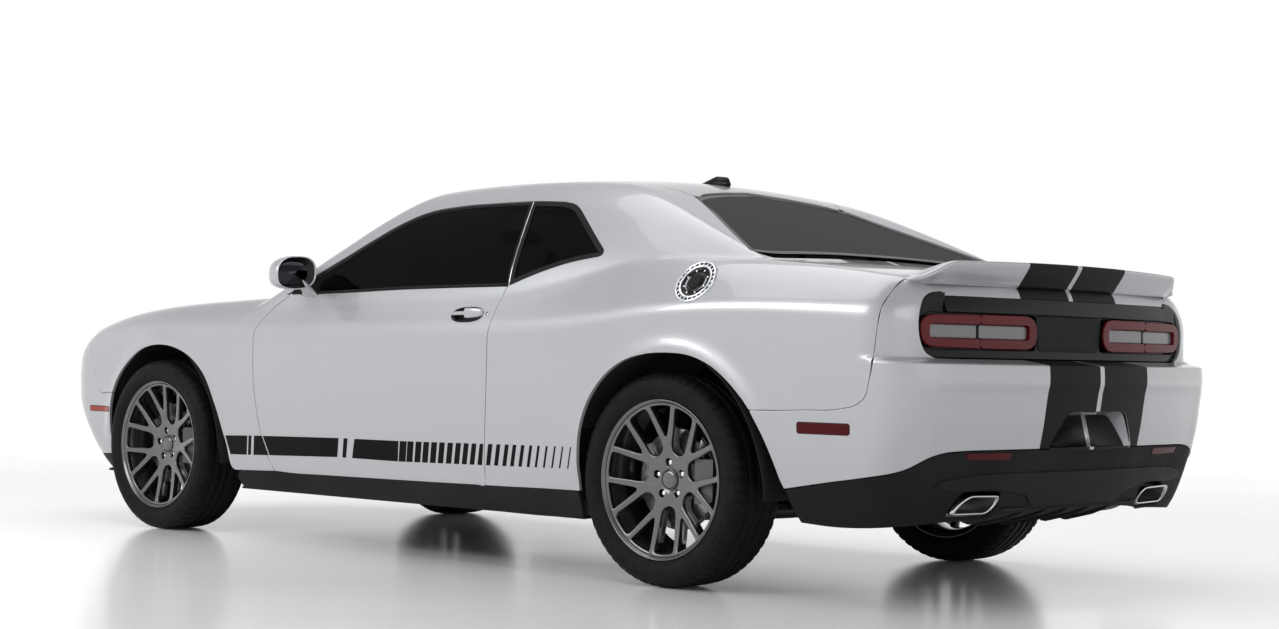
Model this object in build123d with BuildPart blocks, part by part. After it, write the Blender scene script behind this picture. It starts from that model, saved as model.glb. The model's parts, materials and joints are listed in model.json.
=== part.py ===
from build123d import *
import math
import os

os.makedirs("parts", exist_ok=True)

# Two-door rear-drive coupe, millimetres. +Z up, the nose points to -Y, the car's left side is +X.
# The origin is on the ground at the middle of the car's length and width.

# ---------------------------------------------------------------- driving dimensions
LENGTH = 5022.0
WHEELBASE = 2946.0
Y_FRONT = -1576.0                    # front axle
Y_REAR = Y_FRONT + WHEELBASE         # rear axle
TYRE_R = 362.0
TYRE_W = 245.0
RIM_R = 271.0                        # outer lip of the rim
X_WHEEL_F = 800.0                    # wheel centre planes
X_WHEEL_R = 812.0
X_KINGPIN = 700.0                    # steering axis of each front knuckle
STEER_SWEEP_R = 433.0                # room that the steered front tyre sweeps about its kingpin
STUB_R = 30.0                        # stub axle that carries hub, disc and rim
STUB_PLAY = 0.05
DISC_R = 172.0
GAP = 8.0                            # shut line round a moving panel
SKIN = 12.0                          # sheet panel with its inner frame
WALL = 26.0                          # quarter wall, roof frame
DOOR_GAP = 10.0
PLATE_Y = 2480.0                     # face of the number plate carrier
PLATE_SCREW = 177.8                  # between the plate's two screws
PLATE_SCREW_R = 3.0
DOOR_X_IN = 822.0                    # inner face of the doors
Z_SILL = 290.0                       # line between painted side and black skirt
Z_BOTTOM = 200.0
ARCH_LINER_R = 446.0
X_LINER_F = 472.0                    # inner wall of the front wheel housing
X_LINER_R = 655.0

# ---------------------------------------------------------------- body sections
# y, x_bottom, x_sill, x_mid, z_crease, x_crease, z_shoulder, x_shoulder, z_edge, x_edge, z_centre
STATIONS = [
    (-2600, 800, 830, 845, 690, 840, 775, 800, 812, 640, 806),
    (-2200, 835, 852, 862, 790, 860, 850, 808, 868, 715, 884),
    (-1900, 855, 876, 892, 838, 890, 902, 840, 920, 738, 935),
    (-1500, 885, 910, 930, 850, 930, 945, 862, 960, 750, 985),
    (-1000, 885, 915, 932, 850, 936, 972, 872, 988, 762, 1022),
    (-550, 885, 915, 934, 852, 940, 990, 884, 1004, 820, 1010),
    (100, 885, 915, 935, 855, 942, 1003, 890, 1016, 840, 1012),
    (550, 885, 915, 936, 858, 944, 1012, 892, 1026, 840, 1022),
    (950, 890, 920, 945, 892, 950, 1066, 888, 1102, 800, 1085),
    (1350, 890, 925, 957, 940, 958, 1088, 868, 1118, 760, 1112),
    (1700, 890, 925, 955, 948, 956, 1085, 862, 1112, 740, 1112),
    (2100, 870, 905, 930, 932, 932, 1052, 840, 1078, 720, 1090),
    (2600, 840, 870, 890, 905, 892, 1000, 800, 1030, 680, 1045),
]
Z_MID = 550.0

# greenhouse outlines, (x, y) from the front centre round the left side to the rear centre:
# windscreen centre, screen corner, screen pillar, side, rear pillar, rear glass corner, rear glass centre
GREENHOUSE = [
    (950, [(0, -1110), (800, -900), (902, -800), (912, 450), (900, 1350), (655, 1740), (0, 2080)]),
    (1345, [(0, -340), (640, -250), (702, -100), (716, 450), (690, 1020), (580, 1230), (0, 1285)]),
    (1395, [(0, -200), (570, -120), (632, 0), (656, 450), (630, 950), (530, 1100), (0, 1140)]),
    (1425, [(0, -40), (470, 20), (530, 120), (560, 450), (530, 820), (450, 930), (0, 970)]),
    (1449, [(0, 180), (160, 200), (200, 250), (220, 420), (200, 550), (160, 620), (0, 650)]),
]

# lateral (side view) outlines, (y, z)
SIDE_PROFILE = [
    (-2330, 195), (-2470, 330), (-2508, 470), (-2511, 640), (-2500, 745), (-2440, 830), (-2300, 1500),
    (2470, 1500), (2480, 792), (2511, 735), (2500, 620),
    (2470, 490), (2405, 300), (2330, 195),
]
# face of the boot lid and lamp panel in plan, above the bumper shelf, (x, y)
TAIL_FACE = [(0, 2392), (400, 2381), (760, 2345), (860, 2306), (1100, 2180)]
Z_SHELF = 800.0
# wheel arch, (y from the axle, z) over the top from front to rear
ARCH = [
    (-365, 150), (-368, 400), (-352, 520), (-318, 610), (-250, 702), (-160, 755), (-40, 786),
    (60, 789), (165, 776), (260, 740), (345, 680), (420, 590), (475, 500), (530, 395), (600, 290), (640, 150),
]
DOOR_FRONT = [(-720, 289), (-768, 340), (-812, 410), (-842, 490), (-865, 570), (-880, 650), (-884, 790), (-880, 850), (-828, 894), (-744, 946), (-650, 990)]
DOOR_REAR = [(600, 1030), (560, 960), (536, 905), (518, 850), (512, 700), (510, 289)]
BELT = [(-650, 990), (-338, 1001), (0, 1012), (548, 1021), (600, 1030)]


def mirrored(points):
    """Half outline from the centre line and back to it, completed on the other side."""
    return points + [(-x, y) for x, y in reversed(points) if abs(x) > 1e-6]


def inset(points, t):
    """Closed outline moved inwards by t, corner by corner."""
    n = len(points)
    area = sum(points[i][0] * points[(i + 1) % n][1] - points[(i + 1) % n][0] * points[i][1] for i in range(n))
    s = 1.0 if area > 0 else -1.0
    moved = []
    for i in range(n):
        (ax, ay), (bx, by), (cx, cy) = points[i - 1], points[i], points[(i + 1) % n]
        ux, uy = bx - ax, by - ay
        vx, vy = cx - bx, cy - by
        lu, lv = math.hypot(ux, uy), math.hypot(vx, vy)
        n1 = (-uy / lu * s, ux / lu * s)
        n2 = (-vy / lv * s, vx / lv * s)
        k = 1.0 + n1[0] * n2[0] + n1[1] * n2[1]
        moved.append((bx + t * (n1[0] + n2[0]) / k, by + t * (n1[1] + n2[1]) / k))
    return moved


def section(row):
    """Closed body section in (x, z) at one station."""
    y, xb, xs, xm, zc, xc, zs, xsh, ze, xe, zt = row
    half = [(0, Z_BOTTOM), (xb, Z_BOTTOM), (xs, Z_SILL), (xm, Z_MID), (xc, zc), (xsh, zs), (xe, ze), (0, zt)]
    return half + [(-x, z) for x, z in reversed(half) if x > 0]


def side_prism(points, x0, x1):
    """Outline in (y, z), from x0 to x1."""
    x0, x1 = min(x0, x1), max(x0, x1)
    with BuildPart() as p:
        with BuildSketch(Plane.YZ.offset(x0)):
            with BuildLine():
                Polyline(*points, close=True)
            make_face()
        extrude(amount=x1 - x0)
    return p.part


def plan_prism(points, z0, z1):
    """Outline in (x, y), from z0 to z1."""
    with BuildPart() as p:
        with BuildSketch(Plane.XY.offset(z0)):
            with BuildLine():
                Polyline(*points, close=True)
            make_face()
        extrude(amount=z1 - z0)
    return p.part


def slab(x0, x1, y0, y1, z0, z1):
    with BuildPart() as p:
        with Locations(((x0 + x1) / 2, (y0 + y1) / 2, (z0 + z1) / 2)):
            Box(x1 - x0, y1 - y0, z1 - z0)
    return p.part


def plan_outline(t):
    """The car seen from above, rounded nose and tail, moved inwards by t."""
    with BuildPart() as p:
        with BuildSketch(Plane.XY.offset(100)):
            with BuildLine():
                for s in (1, -1):
                    ThreePointArc((0, -2511 + t), (s * (420 - t), -2486 + t), (s * (700 - t), -2425 + t))
                    ThreePointArc((s * (700 - t), -2425 + t), (s * (808 - t), -2335 + t * 0.7), (s * (862 - t), -2190))
                    Polyline((s * (862 - t), -2190), (s * (1000 - t), -1400), (s * (1000 - t), 1600), (s * (915 - t), 2240))
                    ThreePointArc((s * (915 - t), 2240), (s * (888 - t), 2352 - t * 0.5), (s * (790 - t), 2428 - t))
                    ThreePointArc((s * (790 - t), 2428 - t), (s * (420 - t), 2490 - t), (0, 2511 - t))
            make_face()
        extrude(amount=1100)
    return p.part


def hull(t):
    """The lower body's outer form, moved inwards by t on every side."""
    plan = plan_outline(t)
    side_form = side_prism(inset(SIDE_PROFILE, t), -1000, 1000)
    beyond_tail = plan_prism(mirrored([(x, y - t) for x, y in TAIL_FACE] + [(1100, 2700), (0, 2700)]), Z_SHELF - t, 1600)
    bays = []
    for front, rear in zip(STATIONS, STATIONS[1:]):
        with BuildPart() as bay:
            for row in (front, rear):
                with BuildSketch(Plane.XZ.offset(-row[0])):
                    with BuildLine():
                        Polyline(*inset(section(row), t), close=True)
                    make_face()
            loft(ruled=True)
            add(plan, mode=Mode.INTERSECT)
            add(side_form, mode=Mode.INTERSECT)
            if rear[0] > 2200:
                add(beyond_tail, mode=Mode.SUBTRACT)
        bays.append(bay.part)
    with BuildPart() as whole:
        for part in bays:
            add(part)
    return whole.part


def greenhouse(t):
    """Glass and roof form above the belt, moved inwards by t."""
    with BuildPart() as p:
        for z, outline in GREENHOUSE:
            with BuildSketch(Plane.XY.offset(z - (t if z > 1300 else 0))):
                with BuildLine():
                    Polyline(*inset(mirrored(outline), t), close=True)
                make_face()
        loft(ruled=True)
    return p.part


def arch(y_axle, s):
    pts = [(y_axle + y, z) for y, z in ARCH]
    return side_prism(pts, 400, 1100) if s > 0 else side_prism(pts, -1100, -400)


outer = hull(0)
outer_skin = hull(SKIN)
outer_wall = hull(WALL)
cabin_form = greenhouse(0)
cabin_glass = greenhouse(7)
cabin_wall = greenhouse(WALL + 6)
SIDES = (("left", 1), ("right", -1))


def outward(s, x0=0.0, x1=1100.0):
    """Everything on one side, between two distances from the centre line."""
    return slab(x0, x1, -2700, 2700, 0, 1600) if s > 0 else slab(-x1, -x0, -2700, 2700, 0, 1600)


def save(p, name):
    p.part.label = name
    export_step(p.part, f"parts/{name}.step")


# ---------------------------------------------------------------- plan shapes of hood and boot lid
HOOD = [(0, -2405), (400, -2385), (640, -2330), (690, -2200), (716, -1900), (726, -1500), (738, -1040), (500, -1075), (0, -1110)]
LID = [(0, 1800), (400, 1745), (655, 1600), (690, 1680), (700, 1900), (690, 2150), (668, 2600), (0, 2600)]
hood_zone = plan_prism(mirrored(HOOD), 700, 1300)
hood_cut = plan_prism(inset(mirrored(HOOD), -GAP), 700, 1300)
lid_zone = plan_prism(mirrored(LID), 975, 1300)
lid_cut = plan_prism(inset(mirrored(LID), -GAP), 975 - GAP, 1300)
COWL = [(0, -1110 + GAP), (500, -1075 + GAP), (738, -1040 + GAP), (800, -900), (0, -900)]

# side view shapes
DOOR = DOOR_FRONT + BELT[1:] + DOOR_REAR[1:]
door_grown = inset(DOOR, -DOOR_GAP)
FRONT_BUMPER_CUT = [(-2700, 100), (-1500, 100), (-1500, 572), (-2130, 575), (-2175, 620), (-2215, 790), (-2232, 900), (-2700, 900)]
REAR_BUMPER_CUT = [(1500, 372), (1950, 384), (2100, 425), (2240, 470), (2700, 480), (2700, 795), (2292, 800), (2274, 770), (2246, 665), (2225, 634), (2180, 620), (1500, 606)]
VALANCE = [(1500, 372), (1950, 384), (2100, 425), (2240, 470), (2700, 480), (2700, 100), (1500, 100)]
WINDSCREEN = [(0, -1030), (560, -925), (768, -838), (612, -262), (0, -352), ]
REAR_GLASS = [(0, 1262), (566, 1214), (618, 1512), (380, 1668), (0, 1762)]
DOOR_GLASS = [(-610, 1002), (-575, 1065), (-490, 1122), (-212, 1282), (-60, 1322), (120, 1334), (345, 1341), (618, 1342), (594, 1180), (566, 1034), (548, 1026), (0, 1017), (-338, 1006)]
DLO = [(-690, 960), (-628, 1050), (-500, 1142), (-215, 1300), (-60, 1340), (120, 1350), (345, 1356), (690, 1356), (752, 1330), (806, 1285), (1000, 1112), (900, 1085), (620, 1022), (560, 960)]
QUARTER_GLASS = [(574, 1036), (602, 1182), (628, 1342), (684, 1342), (738, 1318), (790, 1272), (965, 1116), (890, 1095), (735, 1060)]

# ---------------------------------------------------------------- painted panels
with BuildPart() as hood:
    add(outer)
    add(outer_skin, mode=Mode.SUBTRACT)
    add(hood_zone, mode=Mode.INTERSECT)
save(hood, "hood")

with BuildPart() as trunk_lid:
    add(outer)
    add(outer_skin, mode=Mode.SUBTRACT)
    add(lid_zone, mode=Mode.INTERSECT)
save(trunk_lid, "trunk_lid")

# spoiler stands on the lid's rear edge and reaches over the quarter panels
with BuildPart() as spoiler:
    with BuildSketch(Plane.YZ.offset(-780)):
        with BuildLine():
            Polyline((2205, 1080), (2290, 1098), (2385, 1117), (2412, 1112), (2404, 1040), (2380, 1032), (2330, 1050), (2205, 1064), close=True)
        make_face()
    extrude(amount=1560)
    add(plan_prism(mirrored([(0, 2440), (0, 2205), (600, 2190), (740, 2165), (782, 2200), (772, 2330), (400, 2396)][1:] + [(0, 2412)]), 1000, 1150), mode=Mode.INTERSECT)
    add(outer, mode=Mode.SUBTRACT)
    for s in (1, -1):
        with BuildPart(mode=Mode.PRIVATE) as over_quarter:
            add(outer.moved(Location((0, 0, 7))))
            add(outer.moved(Location((0, 9, 0))))
            add(outward(s, 676, 1100), mode=Mode.INTERSECT)
        add(over_quarter.part, mode=Mode.SUBTRACT)
save(spoiler, "spoiler")

for side, s in SIDES:
    with BuildPart() as fender:
        add(outer)
        add(outer_skin, mode=Mode.SUBTRACT)
        add(side_prism([(-2250, Z_SILL), (-500, Z_SILL), (-500, 1100), (-2250, 1100)], 300 * s, 1100 * s), mode=Mode.INTERSECT)
        add(hood_cut, mode=Mode.SUBTRACT)
        add(side_prism(inset(FRONT_BUMPER_CUT, -2), -1100, 1100), mode=Mode.SUBTRACT)
        add(side_prism(door_grown, -1100, 1100), mode=Mode.SUBTRACT)
        add(side_prism([(-730, 200), (-330, 200), (-330, 1100), (-650, 1100), (-640, 985), (-700, 400)], -1100, 1100), mode=Mode.SUBTRACT)
        add(arch(Y_FRONT, s), mode=Mode.SUBTRACT)
        add(cabin_form, mode=Mode.SUBTRACT)
        add(slab(-690, 690, -1150, -300, 900, 1200), mode=Mode.SUBTRACT)
        add(plan_prism(mirrored(COWL), 850, 1200), mode=Mode.SUBTRACT)
    save(fender, f"front_fender_{side}")

for side, s in SIDES:
    with BuildPart() as door:
        add(outer)
        add(side_prism(DOOR, DOOR_X_IN * s, 1100 * s), mode=Mode.INTERSECT)
        add(slab(-1100, 1100, -1000, 1000, 100, Z_SILL + 7), mode=Mode.SUBTRACT)
    save(door, f"door_{side}")

    with BuildPart() as door_glass:
        add(cabin_form)
        add(cabin_glass, mode=Mode.SUBTRACT)
        add(side_prism(DOOR_GLASS, 500 * s, 1100 * s), mode=Mode.INTERSECT)
        add(outer, mode=Mode.SUBTRACT)
    save(door_glass, f"door_glass_{side}")

    # door mirror: foot on the door's top edge and a round-backed head
    with BuildPart() as mirror:
        with BuildSketch(Plane.XZ.offset(545)):
            with Locations((s * 1000, 1092)):
                SlotOverall(196, 122)
        extrude(amount=-22)
        with BuildSketch(Plane.XZ.offset(545)):
            with Locations((s * 1000, 1092)):
                SlotOverall(196, 122)
        with BuildSketch(Plane.XZ.offset(625)):
            with Locations((s * 990, 1090)):
                SlotOverall(130, 70)
        loft(ruled=True)
        with BuildSketch(Plane.XZ.offset(560)):
            with BuildLine():
                Polyline((s * 880, 985), (s * 880, 1012), (s * 925, 1060), (s * 985, 1075), (s * 985, 1040), (s * 930, 985), close=True)
            make_face()
        extrude(amount=-26)
        add(outer, mode=Mode.SUBTRACT)
    save(mirror, f"mirror_{side}")

with BuildPart() as roof:
    add(cabin_form)
    add(cabin_wall, mode=Mode.SUBTRACT)
    add(slab(-1100, 1100, -1300, 1400, 1000, 1500), mode=Mode.INTERSECT)
    add(plan_prism(inset(mirrored(WINDSCREEN), -3), 900, 1500), mode=Mode.SUBTRACT)
    add(plan_prism(inset(mirrored(REAR_GLASS), -3), 900, 1500), mode=Mode.SUBTRACT)
    add(side_prism(DLO, -1100, 1100), mode=Mode.SUBTRACT)
    add(side_prism([(-300, 900), (2300, 900), (2300, 1300), (1262, 1350), (700, 1350), (560, 1346), (400, 1330), (-300, 1030)], -1100, 1100), mode=Mode.SUBTRACT)
    add(outer, mode=Mode.SUBTRACT)
save(roof, "roof")
roof_form = roof.part

quarters = []
for side, s in SIDES:
    with BuildPart() as quarter:
        add(cabin_form)
        add(side_prism([(560, 960), (1900, 960), (1500, 1250), (1250, 1346), (560, 1346)], 300 * s, 1100 * s), mode=Mode.INTERSECT)
        add(side_prism(DLO, -1100, 1100), mode=Mode.SUBTRACT)
        add(plan_prism(mirrored([(0, 700), (560, 700), (573, 1214), (625, 1512), (640, 1640), (0, 1900)]), 900, 1500), mode=Mode.SUBTRACT)
        add(cabin_wall, mode=Mode.SUBTRACT)
        with BuildPart(mode=Mode.PRIVATE) as lower:
            add(outer)
            add(outer_wall, mode=Mode.SUBTRACT)
            add(side_prism([(500, Z_SILL), (2400, Z_SILL), (2400, 1300), (500, 1300)], 300 * s, 1100 * s), mode=Mode.INTERSECT)
            add(plan_prism(mirrored([(0, 300), (800, 300), (800, 900), (700, 1250), (580, 1400), (580, 1620), (0, 1900)]), 850, 1500), mode=Mode.SUBTRACT)
        add(lower.part)
        add(lid_cut, mode=Mode.SUBTRACT)
        add(side_prism(door_grown, -1100, 1100), mode=Mode.SUBTRACT)
        add(side_prism([(0, 200), (520, 200), (522, 850), (544, 910), (568, 960), (612, 1036), (0, 1036)], -1100, 1100), mode=Mode.SUBTRACT)
        add(side_prism(inset(REAR_BUMPER_CUT, -2), -1100, 1100), mode=Mode.SUBTRACT)
        add(side_prism(inset(VALANCE, -2), -1100, 1100), mode=Mode.SUBTRACT)
        add(side_prism([(2290, 795), (2700, 795), (2700, 975 - GAP), (2400, 975 - GAP), (2318, 940)], -1100, 1100), mode=Mode.SUBTRACT)
        add(slab(-700, 700, 2000, 2700, 700, 975 - GAP), mode=Mode.SUBTRACT)
        add(roof_form, mode=Mode.SUBTRACT)
        add(arch(Y_REAR, s), mode=Mode.SUBTRACT)
    save(quarter, f"quarter_panel_{side}")
    quarters.append(quarter.part)

with BuildPart() as windscreen:
    add(cabin_form)
    add(cabin_glass, mode=Mode.SUBTRACT)
    add(plan_prism(mirrored(WINDSCREEN), 1000, 1500), mode=Mode.INTERSECT)
    add(outer, mode=Mode.SUBTRACT)
save(windscreen, "windscreen")

with BuildPart() as rear_glass:
    add(cabin_form)
    add(cabin_glass, mode=Mode.SUBTRACT)
    add(plan_prism(mirrored(REAR_GLASS), 1000, 1500), mode=Mode.INTERSECT)
    add(outer, mode=Mode.SUBTRACT)
save(rear_glass, "rear_glass")

with BuildPart() as quarter_glass:
    for side, s in SIDES:
        with BuildPart(mode=Mode.PRIVATE) as pane:
            add(cabin_form)
            add(cabin_glass, mode=Mode.SUBTRACT)
            add(side_prism(QUARTER_GLASS, 500 * s, 1100 * s), mode=Mode.INTERSECT)
            add(outer, mode=Mode.SUBTRACT)
        add(pane.part)
save(quarter_glass, "quarter_glass")


# ---------------------------------------------------------------- bumpers, tail and grille
with BuildPart() as front_bumper:
    add(outer)
    add(outer_wall, mode=Mode.SUBTRACT)
    add(side_prism(FRONT_BUMPER_CUT, -1000, 1000), mode=Mode.INTERSECT)
    add(hood_cut, mode=Mode.SUBTRACT)
    for side, s in SIDES:
        add(arch(Y_FRONT, s), mode=Mode.SUBTRACT)
        with Locations((X_KINGPIN * s, Y_FRONT, 100)):
            Cylinder(STEER_SWEEP_R, 640, align=(Align.CENTER, Align.CENTER, Align.MIN), mode=Mode.SUBTRACT)
    add(slab(-645, 645, -2700, -2300, 572, 758), mode=Mode.SUBTRACT)
    add(slab(-560, 560, -2700, -2300, 330, 462), mode=Mode.SUBTRACT)
    add(slab(-1000, 1000, -2140, -1500, 100, 240), mode=Mode.SUBTRACT)
save(front_bumper, "front_bumper")

with BuildPart() as grille:
    add(slab(-640, 640, -2418, -2396, 560, 770))
    add(slab(-556, 556, -2418, -2396, 322, 470))
    add(front_bumper.part, mode=Mode.SUBTRACT)
save(grille, "grille")

with BuildPart() as headlights:
    for x, r in ((548, 80), (366, 70)):
        with BuildSketch(Plane.XZ.offset(2418)):
            with Locations((x, 665), (-x, 665)):
                Circle(r)
        extrude(amount=34)
    add(front_bumper.part, mode=Mode.SUBTRACT)
save(headlights, "headlights")

with BuildPart() as rear_valance:
    add(outer)
    add(outer_wall, mode=Mode.SUBTRACT)
    add(side_prism(VALANCE, -1000, 1000), mode=Mode.INTERSECT)
    for side, s in SIDES:
        add(arch(Y_REAR, s), mode=Mode.SUBTRACT)
        add(slab(450 * s, 632 * s, 2200, 2700, 282, 378) if s > 0 else slab(632 * s, 450 * s, 2200, 2700, 282, 378), mode=Mode.SUBTRACT)
    add(slab(-1000, 1000, 1500, 2260, 100, 236), mode=Mode.SUBTRACT)
save(rear_valance, "rear_valance")

with BuildPart() as rear_bumper:
    add(outer)
    add(outer_wall, mode=Mode.SUBTRACT)
    add(side_prism(REAR_BUMPER_CUT, -1000, 1000), mode=Mode.INTERSECT)
    # recess with a flat carrier for the number plate and its two screws
    add(slab(-172, 172, 2462, 2486, 578, 738))
    with BuildSketch(Plane.XZ.offset(-PLATE_Y)):
        with Locations((0, 658)):
            Trapezoid(300, 134, 78, rotation=180)
    extrude(amount=-200, mode=Mode.SUBTRACT)
    with BuildSketch(Plane.XZ.offset(-PLATE_Y)):
        with Locations((PLATE_SCREW / 2, 700), (-PLATE_SCREW / 2, 700)):
            Circle(PLATE_SCREW_R)
    extrude(amount=60, mode=Mode.SUBTRACT)
    for side, s in SIDES:
        add(arch(Y_REAR, s), mode=Mode.SUBTRACT)
save(rear_bumper, "rear_bumper")

LAMP_Z, LAMP_H = 866.0, 96.0
with BuildPart() as tail_panel:
    add(outer)
    add(outer_wall, mode=Mode.SUBTRACT)
    add(side_prism([(2290, Z_SHELF), (2700, Z_SHELF), (2700, 975 - GAP), (2400, 975 - GAP), (2318, 940)], -1000, 1000), mode=Mode.INTERSECT)
    with BuildPart(mode=Mode.PRIVATE) as pocket:
        with BuildSketch(Plane.XZ.offset(-2500)):
            with Locations((480, LAMP_Z), (-480, LAMP_Z)):
                SlotOverall(562, LAMP_H)
        extrude(amount=200)
    add(pocket.part, mode=Mode.SUBTRACT)
    for panel in quarters:
        add(panel, mode=Mode.SUBTRACT)
save(tail_panel, "tail_panel")

with BuildPart() as tail_lights:
    add(outer)
    add(outer_skin, mode=Mode.SUBTRACT)
    add(pocket.part, mode=Mode.INTERSECT)
    add(side_prism([(2200, Z_SHELF), (2700, Z_SHELF), (2700, 960), (2200, 960)], -1000, 1000), mode=Mode.INTERSECT)
save(tail_lights, "tail_lights")

with BuildPart() as side_skirts:
    for side, s in SIDES:
        with BuildPart(mode=Mode.PRIVATE) as skirt:
            add(outer)
            add(side_prism([(-985, 150), (1010, 150), (985, Z_SILL), (-968, Z_SILL)], 780 * s, 1100 * s), mode=Mode.INTERSECT)
        add(skirt.part)
save(side_skirts, "side_skirts")

# ---------------------------------------------------------------- structure
FLOOR = [(-1065, 235), (720, 235), (768, 330), (1150, 330), (1230, 520), (1650, 520), (1700, 430), (1710, 430),
         (1710, 452), (1662, 540), (1216, 540), (1136, 350), (756, 350), (708, 255), (-1065, 255)]
with BuildPart() as floor_pan:
    add(side_prism(FLOOR, -640, 640))
    add(slab(-780, 780, -1065, 708, 235, 255))
    for side, s in SIDES:
        add(slab(*sorted((730 * s, 780 * s)), -968, 985, 200, 330))
        add(slab(*sorted((600 * s, 760 * s)), 708, 985, 235, 350))
        # rear wheel housing: inner wall and roof round the tyre
        add(slab(*sorted((640 * s, X_LINER_R * s)), 900, 1840, 500, 815))
        with BuildPart(mode=Mode.PRIVATE) as housing:
            with BuildSketch(Plane.YZ.offset(X_LINER_R * s)):
                with Locations((Y_REAR, TYRE_R)):
                    Circle(ARCH_LINER_R + 10)
                    Circle(ARCH_LINER_R, mode=Mode.SUBTRACT)
            extrude(amount=240 * s)
            add(slab(-1100, 1100, 800, 1900, 520, 900), mode=Mode.INTERSECT)
            add(outer_wall, mode=Mode.INTERSECT)
        add(housing.part)
save(floor_pan, "floor_pan")

with BuildPart() as boot_floor:
    add(slab(-640, 640, 1710, 2340, 430, 450))
save(boot_floor, "boot_floor")

with BuildPart() as parcel_shelf:
    add(slab(-600, 600, 1330, 1700, 945, 960))
save(parcel_shelf, "parcel_shelf")

with BuildPart() as cowl:
    add(outer)
    add(outer_skin, mode=Mode.SUBTRACT)
    add(plan_prism(mirrored(COWL), 850, 1200), mode=Mode.INTERSECT)
    add(cabin_form, mode=Mode.SUBTRACT)
save(cowl, "cowl")

with BuildPart() as engine_bay:
    add(slab(-700, 700, -1085, -1065, 255, 960))
    add(slab(-620, 620, -2380, -2360, 340, 790))
    add(slab(-470, 470, -2390, -2350, 480, 740), mode=Mode.SUBTRACT)
    for side, s in SIDES:
        add(slab(*sorted((452 * s, X_LINER_F * s)), -2360, -1085, 330, 815))
        add(slab(*sorted((452 * s, 700 * s)), -2360, -1085, 815, 835))
        with BuildPart(mode=Mode.PRIVATE) as housing:
            with BuildSketch(Plane.YZ.offset(X_LINER_F * s)):
                with Locations((Y_FRONT, TYRE_R)):
                    Circle(ARCH_LINER_R + 10)
                    Circle(ARCH_LINER_R, mode=Mode.SUBTRACT)
            extrude(amount=400 * s)
            add(slab(-1100, 1100, -2100, -1085, 300, 900), mode=Mode.INTERSECT)
            add(outer_wall, mode=Mode.INTERSECT)
        add(housing.part)
    add(front_bumper.part, mode=Mode.SUBTRACT)
save(engine_bay, "engine_bay")

# stand-in block at the engine's place and size
with BuildPart() as engine:
    add(slab(-300, 300, -1950, -1180, 280, 850))
save(engine, "engine")

# ---------------------------------------------------------------- cabin
COLUMN = Plane(origin=(370, -380, 860), x_dir=(1, 0, 0), z_dir=(0, math.cos(math.radians(22)), math.sin(math.radians(22))))
COLUMN_R = 16.0
with BuildPart() as steering_wheel:
    with BuildSketch(Plane(origin=COLUMN.origin, x_dir=COLUMN.z_dir, z_dir=(-1, 0, 0))) as rim_section:
        with Locations((0, 178)):
            Circle(14)
    revolve(axis=Axis(COLUMN.origin, COLUMN.z_dir))
    with BuildSketch(COLUMN.offset(-60)):
        Circle(52)
    extrude(amount=60)
    with BuildSketch(COLUMN.offset(-12)):
        with PolarLocations(0, 3, start_angle=90):
            with Locations((90, 0)):
                Rectangle(180 - 2 * 5, 34)
    extrude(amount=12)
    with BuildSketch(COLUMN.offset(-215)):
        Circle(COLUMN_R)
    extrude(amount=160)
save(steering_wheel, "steering_wheel")

with BuildPart() as dashboard:
    add(side_prism([(-1060, 800), (-960, 940), (-560, 940), (-490, 880), (-500, 720), (-640, 620), (-1060, 620)], -730, 730))
    with BuildSketch(COLUMN.offset(-400)):
        Circle(COLUMN_R + 0.05)
    extrude(amount=400, mode=Mode.SUBTRACT)
save(dashboard, "dashboard")

SEAT = [(-160, 255), (-185, 430), (-120, 478), (320, 440), (500, 930), (530, 1110), (600, 1130), (625, 1090), (540, 620), (430, 300), (320, 255)]
with BuildPart() as front_seats:
    for side, s in SIDES:
        add(side_prism(SEAT, 130 * s, 650 * s))
save(front_seats, "front_seats")

with BuildPart() as rear_seat:
    add(side_prism([(700, 352), (690, 470), (1110, 440), (1290, 870), (1370, 880), (1400, 850), (1262, 542), (1216, 542), (1136, 352)], -600, 600))
save(rear_seat, "rear_seat")

# ---------------------------------------------------------------- running gear
def upright(s, c, y_axle):
    """Upright with stub axle and brake caliper. c is the wheel's centre plane."""
    with BuildPart() as p:
        add(slab(*sorted(((c - 130) * s, (c - 70) * s)), y_axle - 45, y_axle + 45, TYRE_R - 140, TYRE_R + 140))
        with BuildSketch(Plane.YZ.offset((c - 75) * s)):
            with Locations((y_axle, TYRE_R)):
                Circle(STUB_R)
        extrude(amount=110 * s)
        add(slab(*sorted(((c - 100) * s, (c - 38) * s)), y_axle + 38, y_axle + 150, TYRE_R - 55, TYRE_R + 55))
        with BuildPart(mode=Mode.PRIVATE) as caliper:
            add(slab(*sorted(((c - 45) * s, (c + 57) * s)), y_axle + 116, y_axle + 196, TYRE_R - 75, TYRE_R + 75))
            with BuildPart(mode=Mode.PRIVATE) as disc_slot:
                with BuildSketch(Plane.YZ.offset((c - 11) * s)):
                    with Locations((y_axle, TYRE_R)):
                        Circle(DISC_R + 7)
                extrude(amount=42 * s)
            add(disc_slot.part, mode=Mode.SUBTRACT)
        add(caliper.part)
    return p.part


PIN_R = 12.0
for side, s in SIDES:
    with BuildPart() as knuckle:
        add(upright(s, X_WHEEL_F, Y_FRONT))
        with BuildSketch(Plane.XY.offset(180)):
            with Locations((X_KINGPIN * s, Y_FRONT)):
                Circle(PIN_R + STUB_PLAY)
        extrude(amount=160, mode=Mode.SUBTRACT)
    save(knuckle, f"knuckle_front_{side}")

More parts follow.
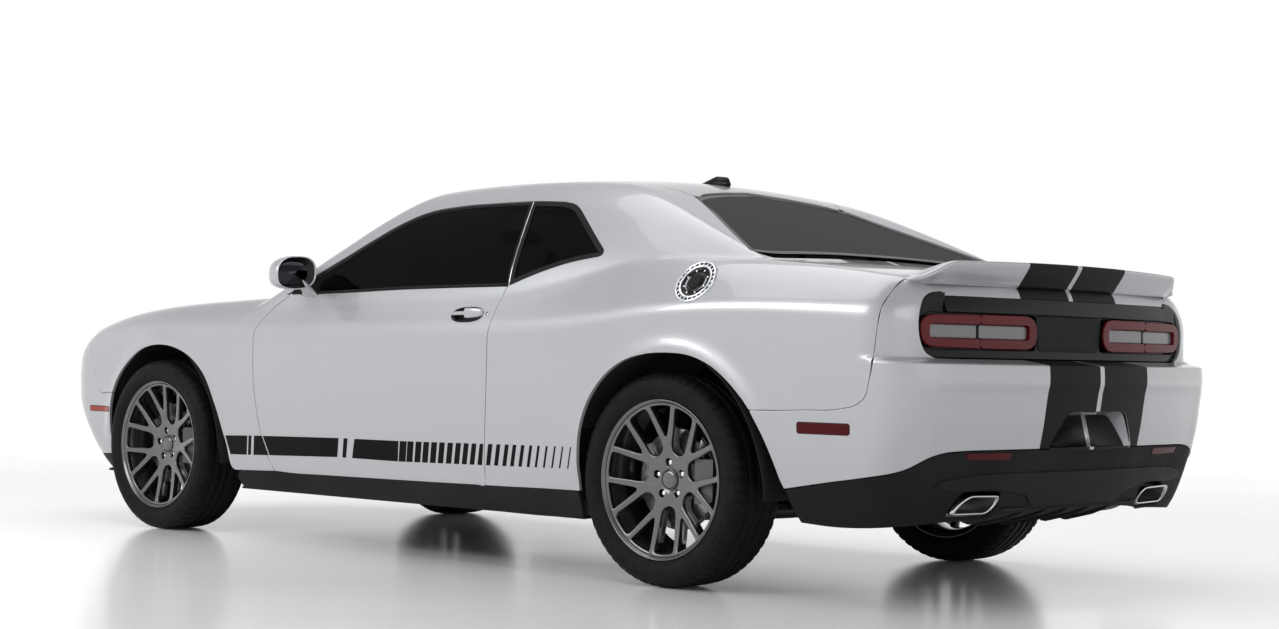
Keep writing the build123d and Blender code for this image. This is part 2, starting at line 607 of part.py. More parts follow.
with BuildPart() as front_subframe:
    add(slab(-420, 420, -1660, -1490, 210, 280))
    for side, s in SIDES:
        add(slab(*sorted((400 * s, (X_KINGPIN + 30) * s)), Y_FRONT - 38, Y_FRONT + 38, 188, 214))
        with BuildSketch(Plane.XY.offset(200)):
            with Locations((X_KINGPIN * s, Y_FRONT)):
                Circle(PIN_R)
        extrude(amount=130)
        with BuildSketch(Plane.XY.offset(200)):
            with Locations((600 * s, Y_FRONT)):
                Circle(24)
        extrude(amount=598)
save(front_subframe, "front_subframe")

with BuildPart() as rear_axle:
    add(slab(-130, 130, 1270, 1500, 260, 470))
    add(slab(-560, 560, 1330, 1410, 240, 262))
    for side, s in SIDES:
        add(upright(s, X_WHEEL_R, Y_REAR))
        with BuildSketch(Plane.YZ.offset(120 * s)):
            with Locations((Y_REAR, TYRE_R)):
                Circle(22)
        extrude(amount=570 * s)
        add(slab(*sorted((540 * s, 700 * s)), 1335, 1405, 240, 262))
        with BuildSketch(Plane.XY.offset(255)):
            with Locations((570 * s, Y_REAR)):
                Circle(40)
        extrude(amount=265)
save(rear_axle, "rear_axle")

with BuildPart() as exhaust:
    for side, s in SIDES:
        with BuildSketch(Plane.XZ.offset(1120)):
            with Locations((215 * s, 205)):
                Circle(26)
        extrude(amount=-3100)
        add(slab(*sorted((180 * s, 640 * s)), 1950, 2240, 195, 395))
        add(slab(*sorted((462 * s, 620 * s)), 2230, 2470, 292, 368))
        add(slab(*sorted((468 * s, 614 * s)), 2290, 2480, 298, 362), mode=Mode.SUBTRACT)
save(exhaust, "exhaust")

# ---------------------------------------------------------------- wheels
TYRE = [(-98, 254), (-103, 256), (-106, 263), (-106, 272), (-118, 296), (-122.5, 312), (-118, 340), (-104, 357), (-60, TYRE_R), (60, TYRE_R), (104, 357), (118, 340), (122.5, 312),
        (118, 296), (106, 272), (106, 263), (103, 256), (98, 254), (70, 254), (88, 270), (100, 300), (100, 330), (70, 344), (-70, 344), (-100, 330), (-100, 300), (-88, 270), (-70, 254)]
BARREL = [(-112, 262), (-112, 254), (-110, 246), (-60, 236), (60, 236), (100, 246), (112, 258), (112, 271), (107, 271), (107, 262), (104, 254), (-104, 254), (-107, 262), (-107, 271), (-112, 271)]
SPOKE = [(70, -30), (150, -17), (180, -34), (243, -62), (243, -36), (196, -14), (180, 0), (196, 14), (243, 36), (243, 62), (180, 34), (150, 17), (70, 30)]
for end, y_axle, centre in (("front", Y_FRONT, X_WHEEL_F), ("rear", Y_REAR, X_WHEEL_R)):
    for side, s in SIDES:
        c = centre * s
        axle = Axis((0, y_axle, TYRE_R), (1, 0, 0))
        with BuildPart() as tyre:
            with BuildSketch(Plane.XZ.offset(-y_axle)):
                with BuildLine():
                    Polyline(*[(c + x * s, TYRE_R + r) for x, r in TYRE], close=True)
                make_face()
            revolve(axis=axle)
        save(tyre, f"tyre_{end}_{side}")

        with BuildPart() as rim:
            with BuildSketch(Plane.XZ.offset(-y_axle)):
                with BuildLine():
                    Polyline(*[(c + x * s, TYRE_R + r) for x, r in BARREL], close=True)
                make_face()
            revolve(axis=axle)
            with BuildSketch(Plane.YZ.offset(c + 68 * s)):
                with Locations((y_axle, TYRE_R)):
                    with PolarLocations(0, 7):
                        Polygon(*SPOKE, align=None)
            extrude(amount=30 * s)
            with BuildSketch(Plane.YZ.offset(c + 25 * s)):
                with Locations((y_axle, TYRE_R)):
                    Circle(82)
            extrude(amount=62 * s)
            with BuildSketch(Plane.YZ.offset(c + 20 * s)):
                with Locations((y_axle, TYRE_R)):
                    Circle(STUB_R + STUB_PLAY)
            extrude(amount=18 * s, mode=Mode.SUBTRACT)
        save(rim, f"rim_{end}_{side}")

        with BuildPart() as brake_disc:
            with BuildSketch(Plane.YZ.offset(c - 5 * s)):
                with Locations((y_axle, TYRE_R)):
                    Circle(DISC_R)
                    Circle(STUB_R + STUB_PLAY, mode=Mode.SUBTRACT)
            extrude(amount=30 * s)
        save(brake_disc, f"brake_disc_{end}_{side}")
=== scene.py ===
import json
import math
import bpy
import bmesh
import numpy as np
from mathutils import Vector, Matrix
from mathutils.geometry import delaunay_2d_cdt


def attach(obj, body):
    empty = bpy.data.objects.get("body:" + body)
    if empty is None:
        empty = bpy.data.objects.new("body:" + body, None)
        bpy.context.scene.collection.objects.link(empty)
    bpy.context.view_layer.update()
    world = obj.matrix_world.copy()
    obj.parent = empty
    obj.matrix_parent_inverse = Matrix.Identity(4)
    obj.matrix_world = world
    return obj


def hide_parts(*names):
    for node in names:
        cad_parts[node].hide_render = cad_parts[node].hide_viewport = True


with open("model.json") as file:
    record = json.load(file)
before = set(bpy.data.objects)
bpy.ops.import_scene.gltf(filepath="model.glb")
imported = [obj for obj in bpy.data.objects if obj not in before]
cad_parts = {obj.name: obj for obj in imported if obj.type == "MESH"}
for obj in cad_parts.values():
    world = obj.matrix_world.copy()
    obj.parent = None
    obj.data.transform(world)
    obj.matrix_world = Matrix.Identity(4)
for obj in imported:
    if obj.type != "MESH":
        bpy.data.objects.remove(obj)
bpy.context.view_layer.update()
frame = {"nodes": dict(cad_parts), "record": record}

PI = math.pi

# ================================================================= the body as one smooth closed surface
# Metres, +Z up, nose to -Y, the car's left side is +X. Every panel is cut out of this surface.


def hermite(xs, ys):
    xs = np.asarray(xs, float); ys = np.asarray(ys, float)
    h = np.diff(xs); d = np.diff(ys) / h
    m = np.empty_like(xs)
    m[1:-1] = (d[:-1] * h[1:] + d[1:] * h[:-1]) / (h[1:] + h[:-1])
    m[0], m[-1] = d[0], d[-1]
    def f(x):
        x = np.asarray(x, float)
        i = np.clip(np.searchsorted(xs, x) - 1, 0, len(xs) - 2)
        t = (x - xs[i]) / h[i]
        c = np.clip(t, 0, 1)
        a, b = ys[i], ys[i + 1]; ma, mb = m[i] * h[i], m[i + 1] * h[i]
        y = (2 * c**3 - 3 * c**2 + 1) * a + (c**3 - 2 * c**2 + c) * ma + (-2 * c**3 + 3 * c**2) * b + (c**3 - c**2) * mb
        y = np.where(t < 0, a + t * ma, y)
        return np.where(t > 1, b + (t - 1) * mb, y)
    return f


def table(xs, ys, soft):
    f = hermite(xs, ys)
    step = soft / 24
    g = np.arange(xs[0] - 5 * soft, xs[-1] + 5 * soft, step)
    w = np.exp(-.5 * (np.arange(-72, 73) / 24.0) ** 2); w /= w.sum()
    v = np.convolve(f(g), w, "same")
    g, v = g[72:-72], v[72:-72]
    return lambda x: np.interp(x, g, v)


def smax(a, b, k):
    h = np.maximum(k - np.abs(a - b), 0) / k
    return np.maximum(a, b) + h * h * k * 0.25


def smin(a, b, k):
    return -smax(-a, -b, k)


def sstep(t):
    t = np.clip(t, 0, 1)
    return t * t * (3 - 2 * t)


# y, x at z .20, x at z .30, x at z .55, height of the crease, x at the crease, lean of the side above the crease
SIDE = np.array([
    (-2.55, .800, .820, .835, .690, .832, .30),
    (-2.35, .812, .834, .848, .735, .846, .32),
    (-2.20, .828, .848, .862, .775, .860, .34),
    (-1.90, .852, .874, .892, .828, .890, .36),
    (-1.50, .880, .905, .926, .848, .926, .38),
    (-1.00, .885, .914, .932, .851, .938, .38),
    (-0.50, .885, .915, .933, .852, .942, .37),
    ( 0.10, .885, .915, .934, .854, .944, .36),
    ( 0.55, .886, .916, .936, .860, .945, .36),
    ( 0.95, .888, .920, .944, .890, .951, .46),
    ( 1.35, .890, .925, .955, .935, .960, .56),
    ( 1.70, .890, .924, .954, .948, .957, .58),
    ( 2.05, .880, .914, .938, .942, .938, .56),
    ( 2.30, .866, .896, .914, .930, .908, .52),
    ( 2.55, .850, .876, .888, .915, .876, .50)])
_sx0, _sx1, _sx2, _szc, _sxc, _ssl = (table(SIDE[:, 0], SIDE[:, i], .07) for i in range(1, 7))
ARCH_MID = ((-1.560, .795), (1.440, .795))      # y of each arch's middle, height of its crown


def side_x(y, z):
    """Half width of the lower body."""
    x0, x1, x2, zc, xc, sl = _sx0(y), _sx1(y), _sx2(y), _szc(y), _sxc(y), _ssl(y)
    t1 = (z - .20) / .10; t2 = (z - .30) / .25; dz = np.maximum(zc - .55, .05); t3 = (z - .55) / dz
    s01 = (x1 - x0) / .10; s12 = (x2 - x1) / .25; s23 = (xc - x2) / dz
    m1 = .5 * (s01 + s12) * .6; m2 = .5 * (s12 + s23)
    def herm(t, a, b, ma, mb):
        return (2 * t**3 - 3 * t**2 + 1) * a + (t**3 - 2 * t**2 + t) * ma + (-2 * t**3 + 3 * t**2) * b + (t**3 - t**2) * mb
    lo = np.where(t1 < 1, herm(np.clip(t1, 0, 1), x0, x1, s01 * .10, m1 * .10), herm(np.clip(t2, 0, 1), x1, x2, m1 * .25, m2 * .25))
    lo = np.where(t1 < 0, x0 + (z - .20) * s01, lo)
    low = np.where(z < .55, lo, herm(np.clip(t3, 0, 1), x2, xc, m2 * dz, s23 * dz))
    low = np.where(z > zc, xc + (z - zc) * s23, low)
    up = xc - sl * (z - zc) - .55 * np.maximum(z - zc, 0) ** 2
    x = -smax(-low, -up, .016)
    for ya, zt in ARCH_MID:
        r = np.sqrt((y - ya) ** 2 + ((z - .36) * .98) ** 2)
        x = x + .010 * np.exp(-((r - .432) / .036) ** 2) * sstep((z - .30) / .12)
    return x


# y, height of the top at the centre line, height of the top over x = .80
TOP = np.array([
    (-2.60, .765, .700), (-2.45, .812, .765), (-2.35, .845, .812), (-2.20, .882, .858), (-2.00, .916, .905), (-1.70, .952, .944),
    (-1.40, .982, .966), (-1.10, 1.004, .980), (-0.80, 1.016, .992), (-0.30, 1.020, 1.006), (0.20, 1.024, 1.018), (0.55, 1.030, 1.028),
    (0.75, 1.050, 1.056), (0.95, 1.088, 1.098), (1.15, 1.112, 1.118), (1.50, 1.120, 1.114), (1.75, 1.110, 1.098), (2.10, 1.082, 1.066),
    (2.26, 1.066, 1.042), (2.60, 1.030, .990)])
_tc, _te = table(TOP[:, 0], TOP[:, 1], .05), table(TOP[:, 0], TOP[:, 2], .05)


def hood_rise(ax, y):
    """Raised middle of the hood between two long flanks."""
    w = .295 + .075 * (y + 1.0) / -1.35
    along = sstep((y + 2.36) / .35) * sstep((-.90 - y) / .20)
    return .017 * along * (1 - sstep((ax - w) / .055))


def top_z(ax, y):
    w = (ax / .80) ** 2
    return _tc(y) * (1 - w) + _te(y) * w + hood_rise(ax, y)


# height, y of the nose at the centre line
NOSE = np.array([(.10, -2.36), (.20, -2.420), (.26, -2.455), (.33, -2.478), (.45, -2.500), (.60, -2.511), (.68, -2.509), (.76, -2.492), (.82, -2.455), (.90, -2.40), (1.1, -2.25)])
_ny = table(NOSE[:, 0], NOSE[:, 1], .012)
TAIL = np.array([(.10, 2.30), (.20, 2.345), (.30, 2.405), (.40, 2.445), (.49, 2.472), (.56, 2.488), (.64, 2.500), (.72, 2.510), (.78, 2.506), (.90, 2.49), (1.2, 2.45)])
_ty = table(TAIL[:, 0], TAIL[:, 1], .012)


def nose_y(ax, z):
    return _ny(z) + .105 * (ax / .70) ** 2.4 + 1.15 * np.maximum(.56 - z, 0) ** 1.5 * sstep((ax - .25) / .6)


def face_y(ax, z):
    """Upright face behind the lamps, the tail panel and the end of the boot lid."""
    return 2.392 - .045 * (ax / .76) ** 2.2 + .12 * np.maximum(z - .97, 0)


def tail_y(ax, z):
    low = _ty(z) - .062 * (ax / .70) ** 2.2
    low = low - .004 * sstep((.712 - z) / .036) * sstep((z - .44) / .10) * (1 - sstep((ax - .72) / .10))
    t = sstep((z - .767) / .022)
    return low * (1 - t) + face_y(ax, z) * t


def f_lower(x, y, z):
    ax = np.abs(x)
    fs = ax - side_x(y, z)
    ft = (z - top_z(ax, y)) * .97
    ff = nose_y(ax, z) - y
    fr = y - tail_y(ax, z)
    f = smax(fs, ft, .075)
    f = smax(f, ff, .14)
    f = smax(f, fr, .13)
    return smax(f, .197 - z, .02)


# y, half width of the cabin at z 1.00 and at z 1.34
CABIN = np.array([(-1.20, .880, .66), (-.80, .890, .712), (-.40, .892, .724), (.00, .892, .728), (.45, .890, .724), (.80, .886, .716),
                  (1.05, .878, .700), (1.30, .862, .668), (1.60, .832, .616), (1.95, .79, .55)])
_g0, _g1 = table(CABIN[:, 0], CABIN[:, 1], .07), table(CABIN[:, 0], CABIN[:, 2], .07)
ROOF = np.array([(-.60, 1.338), (-.30, 1.403), (-.10, 1.431), (.10, 1.445), (.30, 1.450), (.50, 1.450), (.70, 1.444), (.90, 1.428), (1.05, 1.406), (1.25, 1.364), (1.5, 1.30)])
_rz = table(ROOF[:, 0], ROOF[:, 1], .06)


def cabin_x(y, z):
    t = (z - 1.0) / .34
    return _g0(y) * (1 - t) + _g1(y) * t + .080 * t * (1 - t)


def roof_z(ax, y):
    return _rz(y) - .032 * (ax / .60) ** 2.2


def screen_y(ax, z):
    t = (z - 1.03) / .365
    return -.925 + .700 * t + .080 * t * (1 - t) + .108 * (ax / .70) ** 2.2


def back_y(ax, z):
    return 1.112 + 2.43 * (1.337 - z) + .008 * (ax / .57) ** 2


def f_cabin(x, y, z):
    ax = np.abs(x)
    fs = (ax - cabin_x(y, z)) * .88
    ft = (z - roof_z(ax, y)) * .98
    ff = (screen_y(ax, z) - y) * .46
    fr = (y - back_y(ax, z)) * .39
    f = smax(fs, ft, .085)
    f = smax(f, ff, .035)
    f = smax(f, fr, .03)
    return np.maximum(f, .90 - z)


def f_body(x, y, z):
    return smin(f_lower(x, y, z), f_cabin(x, y, z), .012)


def f_face(x, y, z):
    return y - face_y(np.abs(x), z)


# ================================================================= patches cut out of a surface
def gradient(f, P, e=7e-4):
    g = np.empty_like(P)
    for i in range(3):
        a = P.copy(); a[:, i] += e
        b = P.copy(); b[:, i] -= e
        g[:, i] = f(*a.T) - f(*b.T)
    return g / np.maximum(np.linalg.norm(g, axis=1, keepdims=True), 1e-12)


def cast(f, O, D, reach, off=0.0, n=40):
    """Where each ray first meets the level set f = off, found from outside."""
    ts = np.linspace(0, reach, n)
    lo = np.full(len(O), np.nan); hi = np.full(len(O), np.nan); vl = np.zeros(len(O)); vh = np.zeros(len(O))
    live = np.arange(len(O))
    prev = f(*(O[live] + D[live] * ts[0]).T) - off
    for k in range(1, n):
        now = f(*(O[live] + D[live] * ts[k]).T) - off
        hit = (now <= 0) & (prev > 0)
        lo[live[hit]] = ts[k - 1]; hi[live[hit]] = ts[k]; vl[live[hit]] = prev[hit]; vh[live[hit]] = now[hit]
        live, prev = live[~hit], now[~hit]
        if not len(live):
            break
    ok = np.where(~np.isnan(lo))[0]
    a, b, fa, fb = lo[ok], hi[ok], vl[ok], vh[ok]
    for k in range(9):
        m = (a * fb - b * fa) / (fb - fa)
        if k % 3 == 2:
            m = .5 * (a + b)
        v = f(*(O[ok] + D[ok] * m[:, None]).T) - off
        inside = v <= 0
        b = np.where(inside, m, b); fb = np.where(inside, v, fb)
        a = np.where(inside, a, m); fa = np.where(inside, fa, v)
        fb = np.where(fb == 0, -1e-12, fb)
    out = np.full((len(O), 3), np.nan)
    m = (a * fb - b * fa) / (fb - fa)
    out[ok] = O[ok] + D[ok] * m[:, None]
    return out


class Roll:
    """Looks from all round a line along the car: u = y, v = angle about it."""
    def __init__(self, x=.30, z=.75, r=.55, reach=1.25):
        self.x, self.z, self.r, self.reach = x, z, r, reach
    def flat(self, P):
        return np.c_[P[:, 1], self.r * np.arctan2(P[:, 2] - self.z, P[:, 0] - self.x)]
    def rays(self, Q):
        a = Q[:, 1] / self.r
        d = np.c_[np.cos(a), 0 * a, np.sin(a)]
        return np.c_[np.full(len(Q), self.x), Q[:, 0], np.full(len(Q), self.z)] + d * self.reach, -d, self.reach


class Down:
    """Looks straight down: u = x, v = y."""
    def __init__(self, z=1.6, reach=1.0):
        self.z, self.reach = z, reach
    def flat(self, P):
        return P[:, :2].copy()
    def rays(self, Q):
        return np.c_[Q, np.full(len(Q), self.z)], np.tile((0, 0, -1.), (len(Q), 1)), self.reach


class Round:
    """Looks at one end of the car from round a post on its centre line: u = angle, v = height."""
    def __init__(self, y, s, r=.9, reach=1.6):
        self.y, self.s, self.r, self.reach = y, s, r, reach
    def flat(self, P):
        return np.c_[self.r * np.arctan2(P[:, 0], self.s * (P[:, 1] - self.y)), P[:, 2]]
    def rays(self, Q):
        a = Q[:, 0] / self.r
        d = np.c_[np.sin(a), self.s * np.cos(a), 0 * a]
        return np.c_[0 * a, np.full(len(Q), self.y), Q[:, 1]] + d * self.reach, -d, self.reach


class Along:
    """Looks along the car at one end: u = x, v = z."""
    def __init__(self, s, start=2.8, reach=1.2):
        self.s, self.start, self.reach = s, start, reach
    def flat(self, P):
        return np.c_[P[:, 0], P[:, 2]]
    def rays(self, Q):
        return np.c_[Q[:, 0], np.full(len(Q), self.s * self.start), Q[:, 1]], np.tile((0, -self.s, 0.), (len(Q), 1)), self.reach


class Side:
    """Looks square at the left side: u = y, v = z."""
    reach = .9
    def flat(self, P):
        return P[:, 1:].copy()
    def rays(self, Q):
        return np.c_[np.full(len(Q), 1.2), Q], np.tile((-1., 0, 0), (len(Q), 1)), self.reach


def line(points, ds=.012):
    """Smooth open line through points, evenly divided."""
    P = np.asarray(points, float)
    P = P[np.r_[True, np.linalg.norm(np.diff(P, axis=0), axis=1) > 1e-5]]
    t = np.r_[0, np.cumsum(np.linalg.norm(np.diff(P, axis=0), axis=1))]
    if len(P) > 2:
        fine = np.linspace(0, t[-1], max(4, int(t[-1] / ds * 4)))
        P = np.column_stack([hermite(t, P[:, i])(fine) for i in range(P.shape[1])])
        t = np.r_[0, np.cumsum(np.linalg.norm(np.diff(P, axis=0), axis=1))]
    n = max(1, int(round(t[-1] / ds)))
    s = np.linspace(0, t[-1], n + 1)
    return np.column_stack([np.interp(s, t, P[:, i]) for i in range(P.shape[1])])


def outline(*runs, ds=.012, soft=0.0):
    """Closed loop. Each run goes on from the end of the one before it, and the loop has corners where runs meet."""
    out = []
    last = runs[-1][-1]
    for run in runs:
        out.append(line([last] + list(run), ds)[:-1])
        last = run[-1]
    P = np.concatenate(out)
    if soft:
        P = rounded(P, soft, ds)
    return P


def rounded(P, r, ds):
    """Takes the corners off a closed loop."""
    n = max(1, int(round(r / ds)))
    for _ in range(3):
        Q = np.concatenate([P[-n:], P, P[:n]])
        P = np.stack([np.convolve(Q[:, i], np.ones(2 * n + 1) / (2 * n + 1), "valid") for i in range(P.shape[1])], 1)
    return P


def inside(Q, loops):
    """Even-odd test of points against closed loops."""
    c = np.zeros(len(Q), bool)
    for L in loops:
        a, b = L, np.roll(L, -1, 0)
        for (x0, y0), (x1, y1) in zip(a, b):
            if y0 == y1:
                continue
            k = (Q[:, 1] > min(y0, y1)) & (Q[:, 1] <= max(y0, y1))
            if k.any():
                c[k] ^= Q[k, 0] < x0 + (Q[k, 1] - y0) * (x1 - x0) / (y1 - y0)
    return c


def far_from(Q, B, d):
    keep = np.ones(len(Q), bool)
    for i in range(0, len(B), 64):
        b = B[i:i + 64]
        keep &= (((Q[:, None, :] - b[None]) ** 2).sum(-1) > d * d).all(1)
    return keep


class Cut:
    """A patch of a surface inside a closed loop, less its holes."""
    def __init__(self, way, loops, f=f_body, off=0.0, gap=.0025, du=.018, dv=.010, rows=(), place=None):
        self.way, self.f, self.off = way, f, off
        self.place = place or self._cast
        flat = []
        gaps = gap if isinstance(gap, (tuple, list)) else [gap] * len(loops)
        for L, g in zip(loops, gaps):
            q = way.flat(np.asarray(L, float)) if L.shape[1] == 3 else np.asarray(L, float)
            flat.append(self._move(q, g) if g else q)
        # neighbouring points that ended up on top of each other go
        for i, q in enumerate(flat):
            d = np.linalg.norm(q - np.roll(q, 1, 0), axis=1)
            flat[i] = q[d > 4e-4]
        self.loops = flat
        B = np.concatenate(flat)
        lo, hi = B.min(0), B.max(0)
        us = np.arange(lo[0] + du / 2, hi[0], du)
        vs = list(np.arange(lo[1] + dv / 2, hi[1], dv))
        if len(rows):
            vs = [v for v in vs if min(abs(v - r) for r in rows) > dv * .55] + list(rows)
        vs = np.array(sorted(vs))
        g = np.stack(np.meshgrid(us, vs), -1)
        g[1::2, :, 0] += du / 2
        G = g.reshape(-1, 2)
        G = G[inside(G, flat)]
        G = G[far_from(G, B, min(du, dv) * .55)]
        pts = np.concatenate([B, G])
        edges = []; at = 0
        for q in flat:
            n = len(q)
            edges += [(at + i, at + (i + 1) % n) for i in range(n)]
            at += n
        vo, _, fo, ids, _, _ = delaunay_2d_cdt([Vector(p) for p in pts], edges, [], 0, 1e-7)
        vo = np.array([tuple(v) for v in vo]); T = np.array(fo)
        c = vo[T].mean(1)
        T = T[inside(c, flat)]
        # a sliver with no area goes
        a, b, d = vo[T[:, 0]], vo[T[:, 1]], vo[T[:, 2]]
        area = np.abs((b - a)[:, 0] * (d - a)[:, 1] - (b - a)[:, 1] * (d - a)[:, 0])
        T = T[area > 1e-9]
        where = {}
        for new, old in enumerate(ids):
            for o in old:
                where[o] = new
        self.rings = []; at = 0
        for q in flat:
            ring = [where[at + i] for i in range(len(q))]
            self.rings.append([r for i, r in enumerate(ring) if r != ring[i - 1]])
            at += len(q)
        P, N = self.place(vo)
        bad = np.isnan(P).any(1)
        if bad.any():
            T = T[~bad[T].any(1)]
            P[bad] = 0; N[bad] = (0, 0, 1)
        a, b, d = P[T[:, 0]], P[T[:, 1]], P[T[:, 2]]
        w = (np.cross(b - a, d - a) * N[T].mean(1)).sum(1)
        if np.median(w) < 0:
            T = T[:, ::-1]
        self.P, self.N, self.T, self.missed = P, N, T, int(bad.sum())

    def _cast(self, Q):
        O, D, reach = self.way.rays(Q)
        P = cast(self.f, O, D, reach, self.off)
        ok = ~np.isnan(P).any(1)
        N = np.zeros_like(P); N[:, 2] = 1
        N[ok] = gradient(self.f, P[ok])
        return P, N

    def _frame(self, q):
        """Points, normals and the sideways direction into the patch, for a loop in the flat."""
        P, N = self.place(q)
        e = np.roll(P, -1, 0) - P
        e /= np.maximum(np.linalg.norm(e, axis=1, keepdims=True), 1e-9)
        s1 = np.cross(N, e)
        s0 = np.cross(N, np.roll(e, 1, 0))
        s = s1 + s0
        s /= np.maximum((np.linalg.norm(s, axis=1, keepdims=True) ** 2) / 2, .35)
        return P, N, s

    def _move(self, q, g):
        P, N, s = self._frame(q)
        bad = np.isnan(P).any(1)
        test = self.way.flat(P + s * 1e-3)
        n = inside(test[~bad], [q]).mean()
        side = 1 if n > .5 else -1
        # a hole's loop moves the other way: the caller gives a negative gap for it
        new = self.way.flat(P + s * side * g)
        new[bad] = q[bad]
        return new

    def solid(self, depth=.012, edge=.0015, steps=2, hollow=False):
        """Closed shell: skin, rounded edge, walls and back."""
        V = [self.P]; N = [self.N]; F = [tuple(t) for t in self.T]
        n0 = len(self.P); total = n0
        if not hollow:
            V.append(self.P - self.N * depth); N.append(-self.N)
            F += [tuple(n0 + i for i in t[::-1]) for t in self.T]
            total += n0
        tri = {}
        for t in self.T:
            for i in range(3):
                tri[(t[i], t[(i + 1) % 3])] = 1
        edges = edge if isinstance(edge, (tuple, list)) else [edge] * len(self.rings)
        for ring, r in zip(self.rings, edges):
            ring = np.array(ring)
            P, Nn = self.P[ring], self.N[ring]
            nxt = np.roll(ring, -1)
            fwd = np.mean([(a, b) in tri for a, b in zip(ring, nxt)]) > .5
            e = np.roll(P, -1, 0) - P
            e /= np.maximum(np.linalg.norm(e, axis=1, keepdims=True), 1e-9)
            s = np.cross(Nn, e) + np.cross(Nn, np.roll(e, 1, 0))
            s /= np.maximum(np.linalg.norm(s, axis=1, keepdims=True), 1e-9)
            out = -s if fwd else s
            prev = ring
            for k in range(1, steps + 1):
                a = PI / 2 * k / steps
                V.append(P + out * r * math.sin(a) - Nn * r * (1 - math.cos(a)))
                N.append(Nn * math.cos(a) + out * math.sin(a))
                cur = np.arange(total, total + len(ring)); total += len(ring)
                self._band(F, prev, cur, fwd)
                prev = cur
            V.append(P + out * r - Nn * depth); N.append(out)
            cur = np.arange(total, total + len(ring)); total += len(ring)
            self._band(F, prev, cur, fwd)
            if not hollow:
                self._band(F, cur, ring + n0, fwd)
        return np.concatenate(V), F, np.concatenate(N)

    @staticmethod
    def _band(F, a, b, fwd):
        n = len(a)
        for i in range(n):
            j = (i + 1) % n
            F.append((a[j], a[i], b[i], b[j]) if fwd else (a[i], a[j], b[j], b[i]))

    def skin(self):
        return self.P, [tuple(t) for t in self.T], self.N


def flipped(data):
    V, F, N = data
    V = V * (-1, 1, 1)
    N = None if N is None else N * (-1, 1, 1)
    return V, [f[::-1] for f in F], N


def joined(*parts):
    V, F, N = [], [], []; at = 0
    any_n = all(p[2] is not None for p in parts)
    for v, f, n in parts:
        V.append(np.asarray(v, float)); F += [tuple(int(i) + at for i in q) for q in f]
        if any_n:
            N.append(n)
        at += len(v)
    return np.concatenate(V), F, (np.concatenate(N) if any_n else None)


def piece(name, data, mat, body, stands_for=(), slot=None, bevel=None, sub=0, flat=False):
    V, F, N = data
    me = bpy.data.meshes.new(name)
    me.from_pydata([tuple(map(float, v)) for v in V], [], [tuple(map(int, f)) for f in F])
    me.validate()
    mats = mat if isinstance(mat, (list, tuple)) else [mat]
    for m in mats:
        me.materials.append(m)
    me.polygons.foreach_set("use_smooth", [not flat] * len(me.polygons))
    if N is not None and len(me.vertices) == len(N):
        n = np.asarray(N, float)
        n = n / np.maximum(np.linalg.norm(n, axis=1, keepdims=True), 1e-9)
        me.normals_split_custom_set_from_vertices([tuple(v) for v in n])
    me.update()
    o = bpy.data.objects.new(name, me)
    bpy.context.scene.collection.objects.link(o)
    if bevel:
        m = o.modifiers.new("edge", "BEVEL"); m.width = bevel; m.segments = 2; m.limit_method = "ANGLE"; m.angle_limit = math.radians(32); m.harden_normals = True
    if sub:
        m = o.modifiers.new("round", "SUBSURF"); m.levels = sub; m.render_levels = sub
    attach(o, body)
    if stands_for:
        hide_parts(*([stands_for] if isinstance(stands_for, str) else stands_for))
    return o


def pair(name, data, mat, body, stands_for=None, slot=None, **kw):
    """The same piece on the left and, mirrored, on the right. {s} in a name is the side."""
    for side, d in (("left", data), ("right", flipped(data))):
        b = body.format(s=side)
        r = [n.format(s=side) for n in ([stands_for] if isinstance(stands_for, str) else (stands_for or []))]
        piece(f"{name}_{side}", d, mat, b, r, slot, **kw)

